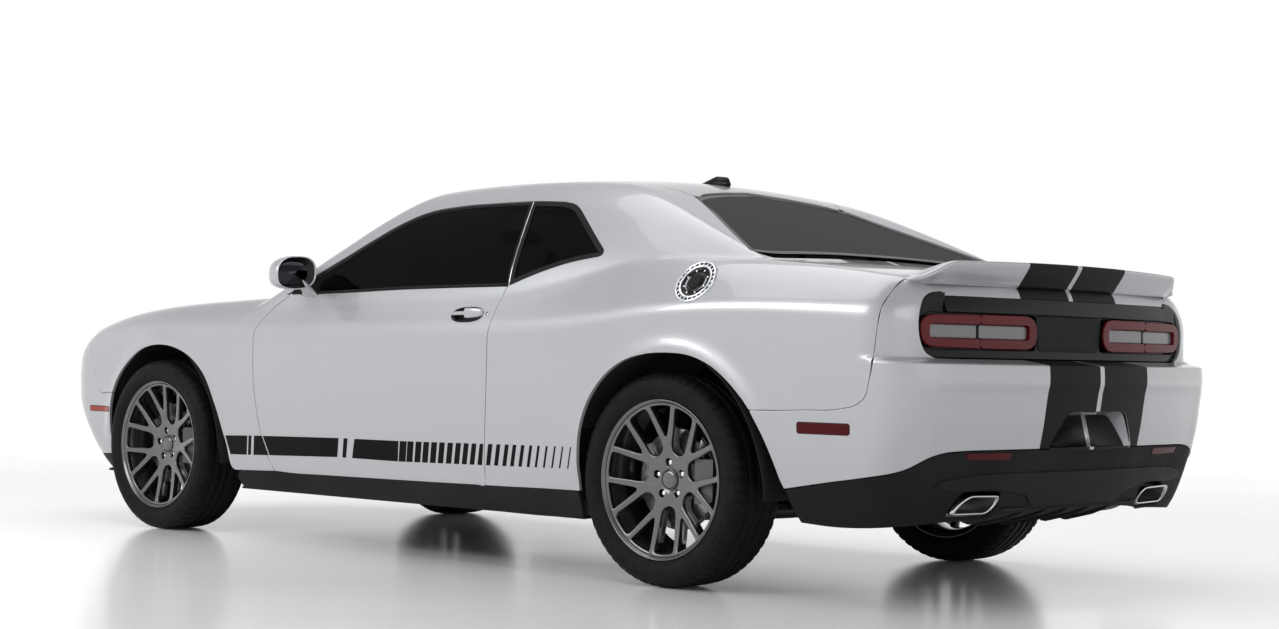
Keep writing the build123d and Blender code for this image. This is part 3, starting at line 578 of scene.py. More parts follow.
# ================================================================= materials, all from nodes
class Mat:
    """A material built from nodes. Object coordinates are metres in the car's frame."""
    def __init__(self, name):
        self.m = bpy.data.materials.new(name)
        self.m.use_nodes = True
        self.t = self.m.node_tree
        self.p = self.t.nodes["Principled BSDF"]
        self.co = self.n("ShaderNodeTexCoord").outputs["Object"]

    def n(self, kind, **kw):
        x = self.t.nodes.new(kind)
        for k, v in kw.items():
            setattr(x, k, v)
        return x

    def to(self, a, b):
        self.t.links.new(a, b)

    def set(self, **kw):
        for k, v in kw.items():
            self.p.inputs[k.replace("_", " ")].default_value = v
        return self

    def math(self, op, a, b=None, c=None, clamp=False):
        x = self.n("ShaderNodeMath", operation=op, use_clamp=clamp)
        for i, v in enumerate((a, b, c)):
            if v is None:
                continue
            if isinstance(v, (int, float)):
                x.inputs[i].default_value = v
            else:
                self.to(v, x.inputs[i])
        return x.outputs[0]

    def xyz(self):
        s = self.n("ShaderNodeSeparateXYZ"); self.to(self.co, s.inputs[0])
        return s.outputs

    def noise(self, scale, detail=2.0, rough=.5, co=None, stretch=None):
        t = self.n("ShaderNodeTexNoise")
        t.inputs["Scale"].default_value = scale; t.inputs["Detail"].default_value = detail; t.inputs["Roughness"].default_value = rough
        src = co or self.co
        if stretch:
            mp = self.n("ShaderNodeMapping"); mp.inputs["Scale"].default_value = stretch
            self.to(src, mp.inputs[0]); src = mp.outputs[0]
        self.to(src, t.inputs["Vector"])
        return t.outputs["Fac"]

    def cells(self, scale, feature="F1", co=None, stretch=None, out="Distance"):
        t = self.n("ShaderNodeTexVoronoi", feature=feature)
        t.inputs["Scale"].default_value = scale
        src = co or self.co
        if stretch:
            mp = self.n("ShaderNodeMapping"); mp.inputs["Scale"].default_value = stretch
            self.to(src, mp.inputs[0]); src = mp.outputs[0]
        self.to(src, t.inputs["Vector"])
        return t.outputs[out]

    def ramp(self, fac, *stops):
        r = self.n("ShaderNodeValToRGB")
        e = r.color_ramp.elements
        while len(e) < len(stops):
            e.new(.5)
        for el, (pos, col) in zip(e, stops):
            el.position = pos; el.color = col if len(col) == 4 else (*col, 1)
        self.to(fac, r.inputs[0])
        return r.outputs[0]

    def mix(self, fac, a, b):
        x = self.n("ShaderNodeMix", data_type="RGBA")
        self.to(fac, x.inputs[0])
        for v, s in ((a, x.inputs[6]), (b, x.inputs[7])):
            if isinstance(v, tuple):
                s.default_value = v if len(v) == 4 else (*v, 1)
            else:
                self.to(v, s)
        return x.outputs[2]

    def span(self, v, lo, hi, a, b):
        x = self.n("ShaderNodeMapRange")
        self.to(v, x.inputs[0])
        for i, k in enumerate((lo, hi, a, b)):
            x.inputs[i + 1].default_value = k
        return x.outputs[0]

    def colour(self, c):
        if isinstance(c, tuple):
            self.p.inputs["Base Color"].default_value = c if len(c) == 4 else (*c, 1)
        else:
            self.to(c, self.p.inputs["Base Color"])
        return self

    def rough(self, v, lo=None, hi=None):
        if lo is None:
            self.p.inputs["Roughness"].default_value = v
        else:
            self.to(self.span(v, .3, .7, lo, hi), self.p.inputs["Roughness"])
        return self

    def bump(self, h, depth, strength=.5):
        b = self.n("ShaderNodeBump"); b.inputs["Strength"].default_value = strength; b.inputs["Distance"].default_value = depth
        self.to(h, b.inputs["Height"]); self.to(b.outputs[0], self.p.inputs["Normal"])
        return self


def band(m, v, lo, hi):
    """1 between two values of a socket."""
    return m.math("MULTIPLY", m.math("GREATER_THAN", v, lo), m.math("LESS_THAN", v, hi))


PEARL = (.400, .406, .420)


def paint(name, stripes=None):
    m = Mat(name)
    flake = m.cells(2600, out="Color")
    s = m.n("ShaderNodeSeparateColor"); m.to(flake, s.inputs[0])
    cloud = m.noise(1.6, 3)
    base = m.ramp(cloud, (.3, (PEARL[0] * .985, PEARL[1] * .985, PEARL[2] * .985)), (.7, PEARL))
    base = m.mix(m.math("MULTIPLY", m.math("GREATER_THAN", s.outputs[0], .80), .22), base, (.86, .87, .90))
    if stripes:
        x = m.xyz()[0]
        ax = m.math("ABSOLUTE", x)
        k = band(m, ax, .0125, stripes)
        base = m.mix(k, base, (.0040, .0040, .0044))
        m.to(m.math("MULTIPLY_ADD", k, -.50, .50), m.p.inputs["Metallic"])
        m.to(m.math("MULTIPLY_ADD", k, -.82, .85), m.p.inputs["Coat Weight"])
        m.to(m.math("MULTIPLY_ADD", k, .08, .34), m.p.inputs["Roughness"])
    else:
        m.set(Metallic=.50)
        m.rough(m.noise(9, 2), .33, .36)
    m.colour(base)
    if not stripes:
        m.set(Coat_Weight=.85)
    m.set(Coat_Roughness=.035, Coat_IOR=1.5, Specular_IOR_Level=.09 if stripes else .22)
    m.bump(m.noise(420, 2), .00003, .12)
    return m.m


M_PAINT = paint("pearl_paint")
M_PAINT_STRIPED = paint("pearl_paint_with_stripes", .290)
M_PAINT_BUMPER = paint("pearl_paint_bumper", .298)


def plastic(name, col, rough, grain=900, depth=.00012, coat=0, col2=None, level=.10):
    m = Mat(name)
    a = m.noise(3.5, 4)
    c2 = col2 or tuple(min(1, c * 1.35 + .004) for c in col)
    m.colour(m.ramp(a, (.3, col), (.75, c2)))
    m.rough(m.noise(14, 3), rough - .04, rough + .06)
    m.bump(m.cells(grain), depth, .35)
    m.set(Coat_Weight=coat, Coat_Roughness=.05, Specular_IOR_Level=level)
    return m.m


M_SATIN = plastic("satin_black_plastic", (.009, .009, .0095), .46, 700, level=.08)
M_TEXTURED = plastic("grained_black_plastic", (.0085, .0085, .009), .58, 420, .0002, level=.08)
M_GLOSS = plastic("gloss_black", (.0030, .0030, .0034), .10, 60, .000002, 0, level=.15)
M_TRIM = plastic("dark_trim", (.020, .020, .021), .60, 900, .00015)
M_LINER = plastic("wheel_arch_felt", (.012, .012, .012), .88, 1300, .0006)
M_GASKET = plastic("rubber_seal", (.008, .008, .008), .62, 500, .0001)


def vinyl():
    m = Mat("satin_black_vinyl")
    m.colour(m.ramp(m.noise(6, 3), (.3, (.0030, .0030, .0033)), (.7, (.0042, .0042, .0045))))
    m.rough(m.noise(30, 2), .30, .38)
    m.bump(m.noise(900, 2), .00003, .2)
    m.set(Specular_IOR_Level=.06)
    return m.m


M_VINYL = vinyl()


def glass(name, tint, ior=1.5):
    m = Mat(name)
    m.colour(m.ramp(m.noise(2.0, 2), (.3, tint), (.7, tuple(c * 1.12 for c in tint))))
    m.set(Roughness=.012, IOR=ior, Transmission_Weight=.93)
    m.bump(m.noise(3, 1), .00004, .05)
    return m.m


M_SIDE_GLASS = glass("side_glass_dark", (.006, .006, .0062), 1.12)
M_SCREEN = glass("screen_glass", (.58, .63, .62), 1.22)
M_BACK_GLASS = glass("rear_glass_tint", (.030, .027, .024), 1.055)


def metal(name, col, rough, spread=.05, scale=60, stretch=None, depth=.00003, coat=0):
    m = Mat(name)
    a = m.noise(scale, 4, .6, stretch=stretch)
    m.colour(m.ramp(a, (.3, tuple(c * .90 for c in col)), (.7, col)))
    m.set(Metallic=1.0, Coat_Weight=coat, Coat_Roughness=.06)
    m.rough(a, rough, rough + spread)
    m.bump(a, depth, .25)
    return m.m


M_CHROME = metal("chrome", (.80, .81, .83), .045, .03, 8)
M_DARK_CHROME = metal("dark_chrome", (.34, .345, .36), .10, .04, 10)
M_STEEL = metal("bare_steel", (.42, .42, .42), .30, .12, 40)
M_CAST = metal("cast_iron", (.16, .155, .15), .52, .16, 220, depth=.0003)
M_ALUMINIUM = metal("cast_aluminium", (.52, .53, .54), .38, .12, 180, depth=.0002)
M_TIP = metal("polished_exhaust", (.72, .72, .73), .08, .06, 12)


def gunmetal():
    m = Mat("gunmetal_wheel_paint")
    fl = m.cells(3200, out="Color")
    s = m.n("ShaderNodeSeparateColor"); m.to(fl, s.inputs[0])
    base = m.mix(m.math("MULTIPLY", m.math("GREATER_THAN", s.outputs[0], .85), .35), (.105, .106, .110), (.26, .26, .27))
    m.colour(base)
    m.set(Metallic=.90, Coat_Weight=.9, Coat_Roughness=.04)
    m.rough(m.noise(20, 2), .22, .27)
    m.bump(m.noise(500, 2), .00004, .15)
    return m.m


M_GUN = gunmetal()


def rubber(name, dust=.0):
    m = Mat(name)
    a = m.noise(24, 5, .65)
    m.colour(m.ramp(a, (.25, (.0040, .0040, .0042)), (.75, (.0105, .0103, .0100))))
    m.rough(m.noise(40, 3), .48, .66)
    m.bump(m.noise(700, 3), .00025, .35)
    m.set(Specular_IOR_Level=.10)
    return m.m


M_TYRE = rubber("tyre_rubber")


def disc_metal():
    m = Mat("machined_disc")
    x = m.xyz()
    # the wheel's own axis runs through its piece's centre: fine turning marks come from a stretched noise
    a = m.noise(320, 2, .5, stretch=(1, .35, .35))
    m.colour(m.ramp(a, (.3, (.30, .30, .30)), (.7, (.42, .42, .42))))
    m.set(Metallic=1.0)
    m.rough(a, .26, .40)
    m.bump(a, .00006, .3)
    return m.m


M_DISC = disc_metal()


def lens(name, col, rough=.05, trans=.55, glow=None, coat=1.0, level=.5):
    m = Mat(name)
    ribs = m.cells(420, stretch=(1, 1, 1))
    m.colour(m.ramp(ribs, (.2, tuple(c * .75 for c in col)), (.8, col)))
    m.set(Transmission_Weight=trans, IOR=1.49, Coat_Weight=coat, Coat_Roughness=.02, Specular_IOR_Level=level)
    m.rough(m.noise(50, 1), rough, rough + .04)
    m.bump(ribs, .0003, .25)
    if glow:
        m.p.inputs["Emission Color"].default_value = (*glow[0], 1)
        m.p.inputs["Emission Strength"].default_value = glow[1]
    return m.m


M_RED = lens("red_lamp_lens", (.115, .002, .006), .09, .05, coat=0, level=.20)
M_RED_DEEP = lens("deep_red_reflector", (.070, .003, .005), .16, .0, coat=0, level=.14)
M_FROST = lens("frosted_lamp_bar", (.235, .23, .235), .20, .15, coat=.3, level=.3)


def clear_lens():
    m = Mat("clear_lamp_lens")
    m.colour(m.ramp(m.noise(3, 2), (.3, (.90, .92, .94)), (.7, (.94, .955, .97))))
    m.set(Transmission_Weight=.97, IOR=1.16, Roughness=.01)
    m.bump(m.noise(4, 1), .00002, .05)
    return m.m


M_CLEAR = clear_lens()
M_AMBER = lens("amber_side_marker", (.30, .035, .012), .12, .05, coat=0, level=.2)


def leather(name, col):
    m = Mat(name)
    g = m.cells(620, "DISTANCE_TO_EDGE")
    w = m.noise(38, 4)
    m.colour(m.ramp(w, (.3, tuple(c * .8 for c in col)), (.7, col)))
    m.rough(m.noise(60, 3), .44, .58)
    m.bump(m.math("ADD", m.math("MULTIPLY", g, .6), m.math("MULTIPLY", w, .3)), .0007, .45)
    m.set(Sheen_Weight=.08)
    return m.m


M_LEATHER = leather("black_leather", (.022, .021, .020))
M_LEATHER_MID = leather("perforated_leather", (.030, .029, .028))


def carpet():
    m = Mat("loop_carpet")
    a = m.cells(520); b = m.noise(90, 4)
    m.colour(m.ramp(b, (.3, (.012, .012, .012)), (.7, (.030, .030, .031))))
    m.rough(.92).bump(a, .0016, .7)
    m.set(Sheen_Weight=.3)
    return m.m


M_CARPET = carpet()


def underbody():
    m = Mat("underbody_coating")
    a = m.noise(60, 5, .6)
    m.colour(m.ramp(a, (.3, (.012, .012, .012)), (.75, (.040, .038, .036))))
    m.rough(m.noise(20, 3), .62, .80).bump(m.cells(260), .0009, .5)
    return m.m


M_UNDER = underbody()


def mesh_grille():
    m = Mat("grille_mesh")
    a = m.cells(75, stretch=(1, 1, 1.7))
    m.colour(m.ramp(a, (.25, (.002, .002, .002)), (.5, (.020, .020, .021))))
    m.rough(.50).bump(a, .0015, .35)
    return m.m


M_MESH = mesh_grille()


def floor_mat():
    m = Mat("pale_studio_floor")
    m.colour(m.ramp(m.noise(.2, 2), (.3, (.915, .915, .918)), (.7, (.93, .93, .933))))
    m.rough(m.noise(1.2, 1), .16, .18)
    m.set(Specular_IOR_Level=.6)
    x, y = m.xyz()[:2]
    # painted light: the floor glows more the further it is from the car, from none at 4 m to .34 at 13 m, so the far
    # floor turns white
    far = m.span(m.math("SQRT", m.math("ADD", m.math("MULTIPLY", x, x), m.math("MULTIPLY", y, y))), 4.0, 13.0, 0.0, .34)
    m.p.inputs["Emission Color"].default_value = (1, 1, 1, 1)
    m.to(far, m.p.inputs["Emission Strength"])
    return m.m


M_FLOOR = floor_mat()

M_MIRROR = metal("mirror_glass_dark", (.030, .031, .034), .03, .01, 3, depth=.000002)

M_STEEL_DARK = metal("weathered_steel", (.13, .128, .125), .45, .20, 60, depth=.0002)


def halo():
    m = Mat("lamp_light_ring")
    m.colour(m.ramp(m.cells(300), (.2, (.62, .63, .65)), (.8, (.82, .83, .85))))
    m.rough(m.noise(40, 2), .22, .30)
    m.p.inputs["Emission Color"].default_value = (1, 1, 1, 1)
    m.p.inputs["Emission Strength"].default_value = .12
    return m.m


M_HALO = halo()
M_CLEAR_DARK = lens("projector_lens", (.10, .105, .12), .03, .35)


def cowl_mat():
    m = Mat("cowl_slots")
    o = m.xyz()
    w = m.n("ShaderNodeTexWave", wave_type="BANDS", bands_direction="X")
    w.inputs["Scale"].default_value = 18
    m.to(m.co, w.inputs["Vector"])
    m.colour(m.ramp(w.outputs["Fac"], (.25, (.002, .002, .002)), (.5, (.014, .014, .015))))
    m.rough(m.noise(30, 2), .5, .6).bump(w.outputs["Fac"], .003, .8)
    m.set(Specular_IOR_Level=.12)
    return m.m


M_COWL = cowl_mat()


def pearl_with_painted_shade():
    m = Mat("pearl_paint_with_painted_shade")
    # painted shade: the pearl paint darkened to .65 to .78 of its own colour, for the inner panels of the engine bay
    # and lids
    m.colour(m.ramp(m.noise(3, 4), (.3, (.26, .264, .272)), (.7, (.31, .315, .325))))
    m.set(Metallic=.25, Coat_Weight=.25, Coat_Roughness=.2)
    m.rough(m.noise(22, 3), .42, .55).bump(m.noise(260, 3), .0002, .2)
    return m.m


M_PAINT_SHADED = pearl_with_painted_shade()
M_DASH = plastic("soft_dash_vinyl", (.014, .014, .0145), .55, 620, .00035, level=.2)
M_DOOR_TRIM = plastic("door_trim_vinyl", (.013, .013, .0135), .52, 520, .0003, level=.2)
M_LINING = plastic("head_lining_cloth", (.22, .218, .21), .92, 1500, .0005, col2=(.26, .257, .25))
M_SCREEN_OFF = plastic("screen_off", (.004, .004, .006), .10, 40, .000002, .3, level=.5)


def belt_cloth():
    m = Mat("seat_belt_webbing")
    w = m.n("ShaderNodeTexWave", wave_type="BANDS", bands_direction="DIAGONAL")
    w.inputs["Scale"].default_value = 420
    m.to(m.co, w.inputs["Vector"])
    m.colour(m.ramp(w.outputs["Fac"], (.2, (.010, .010, .010)), (.8, (.022, .022, .023))))
    m.rough(m.noise(60, 2), .6, .72).bump(w.outputs["Fac"], .0004, .6)
    return m.m


M_BELT = belt_cloth()


def radiator_mat():
    m = Mat("radiator_core")
    w = m.n("ShaderNodeTexWave", wave_type="BANDS", bands_direction="Z")
    w.inputs["Scale"].default_value = 60
    m.to(m.co, w.inputs["Vector"])
    m.colour(m.ramp(w.outputs["Fac"], (.25, (.008, .008, .008)), (.7, (.055, .055, .056))))
    m.set(Metallic=.6)
    m.rough(m.noise(30, 2), .45, .6).bump(w.outputs["Fac"], .002, .7)
    return m.m


M_RADIATOR = radiator_mat()


def dial_mat():
    m = Mat("dial_face")
    o = m.xyz()
    # pale ticks round the dark face
    m.colour(m.ramp(m.cells(260), (.1, (.5, .5, .5)), (.16, (.008, .008, .009))))
    m.rough(m.noise(20, 2), .25, .35)
    return m.m


M_DIAL = dial_mat()

# ================================================================= small builders, all as (points, faces, normals or None)
def lathe(profile, n=64, axis=0, a0=0.0, a1=2 * PI, wobble=None):
    """Turns (radius, height) points about an axis. A closed profile isn't needed."""
    P = np.array(profile, float)
    full = abs(a1 - a0 - 2 * PI) < 1e-6
    m = n if full else n + 1
    ang = a0 + (a1 - a0) * np.arange(m) / n
    V = np.zeros((m, len(P), 3))
    for i, a in enumerate(ang):
        r = P[:, 0] if wobble is None else wobble(P[:, 0], P[:, 1], a)
        c = [P[:, 1], r * math.cos(a), r * math.sin(a)]
        V[i, :, axis] = c[0]; V[i, :, (axis + 1) % 3] = c[1]; V[i, :, (axis + 2) % 3] = c[2]
    F = []
    k = len(P)
    for i in range(n):
        j = (i + 1) % m
        for q in range(k - 1):
            F.append((i * k + q, i * k + q + 1, j * k + q + 1, j * k + q))
    return weld(V.reshape(-1, 3), F)


def weld(V, F, tol=1e-6):
    key = np.round(np.asarray(V) / tol).astype(np.int64)
    _, first, inv = np.unique(key, axis=0, return_index=True, return_inverse=True)
    inv = inv.reshape(-1)
    G = []
    for f in F:
        g = [int(inv[i]) for i in f]
        g = [x for i, x in enumerate(g) if x != g[i - 1]]
        if len(set(g)) >= 3:
            G.append(tuple(g))
    return np.asarray(V)[first], G, None


def loft(rings, closed=True, cap=True):
    """Skins a row of equal rings of points."""
    R = [np.asarray(r, float) for r in rings]
    n = len(R[0]); V = np.concatenate(R); F = []
    for k in range(len(R) - 1):
        for i in range(n if closed else n - 1):
            j = (i + 1) % n
            F.append((k * n + i, k * n + j, (k + 1) * n + j, (k + 1) * n + i))
    if cap:
        F.append(tuple(range(n))[::-1]); F.append(tuple((len(R) - 1) * n + i for i in range(n)))
    return V, F, None


def tube(pts, r, n=12, cap=True, flatness=1.0):
    P = np.asarray(pts, float)
    t = np.gradient(P, axis=0); t /= np.linalg.norm(t, axis=1, keepdims=True)
    up = np.array((0, 0, 1.)) if abs(t[0][2]) < .9 else np.array((1., 0, 0))
    a = np.cross(t[0], up); a /= np.linalg.norm(a)
    rings = []
    rr = np.broadcast_to(r, (len(P),))
    for i in range(len(P)):
        a = a - t[i] * np.dot(a, t[i]); a /= np.linalg.norm(a)
        b = np.cross(t[i], a)
        th = 2 * PI * np.arange(n) / n
        rings.append(P[i] + rr[i] * (np.cos(th)[:, None] * a + np.sin(th)[:, None] * b * flatness))
    return loft(rings, True, cap)


def rbox(lo, hi, r, seg=3):
    """Block with rounded edges."""
    lo = np.array(lo, float); hi = np.array(hi, float); c = (lo + hi) / 2; h = (hi - lo) / 2
    r = min(r, h.min() * .98)
    th = np.linspace(-PI / 2, PI / 2, 2 * seg + 2)
    rings = []
    for t in th:
        ring = []
        for q in range(4):
            for a in np.linspace(q * PI / 2, (q + 1) * PI / 2, seg + 1):
                d = np.array((math.cos(t) * math.cos(a), math.cos(t) * math.sin(a), math.sin(t)))
                sg = np.array((1 if q in (0, 3) else -1, 1 if q in (0, 1) else -1, 1 if t > 0 else -1))
                ring.append(c + sg * (h - r) + r * d)
        rings.append(ring)
    return weld(*loft(rings, True, True)[:2])


def turned(data, m):
    """Moves a build by a 4x4 matrix."""
    V, F, N = data
    M = np.array(m)
    W = np.asarray(V) @ M[:3, :3].T + M[:3, 3]
    n = None if N is None else N @ M[:3, :3].T
    if np.linalg.det(M[:3, :3]) < 0:
        F = [tuple(f[::-1]) for f in F]
    return W, F, n


def aimed(origin, z, x=(0, 0, 1)):
    """Matrix whose local Z looks along z."""
    z = np.array(z, float); z /= np.linalg.norm(z)
    x = np.array(x, float); x = x - z * np.dot(x, z); x /= np.linalg.norm(x)
    y = np.cross(z, x)
    M = np.eye(4); M[:3, 0] = x; M[:3, 1] = y; M[:3, 2] = z; M[:3, 3] = origin
    return M


class Flat:
    """A plane patch in its own frame: loops are (u, v), and height(u, v) lifts it along the plane's normal."""
    def __init__(self, M, height=None):
        self.M = np.array(M); self.h = height or (lambda u, v: 0 * u)
    def flat(self, P):
        L = (P - self.M[:3, 3]) @ self.M[:3, :3]
        return L[:, :2]
    def place(self, Q):
        h = self.h(Q[:, 0], Q[:, 1]); e = 1e-4
        hx = (self.h(Q[:, 0] + e, Q[:, 1]) - self.h(Q[:, 0] - e, Q[:, 1])) / (2 * e)
        hy = (self.h(Q[:, 0], Q[:, 1] + e) - self.h(Q[:, 0], Q[:, 1] - e)) / (2 * e)
        L = np.c_[Q, h]; n = np.c_[-hx, -hy, np.ones(len(Q))]; n /= np.linalg.norm(n, axis=1, keepdims=True)
        return L @ self.M[:3, :3].T + self.M[:3, 3], n @ self.M[:3, :3].T


def plate(M, loops, depth, edge=.001, steps=2, height=None, du=.01, dv=.01, gap=0, hollow=False):
    way = Flat(M, height)
    c = Cut(way, [np.asarray(l, float) for l in loops], gap=gap, du=du, dv=dv, place=way.place)
    return c.solid(depth, edge, steps, hollow)


def disc_loop(r, n=64, c=(0, 0)):
    a = 2 * PI * np.arange(n) / n
    return np.c_[c[0] + r * np.cos(a), c[1] + r * np.sin(a)]


def round_rect(x0, y0, x1, y1, r, n=6):
    out = []
    for cx, cy, a0 in ((x1 - r, y1 - r, 0), (x0 + r, y1 - r, 90), (x0 + r, y0 + r, 180), (x1 - r, y0 + r, 270)):
        for a in np.linspace(a0, a0 + 90, n + 1):
            out.append((cx + r * math.cos(math.radians(a)), cy + r * math.sin(math.radians(a))))
    return np.array(out)


def even(L, ds):
    """Closed flat loop with its straight runs divided."""
    L = np.asarray(L, float); out = []
    for a, b in zip(L, np.roll(L, -1, 0)):
        n = max(1, int(math.ceil(np.linalg.norm(b - a) / ds)))
        out += [a + (b - a) * i / n for i in range(n)]
    return np.array(out)


def ring_loops(way, loop, w):
    """Gives back the loop and w as they are, for a moulding round an opening. Loops are flat."""
    return loop, w

# ================================================================= knots on the body
class Pitch:
    """Looks from all round a line across the car: u = x, v = angle about it."""
    def __init__(self, y, z, r=.4, reach=1.3):
        self.y, self.z, self.r, self.reach = y, z, r, reach
    def flat(self, P):
        return np.c_[P[:, 0], self.r * np.arctan2(P[:, 2] - self.z, P[:, 1] - self.y)]
    def rays(self, Q):
        a = Q[:, 1] / self.r
        d = np.c_[0 * a, np.cos(a), np.sin(a)]
        return np.c_[Q[:, 0], np.full(len(Q), self.y), np.full(len(Q), self.z)] + d * self.reach, -d, self.reach


def knots(way, pts, f=f_body):
    O, D, reach = way.rays(np.array(pts, float))
    P = cast(f, O, D, reach)
    assert not np.isnan(P).any(), ("a knot misses the body", pts[int(np.where(np.isnan(P).any(1))[0][0])])
    return [tuple(p) for p in P]


def S(*pts, f=f_body):
    """(y, z) seen square from the left."""
    return knots(Side(), pts, f)


def T(*pts, f=f_body):
    """(x, y) seen from above."""
    return knots(Down(), pts, f)


def E(s, *pts, f=f_body):
    """(x, z) seen along the car, from the nose (-1) or the tail (1)."""
    return knots(Along(s), pts, f)


def whole(half):
    """A closed loop over both sides from its left half, which starts and ends on the centre line."""
    H = np.asarray(half, float)
    M = H[::-1] * (-1, 1, 1)
    return np.concatenate([H, M[1:-1]])


def path(*runs, ds=.012):
    """Open line through runs, with a corner where runs meet."""
    out = []; last = None
    for run in runs:
        pts = ([last] if last is not None else []) + list(run)
        out.append(line(pts, ds)[(1 if last is not None else 0):])
        last = run[-1]
    return np.concatenate(out)


DOOR_FRONT = [(-.697, .997), (-.715, .983), (-.778, .947), (-.835, .893), (-.867, .849), (-.873, .792), (-.874, .731), (-.871, .650), (-.858, .569), (-.841, .489), (-.817, .410), (-.783, .338), (-.742, .287)]
SILL = [(-.60, .2835), (-.452, .2855), (-.20, .288), (.030, .2905), (.28, .2935), (.46, .2962)]
DOOR_REAR = [(.5075, .297), (.5085, .340), (.510, .420), (.519, .534), (.527, .679), (.531, .806), (.533, .860), (.539, .904), (.550, .970), (.571, 1.021)]
BELT = [(.30, 1.018), (-.023, 1.013), (-.348, 1.003), (-.56, .999), (-.697, .997)]
KICK = [(.600, 1.031), (.720, 1.070), (.860, 1.105), (.965, 1.121)]
DLO_BACK = [(.985, 1.1235), (.998, 1.131), (.998, 1.144), (.985, 1.156)]
DLO_UP = [(.928, 1.201), (.839, 1.270), (.800, 1.298)]
DLO_BEND = [(.775, 1.313), (.740, 1.325), (.694, 1.333)]
DLO_TOP = [(.558, 1.340), (.349, 1.340), (.131, 1.334), (-.029, 1.316), (-.163, 1.270), (-.299, 1.203), (-.415, 1.143), (-.54, 1.083), (-.66, 1.024), (-.700, 1.003)]
B_LINE = [(.571, 1.021), (.5655, 1.075), (.562, 1.135), (.552, 1.229), (.524, 1.341)]

SCREEN_SIDE = [(.838, -.772), (.812, -.610), (.773, -.445), (.735, -.325), (.700, -.240)]
SCREEN_TOP = [(.672, -.205), (.60, -.200), (.40, -.218), (.20, -.230), (0, -.234)]
SCREEN_FOOT = [(0, -.962), (.20, -.955), (.40, -.932), (.60, -.888), (.76, -.826), (.838, -.772)]
DITCH = [(.668, -.170), (.662, .0), (.648, .25), (.620, .50), (.575, .74), (.510, .93), (.438, 1.058)]
BACK_SIDE = [(.438, 1.075), (.511, 1.214), (.605, 1.368), (.695, 1.517), (.742, 1.602)]
BACK_FOOT = [(.735, 1.622), (.60, 1.604), (.459, 1.586), (.206, 1.563), (0, 1.558)]
BACK_TOP = [(0, .948), (.211, .990), (.330, 1.025), (.425, 1.058)]
LID_SIDE = [(.700, 1.672), (.712, 1.85), (.718, 2.05), (.714, 2.22)]
CUT = [(1.798, .609), (1.90, .611), (1.996, .615), (2.146, .623), (2.204, .637), (2.232, .660), (2.248, .715), (2.257, .808), (2.264, .885), (2.270, .941)]
CUT_TOP = [(.847, 2.280, .995), (.783, 2.277, 1.032)]
ARCH_R = [(.998, .304), (.999, .412), (1.013, .517), (1.049, .604), (1.120, .690), (1.222, .754), (1.341, .783), (1.435, .788), (1.545, .779), (1.635, .747), (1.717, .691)]
ARCH_R2 = [(1.772, .640), (1.798, .609)]
ARCH_R3 = [(1.856, .516), (1.890, .440), (1.912, .380), (1.921, .362)]
ARCH_F = [(-1.010, .279), (-1.070, .399), (-1.130, .541), (-1.215, .672), (-1.305, .737), (-1.436, .778), (-1.553, .786), (-1.690, .766), (-1.815, .705), (-1.900, .635), (-1.945, .574)]
ARCH_F2 = [(-1.962, .520), (-1.970, .45), (-1.968, .37), (-1.958, .305)]
_ns = hermite((0., .022, .060, .120, .185, .249), (-2.074, -2.088, -2.109, -2.147, -2.186, -2.222))
NOSE_SEAM = [(-1.995, .573), (-2.068, .573)] + [(float(_ns(q)), float(.573 + q)) for q in np.linspace(.006, .249, 16)]
_hs = hermite((-2.262, -2.12, -1.90, -1.60, -1.25, -.985), (.762, .742, .730, .718, .704, .694))
HOOD_SIDE = [(float(_hs(y)), float(y)) for y in np.linspace(-2.262, -.985, 30)]
COWL_SIDE = [(.760, -.880), (.838, -.785)]

ROLL = Roll()
TAIL_WAY = Round(1.45, 1, .95)
NOSE_WAY = Round(-1.45, -1, .95)
LID_WAY = Pitch(2.02, .82, .42)
HOOD_WAY = Pitch(-1.75, .30, .70, 1.5)

k_door_front, k_sill, k_door_rear, k_belt = S(*DOOR_FRONT), S(*SILL), S(*DOOR_REAR), S(*BELT)
door_loop = outline(k_door_front, k_sill, k_door_rear, k_belt)

k_cut = S(*CUT)
k_lid_side = T(*LID_SIDE)

body_side_loop = outline(
    k_door_rear, S(*KICK), S(*DLO_BACK), S(*DLO_UP), S(*DLO_BEND), S(*DLO_TOP),
    S((-.712, .9985)) + T((.838, -.778)), T(*SCREEN_SIDE), T(*DITCH), T((.434, 1.066)), T(*BACK_SIDE), T((.735, 1.640)),
    k_lid_side, T((.735, 2.262)) + [CUT_TOP[1]], [CUT_TOP[0]] + k_cut[::-1], S(*ARCH_R2[::-1]), S(*ARCH_R[::-1]), S((.80, .302), (.60, .298), DOOR_REAR[0]))

fender_loop = outline(
    k_door_front, S((-.87, .283), (-1.006, .279)), S(*ARCH_F), S(*NOSE_SEAM), T(*HOOD_SIDE), T(*COWL_SIDE), S((-.712, .9985), DOOR_FRONT[0]))

roof_half = path(T((0, -.226), (.20, -.222), (.40, -.210), (.60, -.190), (.655, -.186)), T(*[(x - .004, y) for x, y in DITCH[:-1]]), T((.432, 1.050)), T(*BACK_TOP[::-1]))
roof_loop = whole(roof_half)

screen_loop = whole(path(T(*SCREEN_FOOT, f=f_cabin), T(*SCREEN_SIDE[1:], f=f_cabin), T(*SCREEN_TOP, f=f_cabin)))
back_loop = whole(path(T(*BACK_TOP[:-1], f=f_cabin), T(*BACK_SIDE, f=f_cabin), T(*BACK_FOOT[1:], f=f_cabin)))

lid_half = path(T((0, 1.612), (.20, 1.619), (.45, 1.640), (.66, 1.668)), k_lid_side, T((.708, 2.31)) + E(1, (.690, 1.012), (.672, 1.0)), E(1, (.6685, .9835)), E(1, (.40, .9835), (0, .9835)))
lid_loop = whole(lid_half)

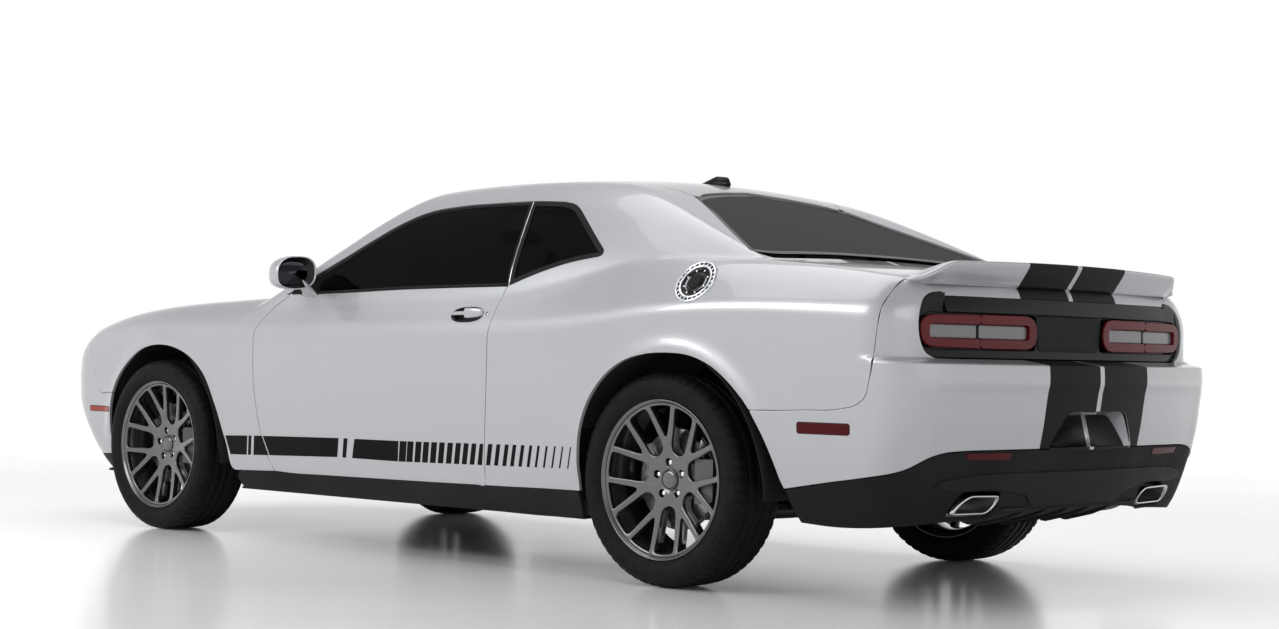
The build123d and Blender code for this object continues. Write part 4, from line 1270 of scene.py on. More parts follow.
hood_half = path(T((0, -1.045), (.30, -1.032), (.55, -1.005), (.693, -.9845)), T(*HOOD_SIDE[::-1]), T((.7575, -2.284), (.7440, -2.2990)) + E(-1, (.700, .803)), E(-1, (.60, .800), (.40, .803), (.20, .805), (0, .806)))
hood_loop = whole(hood_half)

UNDER_BUMPER = E(1, (0, .500), (.299, .500), (.52, .499), (.668, .497), (.725, .493), (.782, .481)) + [(.855, 2.343, .441)] + S((2.215, .410), (2.10, .392), (1.921, .362))
k_arch_mid = S(*ARCH_R3[::-1][1:])
bumper_half = path(UNDER_BUMPER, k_arch_mid + S((1.798, .609)), k_cut[1:], CUT_TOP, E(1, (.735, 1.022), (.672, 1.010)), E(1, (.668, .998)),
                   E(1, (.725, .990), (.760, .972), (.784, .935), (.793, .888), (.786, .842), (.764, .806), (.725, .789), (.66, .7855)), E(1, (.40, .7855), (.2, .7855), (0, .7855)))
bumper_loop = whole(bumper_half)


def patch(way, loops, **kw):
    return Cut(way, loops, **kw)


STATE = {}


def report(name, c):
    if c.missed:
        print("MISSED", name, c.missed)


_t = 2 * PI * np.arange(48) / 48
_u = .0890 * np.sign(np.cos(_t)) * np.abs(np.cos(_t)) ** (2 / 2.35); _v = .0300 * np.sign(np.sin(_t)) * np.abs(np.sin(_t)) ** (2 / 2.35)
handle_hole = np.array(S(*[(.3985 + u * math.cos(.02) - v * math.sin(.02), .916 + u * math.sin(.02) + v * math.cos(.02)) for u, v in zip(_u, _v)]))
door = patch(ROLL, [door_loop, handle_hole], gap=(.0028, 0))
side = patch(ROLL, [body_side_loop], gap=.0025, dv=.011)
fender = patch(ROLL, [fender_loop], gap=.0025)
roof = patch(Down(), [roof_loop], gap=.003, du=.022, dv=.022)
lid = patch(LID_WAY, [lid_loop], gap=.0028, du=.022, dv=.012)
band_half = path(E(1, (0, .9890), (.40, .9890), (.668, .9890)), E(1, (.664, .9340)), E(1, (.40, .934), (0, .934)))
lid_band = patch(LID_WAY, [whole(band_half)], gap=.0028, off=-.0025, du=.025, dv=.010)
hood = patch(HOOD_WAY, [hood_loop], gap=.0028, du=.017, dv=.022)
for n, c in (("door", door), ("side", side), ("fender", fender), ("roof", roof), ("lid", lid), ("hood", hood)):
    report(n, c)

pair("door_panel", door.solid(.016), M_PAINT, "{s}_door", "door_{s}", "body_paint")
pair("body_side", side.solid(.012), M_PAINT, "car_body", "quarter_panel_{s}", "body_paint")
pair("fender", fender.solid(.012), M_PAINT, "car_body", "front_fender_{s}", "body_paint")
piece("roof_skin", roof.solid(.010), M_PAINT, "car_body", "roof", "body_paint")
piece("boot_lid_skin", lid.solid(.014), [M_PAINT_STRIPED], "boot_lid", "trunk_lid", "body_paint")
piece("boot_lid_black_band", lid_band.solid(.012, .003, 3), M_GLOSS, "boot_lid", slot="gloss_black")
piece("hood_skin", hood.solid(.014), M_PAINT_STRIPED, "hood_panel", "hood", "body_paint")

# ---------------------------------------------------------------- rear bumper, with the number plate's recess
PLATE = [(.172, .622), (0, .6235), (-.172, .622)]
plate_loop = rounded(outline([(-.172, .622)], [(-.258, .4935)], [(.258, .4935)], [(.172, .622)], ds=.006), .018, .006)
P3 = np.array(knots(Along(1), plate_loop))
shelf = [.764, .7665, .769, .7705, .772, .7735, .775, .7765, .778, .7795, .781, .783]
bumper = patch(TAIL_WAY, [bumper_loop, P3], gap=(.0025, 0), du=.017, dv=.0085, rows=shelf)
report("bumper", bumper)
piece("rear_bumper_skin", bumper.solid(.012, edge=(.0022, .004), steps=3), M_PAINT_BUMPER, "car_body", "rear_bumper", "body_paint")

# front bumper, its openings and lip
FRONT_LOW = [(0, .318), (.30, .316), (.50, .312), (.68, .306), (.78, .302)]
front_half = path(E(-1, *FRONT_LOW) + S((-2.10, .300), (-1.958, .305)), S(*ARCH_F2[::-1][1:]) + S((-1.945, .574)), S(*NOSE_SEAM), T((.766, -2.266), (.7610, -2.2865)), T((.7460, -2.3035)) + E(-1, (.700, .799)), E(-1, (.60, .796), (.40, .799), (.20, .801), (0, .802)))
front_loop = whole(front_half)
GRILLE = [(0, .772), (.30, .771), (.55, .768), (.70, .760), (.765, .742), (.792, .705), (.785, .662), (.752, .632), (.68, .621), (.40, .617), (0, .616)]
grille_loop = whole(line(E(-1, *GRILLE), .012))
INTAKE = [[(0, .505), (.30, .505), (.50, .500)], [(.600, .470), (.625, .420), (.600, .372)], [(.50, .358), (.30, .354), (0, .352)]]
intake_loop = whole(path(*[E(-1, *r) for r in INTAKE]))
front = patch(NOSE_WAY, [front_loop, grille_loop, intake_loop], gap=(.0025, 0, 0), du=.017, dv=.009)
report("front", front)
piece("front_bumper_skin", front.solid(.012, edge=(.0016, .006, .005), steps=3), M_PAINT, "car_body", "front_bumper", "body_paint")

# ================================================================= glass and its surrounds
k_dlo_front = S(*DLO_TOP[::-1]) 
k_bline = S(*B_LINE, f=f_cabin)
C_SIDE = dict(f=f_cabin)

# the whole opening, then its parts
dlo_top_door = [p for p in DLO_TOP if p[0] < .50] 
door_glass_loop = outline(S(*B_LINE, f=f_cabin), S(*[p for p in DLO_TOP if p[0] < .50], f=f_cabin), S((-.60, .998), (-.348, 1.003), (-.023, 1.013), (.30, 1.018), (.571, 1.021), f=f_cabin))
quarter_glass_loop = outline(S(*KICK, f=f_cabin), S(*DLO_BACK, f=f_cabin), S(*DLO_UP, f=f_cabin), S(*DLO_BEND, f=f_cabin), S((.60, 1.339), (.524, 1.341), f=f_cabin), S(*B_LINE[::-1], f=f_cabin))
pane = patch(ROLL, [door_glass_loop], f=f_cabin, off=-.007, gap=.004, du=.03, dv=.02)
pair("door_glass_pane", pane.solid(.004, .0008, 1), M_SIDE_GLASS, "{s}_door", "door_glass_{s}", "side_glass")
pane = patch(ROLL, [quarter_glass_loop], f=f_cabin, off=-.007, gap=.004, du=.03, dv=.02)
qg = pane.solid(.004, .0008, 1)
piece("quarter_glass_pane_left", qg, M_SIDE_GLASS, "car_body", "quarter_glass", "side_glass")
piece("quarter_glass_pane_right", flipped(qg), M_SIDE_GLASS, "car_body", (), "side_glass")


def border(way, loop, w, f, off, gap=.003, keep=None, **kw):
    """A band that follows the inside of a closed loop."""
    c = Cut.__new__(Cut)
    c.way, c.f, c.off = way, f, off
    c.place = c._cast
    q = way.flat(loop)
    inner = c._move(q, w)
    return Cut(way, [loop, np.column_stack([inner])], f=f, off=off, gap=(gap, 0), **kw)


# black bands printed round the fixed quarter glass, and round the door glass where it meets the roof
c = border(ROLL, quarter_glass_loop, .020, f_cabin, -.0035, gap=.0012, du=.05, dv=.05)
pair("quarter_glass_surround", c.solid(.005, .0012, 2), M_SATIN, "car_body", slot="black_trim")
c = border(ROLL, door_glass_loop, .013, f_cabin, -.0050, gap=.0012, du=.05, dv=.05)
pair("door_glass_seal", c.solid(.004, .0010, 1), M_SATIN, "{s}_door", slot="black_trim")
# bright bead along the B line
bead = np.array(S(*[(y + .003, z) for y, z in B_LINE], f=f_cabin)); bead[:, 0] -= .0030
pair("b_pillar_bead", tube(line(bead, .02), .0020, 8), M_CHROME, "car_body", slot="black_trim")
# moulding along the belt, outside the glass
belt = np.array(S(*[(y, z + .003) for y, z in [(.560, 1.021)] + BELT[:-1] + [(-.68, .998)]], f=f_body))
pair("belt_moulding", tube(line(belt, .03), .0048, 10), M_GASKET, "{s}_door", slot="black_trim")

screen = patch(Down(), [screen_loop], f=f_cabin, off=-.006, gap=.004, du=.035, dv=.035)
piece("windscreen_pane", screen.solid(.005, .001, 1), M_SCREEN, "car_body", "windscreen", "screen_glass")
c = border(Down(), screen_loop, .030, f_cabin, -.0050, gap=.0015, du=.08, dv=.08)
piece("windscreen_frit", c.solid(.003, .0008, 1), M_GLOSS, "car_body", slot="black_trim")
back = patch(Down(), [back_loop], f=f_cabin, off=-.007, gap=.004, du=.035, dv=.035)
piece("rear_window_pane", back.solid(.005, .001, 1), M_BACK_GLASS, "car_body", "rear_glass", "screen_glass")
c = border(Down(), back_loop, .026, f_cabin, -.0060, gap=.0015, du=.08, dv=.08)
piece("rear_window_frit", c.solid(.003, .0008, 1), M_GLOSS, "car_body", slot="black_trim")

# demister lines on the rear window
lines = []
for k in range(11):
    t = (k + .8) / 12
    y = .985 + t * .60
    half = .36 + t * .31
    pts = np.array(T(*[(x, y - .035 * (1 - (x / .7) ** 2)) for x in np.linspace(-half, half, 15)], f=f_cabin)); pts[:, 2] -= .0128
    lines.append(tube(pts, .0006, 4))
piece("demister", joined(*lines), M_DARK_CHROME, "car_body", slot="screen_glass")

# sealing strips in the roof's two channels
ch = np.array(T(*[(x + .0005, y) for x, y in [(.671, -.190)] + DITCH])); ch[:, 2] -= .0035
pair("roof_channel_strip", tube(line(ch, .03), .0042, 8), M_PAINT, "car_body", slot="body_paint")

# ================================================================= tail
# gloss panel in the recess, body colour lid above it, lamps set into it
TF = lambda off: (lambda x, y, z: y - face_y(np.abs(x), z) - off)
panel_half = E(1, (0, .960), (.40, .960), (.660, .960)) + E(1, (.664, .992), (.722, .986), (.757, .968), (.781, .932), (.790, .888), (.783, .843), (.761, .809), (.722, .7915), (.66, .7885), (.4, .7885), (0, .7885))
LAMP = {  # outer and inner half of each lamp, as loops in (x, z)
    "outer": round_rect(.506, .823, .775, .922, .034, 8),
    "inner": round_rect(.206, .823, .4975, .924, .022, 8),
}


def lamp_shape(kind, grow=0.0):
    """Loops follow the lamp's slanted ends."""
    if kind == "outer":
        L = np.array([(.5065, .9215), (.5065, .8225)] + [(.722, .8255), (.752, .832), (.768, .846), (.776, .868), (.774, .893), (.764, .908), (.742, .917), (.700, .9205)])
    else:
        L = np.array([(.498, .8225), (.498, .9235), (.262, .9245), (.232, .920), (.214, .906), (.206, .886), (.205, .862), (.213, .840), (.232, .826), (.262, .8215)])
    return even(L, .008)


def shrink(L, d):
    """Moves a closed flat loop in by d (towards its own inside)."""
    L = np.asarray(L, float)
    e = np.roll(L, -1, 0) - L; e /= np.maximum(np.linalg.norm(e, axis=1, keepdims=True), 1e-9)
    n1 = np.c_[-e[:, 1], e[:, 0]]; n0 = np.roll(n1, 1, 0)
    n = n1 + n0; n /= np.maximum((np.linalg.norm(n, axis=1, keepdims=True) ** 2) / 2, .3)
    a = (L[:, 0] * np.roll(L[:, 1], -1) - np.roll(L[:, 0], -1) * L[:, 1]).sum()
    return L + n * d * (1 if a > 0 else -1)


def soft(L, r, ds=.004):
    return rounded(even(L, ds), r, ds)


AL = Along(1)


def face_cut(loops, off, gap=0, du=.03, dv=.02, **kw):
    """Loops are (x, z) on the upright face moved out by off."""
    f = TF(off)
    return Cut(AL, [np.asarray(l, float) for l in loops], f=f, gap=gap, du=du, dv=dv, **kw)


def mirror_loop(L):
    return L[::-1] * (-1, 1)


panel_flat = whole(path(E(1, (0, .960), (.40, .960), (.660, .960)), E(1, (.6635, .994)), E(1, (.722, .988), (.757, .971), (.782, .935), (.7905, .888), (.7835, .842), (.7615, .8085), (.722, .7915), (.66, .7885)), E(1, (.4, .7885), (0, .7885))))[:, [0, 2]]
lamp_out = soft(lamp_shape("outer"), .010)
lamp_in = soft(lamp_shape("inner"), .010)
lamp_all = np.array([(.205, .823), (.776, .823), (.776, .924), (.205, .924)])
pocket = soft(np.array([(.190, .812), (.74, .812), (.775, .825), (.788, .868), (.780, .915), (.745, .934), (.190, .934)]), .012)
c = face_cut([panel_flat, pocket, mirror_loop(pocket)], -.016, gap=(.0015, 0, 0), du=.02, dv=.012)
piece("tail_panel_skin", c.solid(.020, (.0015, .004, .004), 3), M_GLOSS, "car_body", "tail_panel", "gloss_black")
c = face_cut([pocket], -.034)
d = c.solid(.006, .0005, 1)
pair("lamp_pocket", d, M_GLOSS, "car_body", slot="gloss_black")
# plain centre panel between the lamps
ctr = soft(np.array([(-.182, .816), (.182, .816), (.196, .930), (-.196, .930)]), .006)
c = face_cut([ctr], -.0135, du=.03, dv=.03)
piece("tail_centre_panel", c.solid(.010, .002, 2), M_SATIN, "car_body", slot="gloss_black")


def racetrack():
    """Outline of one whole lamp, in (x, z), starting on top at the seam and going outboard first."""
    top = [(.502, .9225), (.60, .9215), (.700, .9205), (.742, .917), (.764, .908), (.774, .893), (.776, .868), (.768, .846), (.752, .832), (.722, .8255), (.60, .8235), (.502, .8225)]
    low = [(.498, .8225), (.38, .8218), (.262, .8215), (.232, .826), (.213, .840), (.205, .862), (.206, .886), (.214, .906), (.232, .920), (.262, .9245), (.38, .924), (.498, .9235)]
    return np.array(top), np.array(low)


def c_shape(half, w, w_end):
    """A C: along the half's outside and back along a line w further in (w_end at the closed end)."""
    P = np.array(half, float); n = len(P)
    mid = np.array(((P[0, 0] + P[-1, 0]) / 2, .8725))
    xs = np.abs(P[:, 0] - P[0, 0]); far = xs.max()
    q = P.copy()
    sgn = 1 if P[n // 2, 0] > P[0, 0] else -1
    q[:, 1] = P[:, 1] + np.where(P[:, 1] > .8725, -w, w)
    q[:, 0] = np.where(xs > far - w_end, P[0, 0] + sgn * (far - w_end), P[:, 0])
    q[:, 1] = np.where(np.abs(P[:, 1] - .8725) < w, .8725 + (P[:, 1] - .8725) * .35, q[:, 1])
    # inner slot with rounded closed end
    zt, zb = P[0, 1] - w, P[-1, 1] + w
    xe = P[0, 0] + sgn * (far - w_end)
    r = .012
    inner = [(P[-1, 0], zb), (xe - sgn * r, zb), (xe - sgn * r * .3, zb + r * .3), (xe, zb + r), (xe, zt - r), (xe - sgn * r * .3, zt - r * .3), (xe - sgn * r, zt), (P[0, 0], zt)]
    return np.concatenate([P, inner]), np.array(inner)


reds, bars, lips = [], [], []
top_half, low_half = racetrack()
for half in (top_half, low_half[::-1]):
    C, slot = c_shape(half, .0235, .034)
    C = rounded(even(C, .006), .0025, .003)
    c = face_cut([C], -.0045, du=.010, dv=.009)
    reds.append(c.solid(.018, .0045, 3))
    s2 = shrink(rounded(even(slot, .006), .002, .004), .0078)
    bars.append(face_cut([s2], -.0170, du=.014, dv=.008).solid(.008, .003, 2))
whole_lamp = rounded(even(np.concatenate([top_half, low_half]), .006), .001, .006)
c = face_cut([shrink(whole_lamp, -.0040), shrink(whole_lamp, .0006)], -.0105, du=.02, dv=.02)
lip = c.solid(.022, .0008, 1)
red = joined(*reds); bar = joined(*bars)
piece("lamp_red_ring_left", red, M_RED, "car_body", "tail_lights", "red_lens")
piece("lamp_red_ring_right", flipped(red), M_RED, "car_body", (), "red_lens")
pair("lamp_light_bar", bar, M_FROST, "car_body", slot="lamp_lens")
pair("lamp_bezel", lip, M_GLOSS, "car_body", slot="gloss_black")
# dark reflector floor behind the red ring
back_l = face_cut([shrink(whole_lamp, .0012)], -.0235, du=.03, dv=.02)
pair("lamp_reflector", back_l.solid(.004, .0005, 1), M_GLOSS, "car_body", slot="lamp_lens")

# ---------------------------------------------------------------- number plate's recess
outer = P3.copy()


def recess(loop, deep, top_back, mat, name):
    """Walls from the opening's edge to a back plate that leans."""
    n = len(loop)
    c0 = loop.mean(0)
    rings = []
    for k, t in enumerate((0.0, .25, .6, 1.0)):
        q = loop.copy()
        q[:, 1] -= deep * t * (.16 + .84 * (loop[:, 2] - .4935) / .1285)
        q[:, 0] = c0[0] + (loop[:, 0] - c0[0]) * (1 - .10 * t)
        q[:, 2] = loop[:, 2] + (-.018 * t) * ((loop[:, 2] - .49) / .13) + .002 * t
        rings.append(q)
    V, F, _ = loft(rings, True, False)
    base = (len(rings) - 1) * n
    F.append(tuple(base + i for i in range(n)))
    return V, F, None


e = P3.copy(); e[:, 1] += .001
V, F, N = recess(e, .062, 0, None, "")
piece("plate_recess_walls", (V, F[:-1], N), M_PAINT, "car_body", slot="body_paint")
nb = len(P3)
back_ring = V[-nb:]
inner_ring = back_ring + (0, .0025, 0)
V2 = np.concatenate([inner_ring, inner_ring - (0, .004, 0)])
F2 = [tuple(range(nb)), tuple(range(2 * nb - 1, nb - 1, -1))] + [(i, nb + i, nb + (i + 1) % nb, (i + 1) % nb) for i in range(nb)]
piece("plate_recess_panel", (V2, F2, None), M_PAINT_BUMPER, "car_body", slot="body_paint")
# plate lamp above
piece("plate_lamp", rbox((-.045, 2.440, .6085), (.045, 2.460, .6165), .003), M_FROST, "car_body", slot="lamp_lens")

# ---------------------------------------------------------------- black valance
VAL_LOW = [(0, .296), (.20, .296), (.36, .288), (.50, .276), (.66, .268), (.76, .262)]
val_half = path(E(1, (0, .4975), (.299, .4975), (.52, .4965), (.668, .4945), (.725, .4905), (.782, .4785)) + [(.856, 2.341, .4385)] + S((2.215, .4075), (2.10, .3895), (1.926, .3595)),
                S((1.945, .31), (1.975, .256)), S((2.10, .250), (2.20, .252)) + E(1, (.80, .260)), E(1, *VAL_LOW[::-1]))
val_loop = whole(val_half)


def tip_loop(grow=0.0):
    # slanted outlet, (x, z)
    L = np.array([(.632 + grow, .292 - grow), (.452 - grow * .6, .289 - grow), (.432 - grow, .318), (.440 - grow, .352 + grow), (.598 + grow * .6, .356 + grow), (.628 + grow, .330)])
    return soft(L, .012, .006)


hole = tip_loop(.016)
k_hole = np.array(knots(AL, hole)); k_hole_r = (k_hole * (-1, 1, 1))[::-1]
val = patch(TAIL_WAY, [val_loop, k_hole, k_hole_r], gap=(.002, 0, 0), off=-.004, du=.018, dv=.010)
report("valance", val)
piece("valance_skin", val.solid(.010, (.0015, .006, .006), 3), M_TEXTURED, "car_body", "rear_valance", "black_trim")
# raised step across the middle of the valance
step_half = path(E(1, (0, .418), (.30, .418), (.60, .412), (.70, .400)), E(1, (.735, .385)), E(1, (.66, .372), (.45, .371), (.30, .350)), E(1, (.26, .318), (.15, .314), (0, .314)))
c = patch(TAIL_WAY, [whole(step_half)], off=.004, du=.02, dv=.01)
piece("valance_centre", c.solid(.014, .007, 4), M_SATIN, "car_body", slot="black_trim")
# ramp under the middle, with low ribs running back along it
ramp = []
for x in np.linspace(-.40, .40, 25):
    e_ = 1 - .55 * sstep((abs(x) - .30) / .10)
    ramp.append([(x, 2.398, .3060), (x, 2.391, .3000), (x, 2.31, .2990 - .028 * e_), (x, 2.19, .2990 - .060 * e_), (x, 2.185, .3000 - .056 * e_), (x, 2.31, .3030 - .026 * e_), (x, 2.391, .3070)])
piece("valance_ramp", loft(ramp, True, True), M_TRIM, "car_body", slot="black_trim")
fins = []
for x in (-.26, -.13, 0, .13, .26):
    rr = [[(x - .003, y, z), (x + .003, y, z), (x + .0022, y, z - h), (x - .0022, y, z - h)] for y, z, h in ((2.388, .3000, .003), (2.36, .288, .009), (2.31, .272, .013), (2.21, .246, .012), (2.19, .240, .004))]
    fins.append(loft(rr, True, True))
piece("valance_ribs", joined(*fins), M_TRIM, "car_body", slot="black_trim")
# reflectors
rf = soft(np.array([(.427, .466), (.628, .468), (.640, .489), (.432, .491)]), .003)
c = patch(TAIL_WAY, [np.array(knots(AL, rf))], off=-.0015, du=.02, dv=.01)
pair("rear_reflector", c.solid(.006, .0015, 2), M_RED_DEEP, "car_body", slot="red_lens")

# exhaust outlets
def outlet():
    """Polished slanted outlet: rolled lip, inner wall and a pipe going forward."""
    out = tip_loop(0.0); y0 = 2.386
    lean = lambda L: y0 + .028 * (L[:, 1] - .32) / .035 * 1.0 - .05 * (np.abs(L[:, 0]) - .53)
    def ring(L, dy):
        return np.c_[L[:, 0], lean(L) + dy, L[:, 1]]
    a = shrink(out, -.001)
    rings = [ring(shrink(out, .0), -.24), ring(shrink(out, -.0005), -.05), ring(shrink(out, -.001), -.006), ring(shrink(out, .0006), -.0005), ring(shrink(out, .0030), .0005), ring(shrink(out, .0055), -.0010), ring(shrink(out, .0068), -.008), ring(shrink(out, .0072), -.10)]
    lip = loft(rings[:], True, False)
    dark = loft([ring(shrink(out, .0068), -.010), ring(shrink(out, .010), -.09)], True, False)
    V, F, _ = dark
    n = len(out)
    F = F + [tuple(n + i for i in range(n))]
    return lip, (V, F, None)


lip, dark = outlet()
pair("exhaust_outlet", lip, M_TIP, "car_body", slot="steel")
pair("exhaust_bore", dark, M_CAST, "car_body", slot="steel")

# ---------------------------------------------------------------- spoiler
def spoiler_section(x):
    """Closed section in (y, z), from the front foot over the top to the rear and back under."""
    ax = abs(x)
    t = sstep((ax - .655) / .115)                       # 0 over the middle, 1 at the tip
    top = .0 + (1.104 - .010 * (ax / .65) ** 2) * (1 - t) + 1.041 * t
    z_deck = float(top_z(np.array([ax]), np.array([2.20]))[0]) - .002
    z_deck = z_deck * (1 - t) + 1.038 * t
    y_front = 2.155 + .055 * (ax / .75) ** 2 + .035 * t
    y_back = 2.418 - .036 * (ax / .70) ** 2.2 - .050 * t
    y_foot = 2.372 - .036 * (ax / .70) ** 2.2 - .030 * t
    z_low = 1.020 - .003 * t
    n1 = 14
    pts = []
    for k in range(n1 + 1):                             # over the top: a long concave rise
        s = k / n1
        y = y_front + (y_back - .012 - y_front) * s
        z = z_deck + (top - z_deck) * (sstep(s * 1.0) * .55 + .45 * s ** 1.35)
        pts.append((y, z))
    pts += [(y_back - .004, top - .0005), (y_back, top - .005), (y_back - .001, top - .011)]
    for s in (.15, .35, .6, .85):
        pts.append((y_back - .001 + (y_foot - y_back) * s ** 1.15, top - .011 + (z_low + .004 - top + .011) * s))
    pts += [(y_foot, z_low + .002), (y_foot - .006, z_low - .002)]
    for s in (.25, .5, .75, 1.0):
        pts.append((y_foot - .006 + (y_front + .006 - y_foot + .006) * s, z_low - .002 + (min(z_deck - .016, z_low + .014) - z_low + .002) * s))
    return pts


xs = np.concatenate([np.linspace(-.770, -.655, 12), np.linspace(-.62, .62, 33), np.linspace(.655, .770, 12)])
rings = [[(x, y, z) for y, z in spoiler_section(x)] for x in xs]
# the tips close softly
first, last = np.array(rings[0]), np.array(rings[-1])
def closing(r, dx):
    c = r.mean(0); q = c + (r - c) * (.55, .55, .55); q[:, 0] += dx
    return q
rings = [closing(first, -.010)] + rings + [closing(last, .010)]
piece("spoiler_blade", loft(rings, True, True), M_PAINT_STRIPED, "boot_lid", "spoiler", "body_paint", sub=1)

# ================================================================= wheels, one design on four corners
def tyre_mesh():
    """Local frame: axis along X, outboard +X, centre at the origin."""
    n = 240
    groove = ((-.060, .0045), (-.018, .0045), (.018, .0045), (.060, .0045))
    prof = [(.2545, .094), (.2570, .0985), (.2620, .1010), (.2665, .1035), (.2745, .1075), (.2765, .1095), (.2790, .1105), (.2830, .1150), (.2860, .1175), (.2885, .1168), (.2920, .1190),
            (.3010, .1212), (.3120, .1222), (.3190, .1222), (.3235, .1216), (.3245, .1206), (.3255, .1206), (.3265, .1212), (.3350, .1180), (.3430, .1130), (.3500, .1072), (.3530, .1040), (.3550, .1005), (.3575, .0955), (.3592, .0900), (.3604, .0800)]
    tread = []
    xs = [.0705, .0645]
    for g, w in sorted(groove, reverse=True):
        if g < 0:
            continue
        tread += [(.3612 if g > .03 else .3618, g + w + .0006), (.3590, g + w * .80), (.3548, g + w * .62), (.3548, g - w * .62), (.3590, g - w * .80), (.3614 if g > .03 else .362, g - w - .0006)]
        if g > .03:
            tread += [(.3619, .040)]
    half = prof + [(.3610, .0720)] + tread
    half = half + [(.362, 0.0)]
    full = half + [(r, -x) for r, x in half[::-1][1:]]
    P = np.array(full)

    def wob(r, x, a):
        k = int(round(a / (2 * PI / n))) % n
        ax = np.abs(x)
        q = r.copy()
        # slots across the shoulder blocks, four steps to a block
        m = k % 4
        sh = (ax > .066) & (ax < .1085) & (r > .3495)
        q = np.where(sh & (m == 0), r - .0062 * np.clip((ax - .066) / .008, 0, 1), q)
        mid = (ax < .056) & (ax > .024) & (r > .3605)
        q = np.where(mid & (k % 6 == 0), r - .0022, q)
        return q
    V, F, _ = lathe(P, n, 0, wobble=wob)
    # inside of the casing
    V2, F2, _ = lathe([(.2545, .094), (.250, .085), (.255, .06), (.255, -.06), (.250, -.085), (.2545, -.094)], 96, 0)
    return joined((V, F, None), (V2, F2, None))


def rim_mesh():
    """Barrel and lip turned, face cut from a dished plate with seven forked spokes."""
    lip = [(.2660, .1000), (.2700, .1035), (.2712, .1062), (.2708, .1085), (.2690, .1098), (.2672, .1096), (.2655, .1080), (.2638, .1062), (.2618, .1046), (.2600, .1030), (.2588, .1010), (.2580, .0980), (.2574, .0930), (.2560, .0880),
           (.2530, .0820), (.2475, .0600), (.2400, .0300), (.2340, .0000), (.2340, -.0500), (.2400, -.0800), (.2500, -.0980), (.2600, -.1010), (.2700, -.1050), (.2712, -.1090), (.2690, -.1120), (.2640, -.1110), (.2600, -.1060),
           (.2560, -.1010), (.2560, -.0500), (.2560, .0500), (.2600, .0900), (.2660, .1000)]
    barrel = lathe(lip, 144, 0)

    def height(u, v):
        r = np.hypot(u, v)
        h = .0585 + .0370 * np.clip((r - .046) / .200, 0, 1.2) ** 1.5
        h = h - .006 * sstep((.048 - r) / .010)                 # shallow well for the centre cap
        return h
    a7 = 2 * PI / 7

    def rot(P, a):
        P = np.asarray(P, float); c, s = math.cos(a), math.sin(a)
        return np.c_[P[:, 0] * c - P[:, 1] * s, P[:, 0] * s + P[:, 1] * c]
    up = [(.1395, .0045), (.145, .0088), (.150, .0115), (.170, .0202), (.200, .0327), (.2470, .0520)]
    arc_end = math.atan2(.0520, .2470)
    arc = [(.2528 * math.cos(t), .2528 * math.sin(t)) for t in np.linspace(arc_end * .97, -arc_end * .97, 9)]
    fork = [(.138, 0)] + up + arc + [(r, -t) for r, t in up[::-1]]
    fork = rounded(even(fork, .006), .0045, .003)
    h7 = a7 / 2
    edge = [(.110, .0145), (.125, .0180), (.145, .0265), (.17, .0362), (.20, .0468), (.2450, .0632)]
    right = rot([(x, y) for x, y in edge], -h7)                   # upper edge of the spoke below, in the pocket's frame
    arc2_a = math.atan2(right[-1][1], right[-1][0])
    arc2 = [(.2526 * math.cos(t), .2526 * math.sin(t)) for t in np.linspace(arc2_a * .94, -arc2_a * .94, 7)]
    inner = [(.085, 0), (.0862, -.010), (.0900, -.0205), (.0965, -.0290), (.1052, -.0345)]
    low = inner + [tuple(q) for q in right]                       # along the lower side going out
    up2 = [(x, -y) for x, y in low[::-1]]
    pocket = low + arc2 + up2[:-1]
    pocket = rounded(even(pocket, .006), .0055, .003)
    a0 = PI / 2
    holes = []
    for k in range(7):
        holes.append(rot(fork, a0 + k * a7)[::-1]); holes.append(rot(pocket, a0 + (k + .5) * a7)[::-1])
    for k in range(5):
        holes.append(rot(disc_loop(.0155, 24), a0 + k * 2 * PI / 5) + np.array((math.cos(a0 + k * 2 * PI / 5), math.sin(a0 + k * 2 * PI / 5))) * .0575)
    M = np.eye(4); M[:3, 0] = (0, 1, 0); M[:3, 1] = (0, 0, 1); M[:3, 2] = (1, 0, 0)
    face = plate(M, [disc_loop(.2575, 160)] + holes, .040, [.0015] + [.0042] * 14 + [.0015] * 5, 3, height, du=.009, dv=.009)
    hub = lathe([(0, .030), (.074, .030), (.078, .026), (.078, -.002), (.040, -.006), (.034, -.006)], 64, 0)
    nut = []
    for k in range(5):
        a = a0 + k * 2 * PI / 5
        b = lathe([(0, .052), (.0060, .052), (.0095, .0500), (.0110, .046), (.0110, .030), (0, .030)], 6, 0)
        nut.append(turned(b, Matrix.Translation((0, .0575 * math.cos(a), .0575 * math.sin(a)))))
    cap = lathe([(0, .0635), (.010, .0634), (.022, .0622), (.0285, .0602), (.0312, .0575), (.0320, .0540), (.0320, .046)], 48, 0)
    cap_ring = lathe([(.0322, .052), (.0322, .0575), (.0335, .0592), (.0352, .0586), (.0360, .0560), (.0360, .050)], 48, 0)
    valve = turned(lathe([(0, .020), (.0026, .020), (.0034, .018), (.0036, .000), (.0050, -.002)], 12, 0), Matrix.Translation((.078, .0, .2320)))
    return joined(barrel, face, hub), joined(*nut), cap, cap_ring, valve


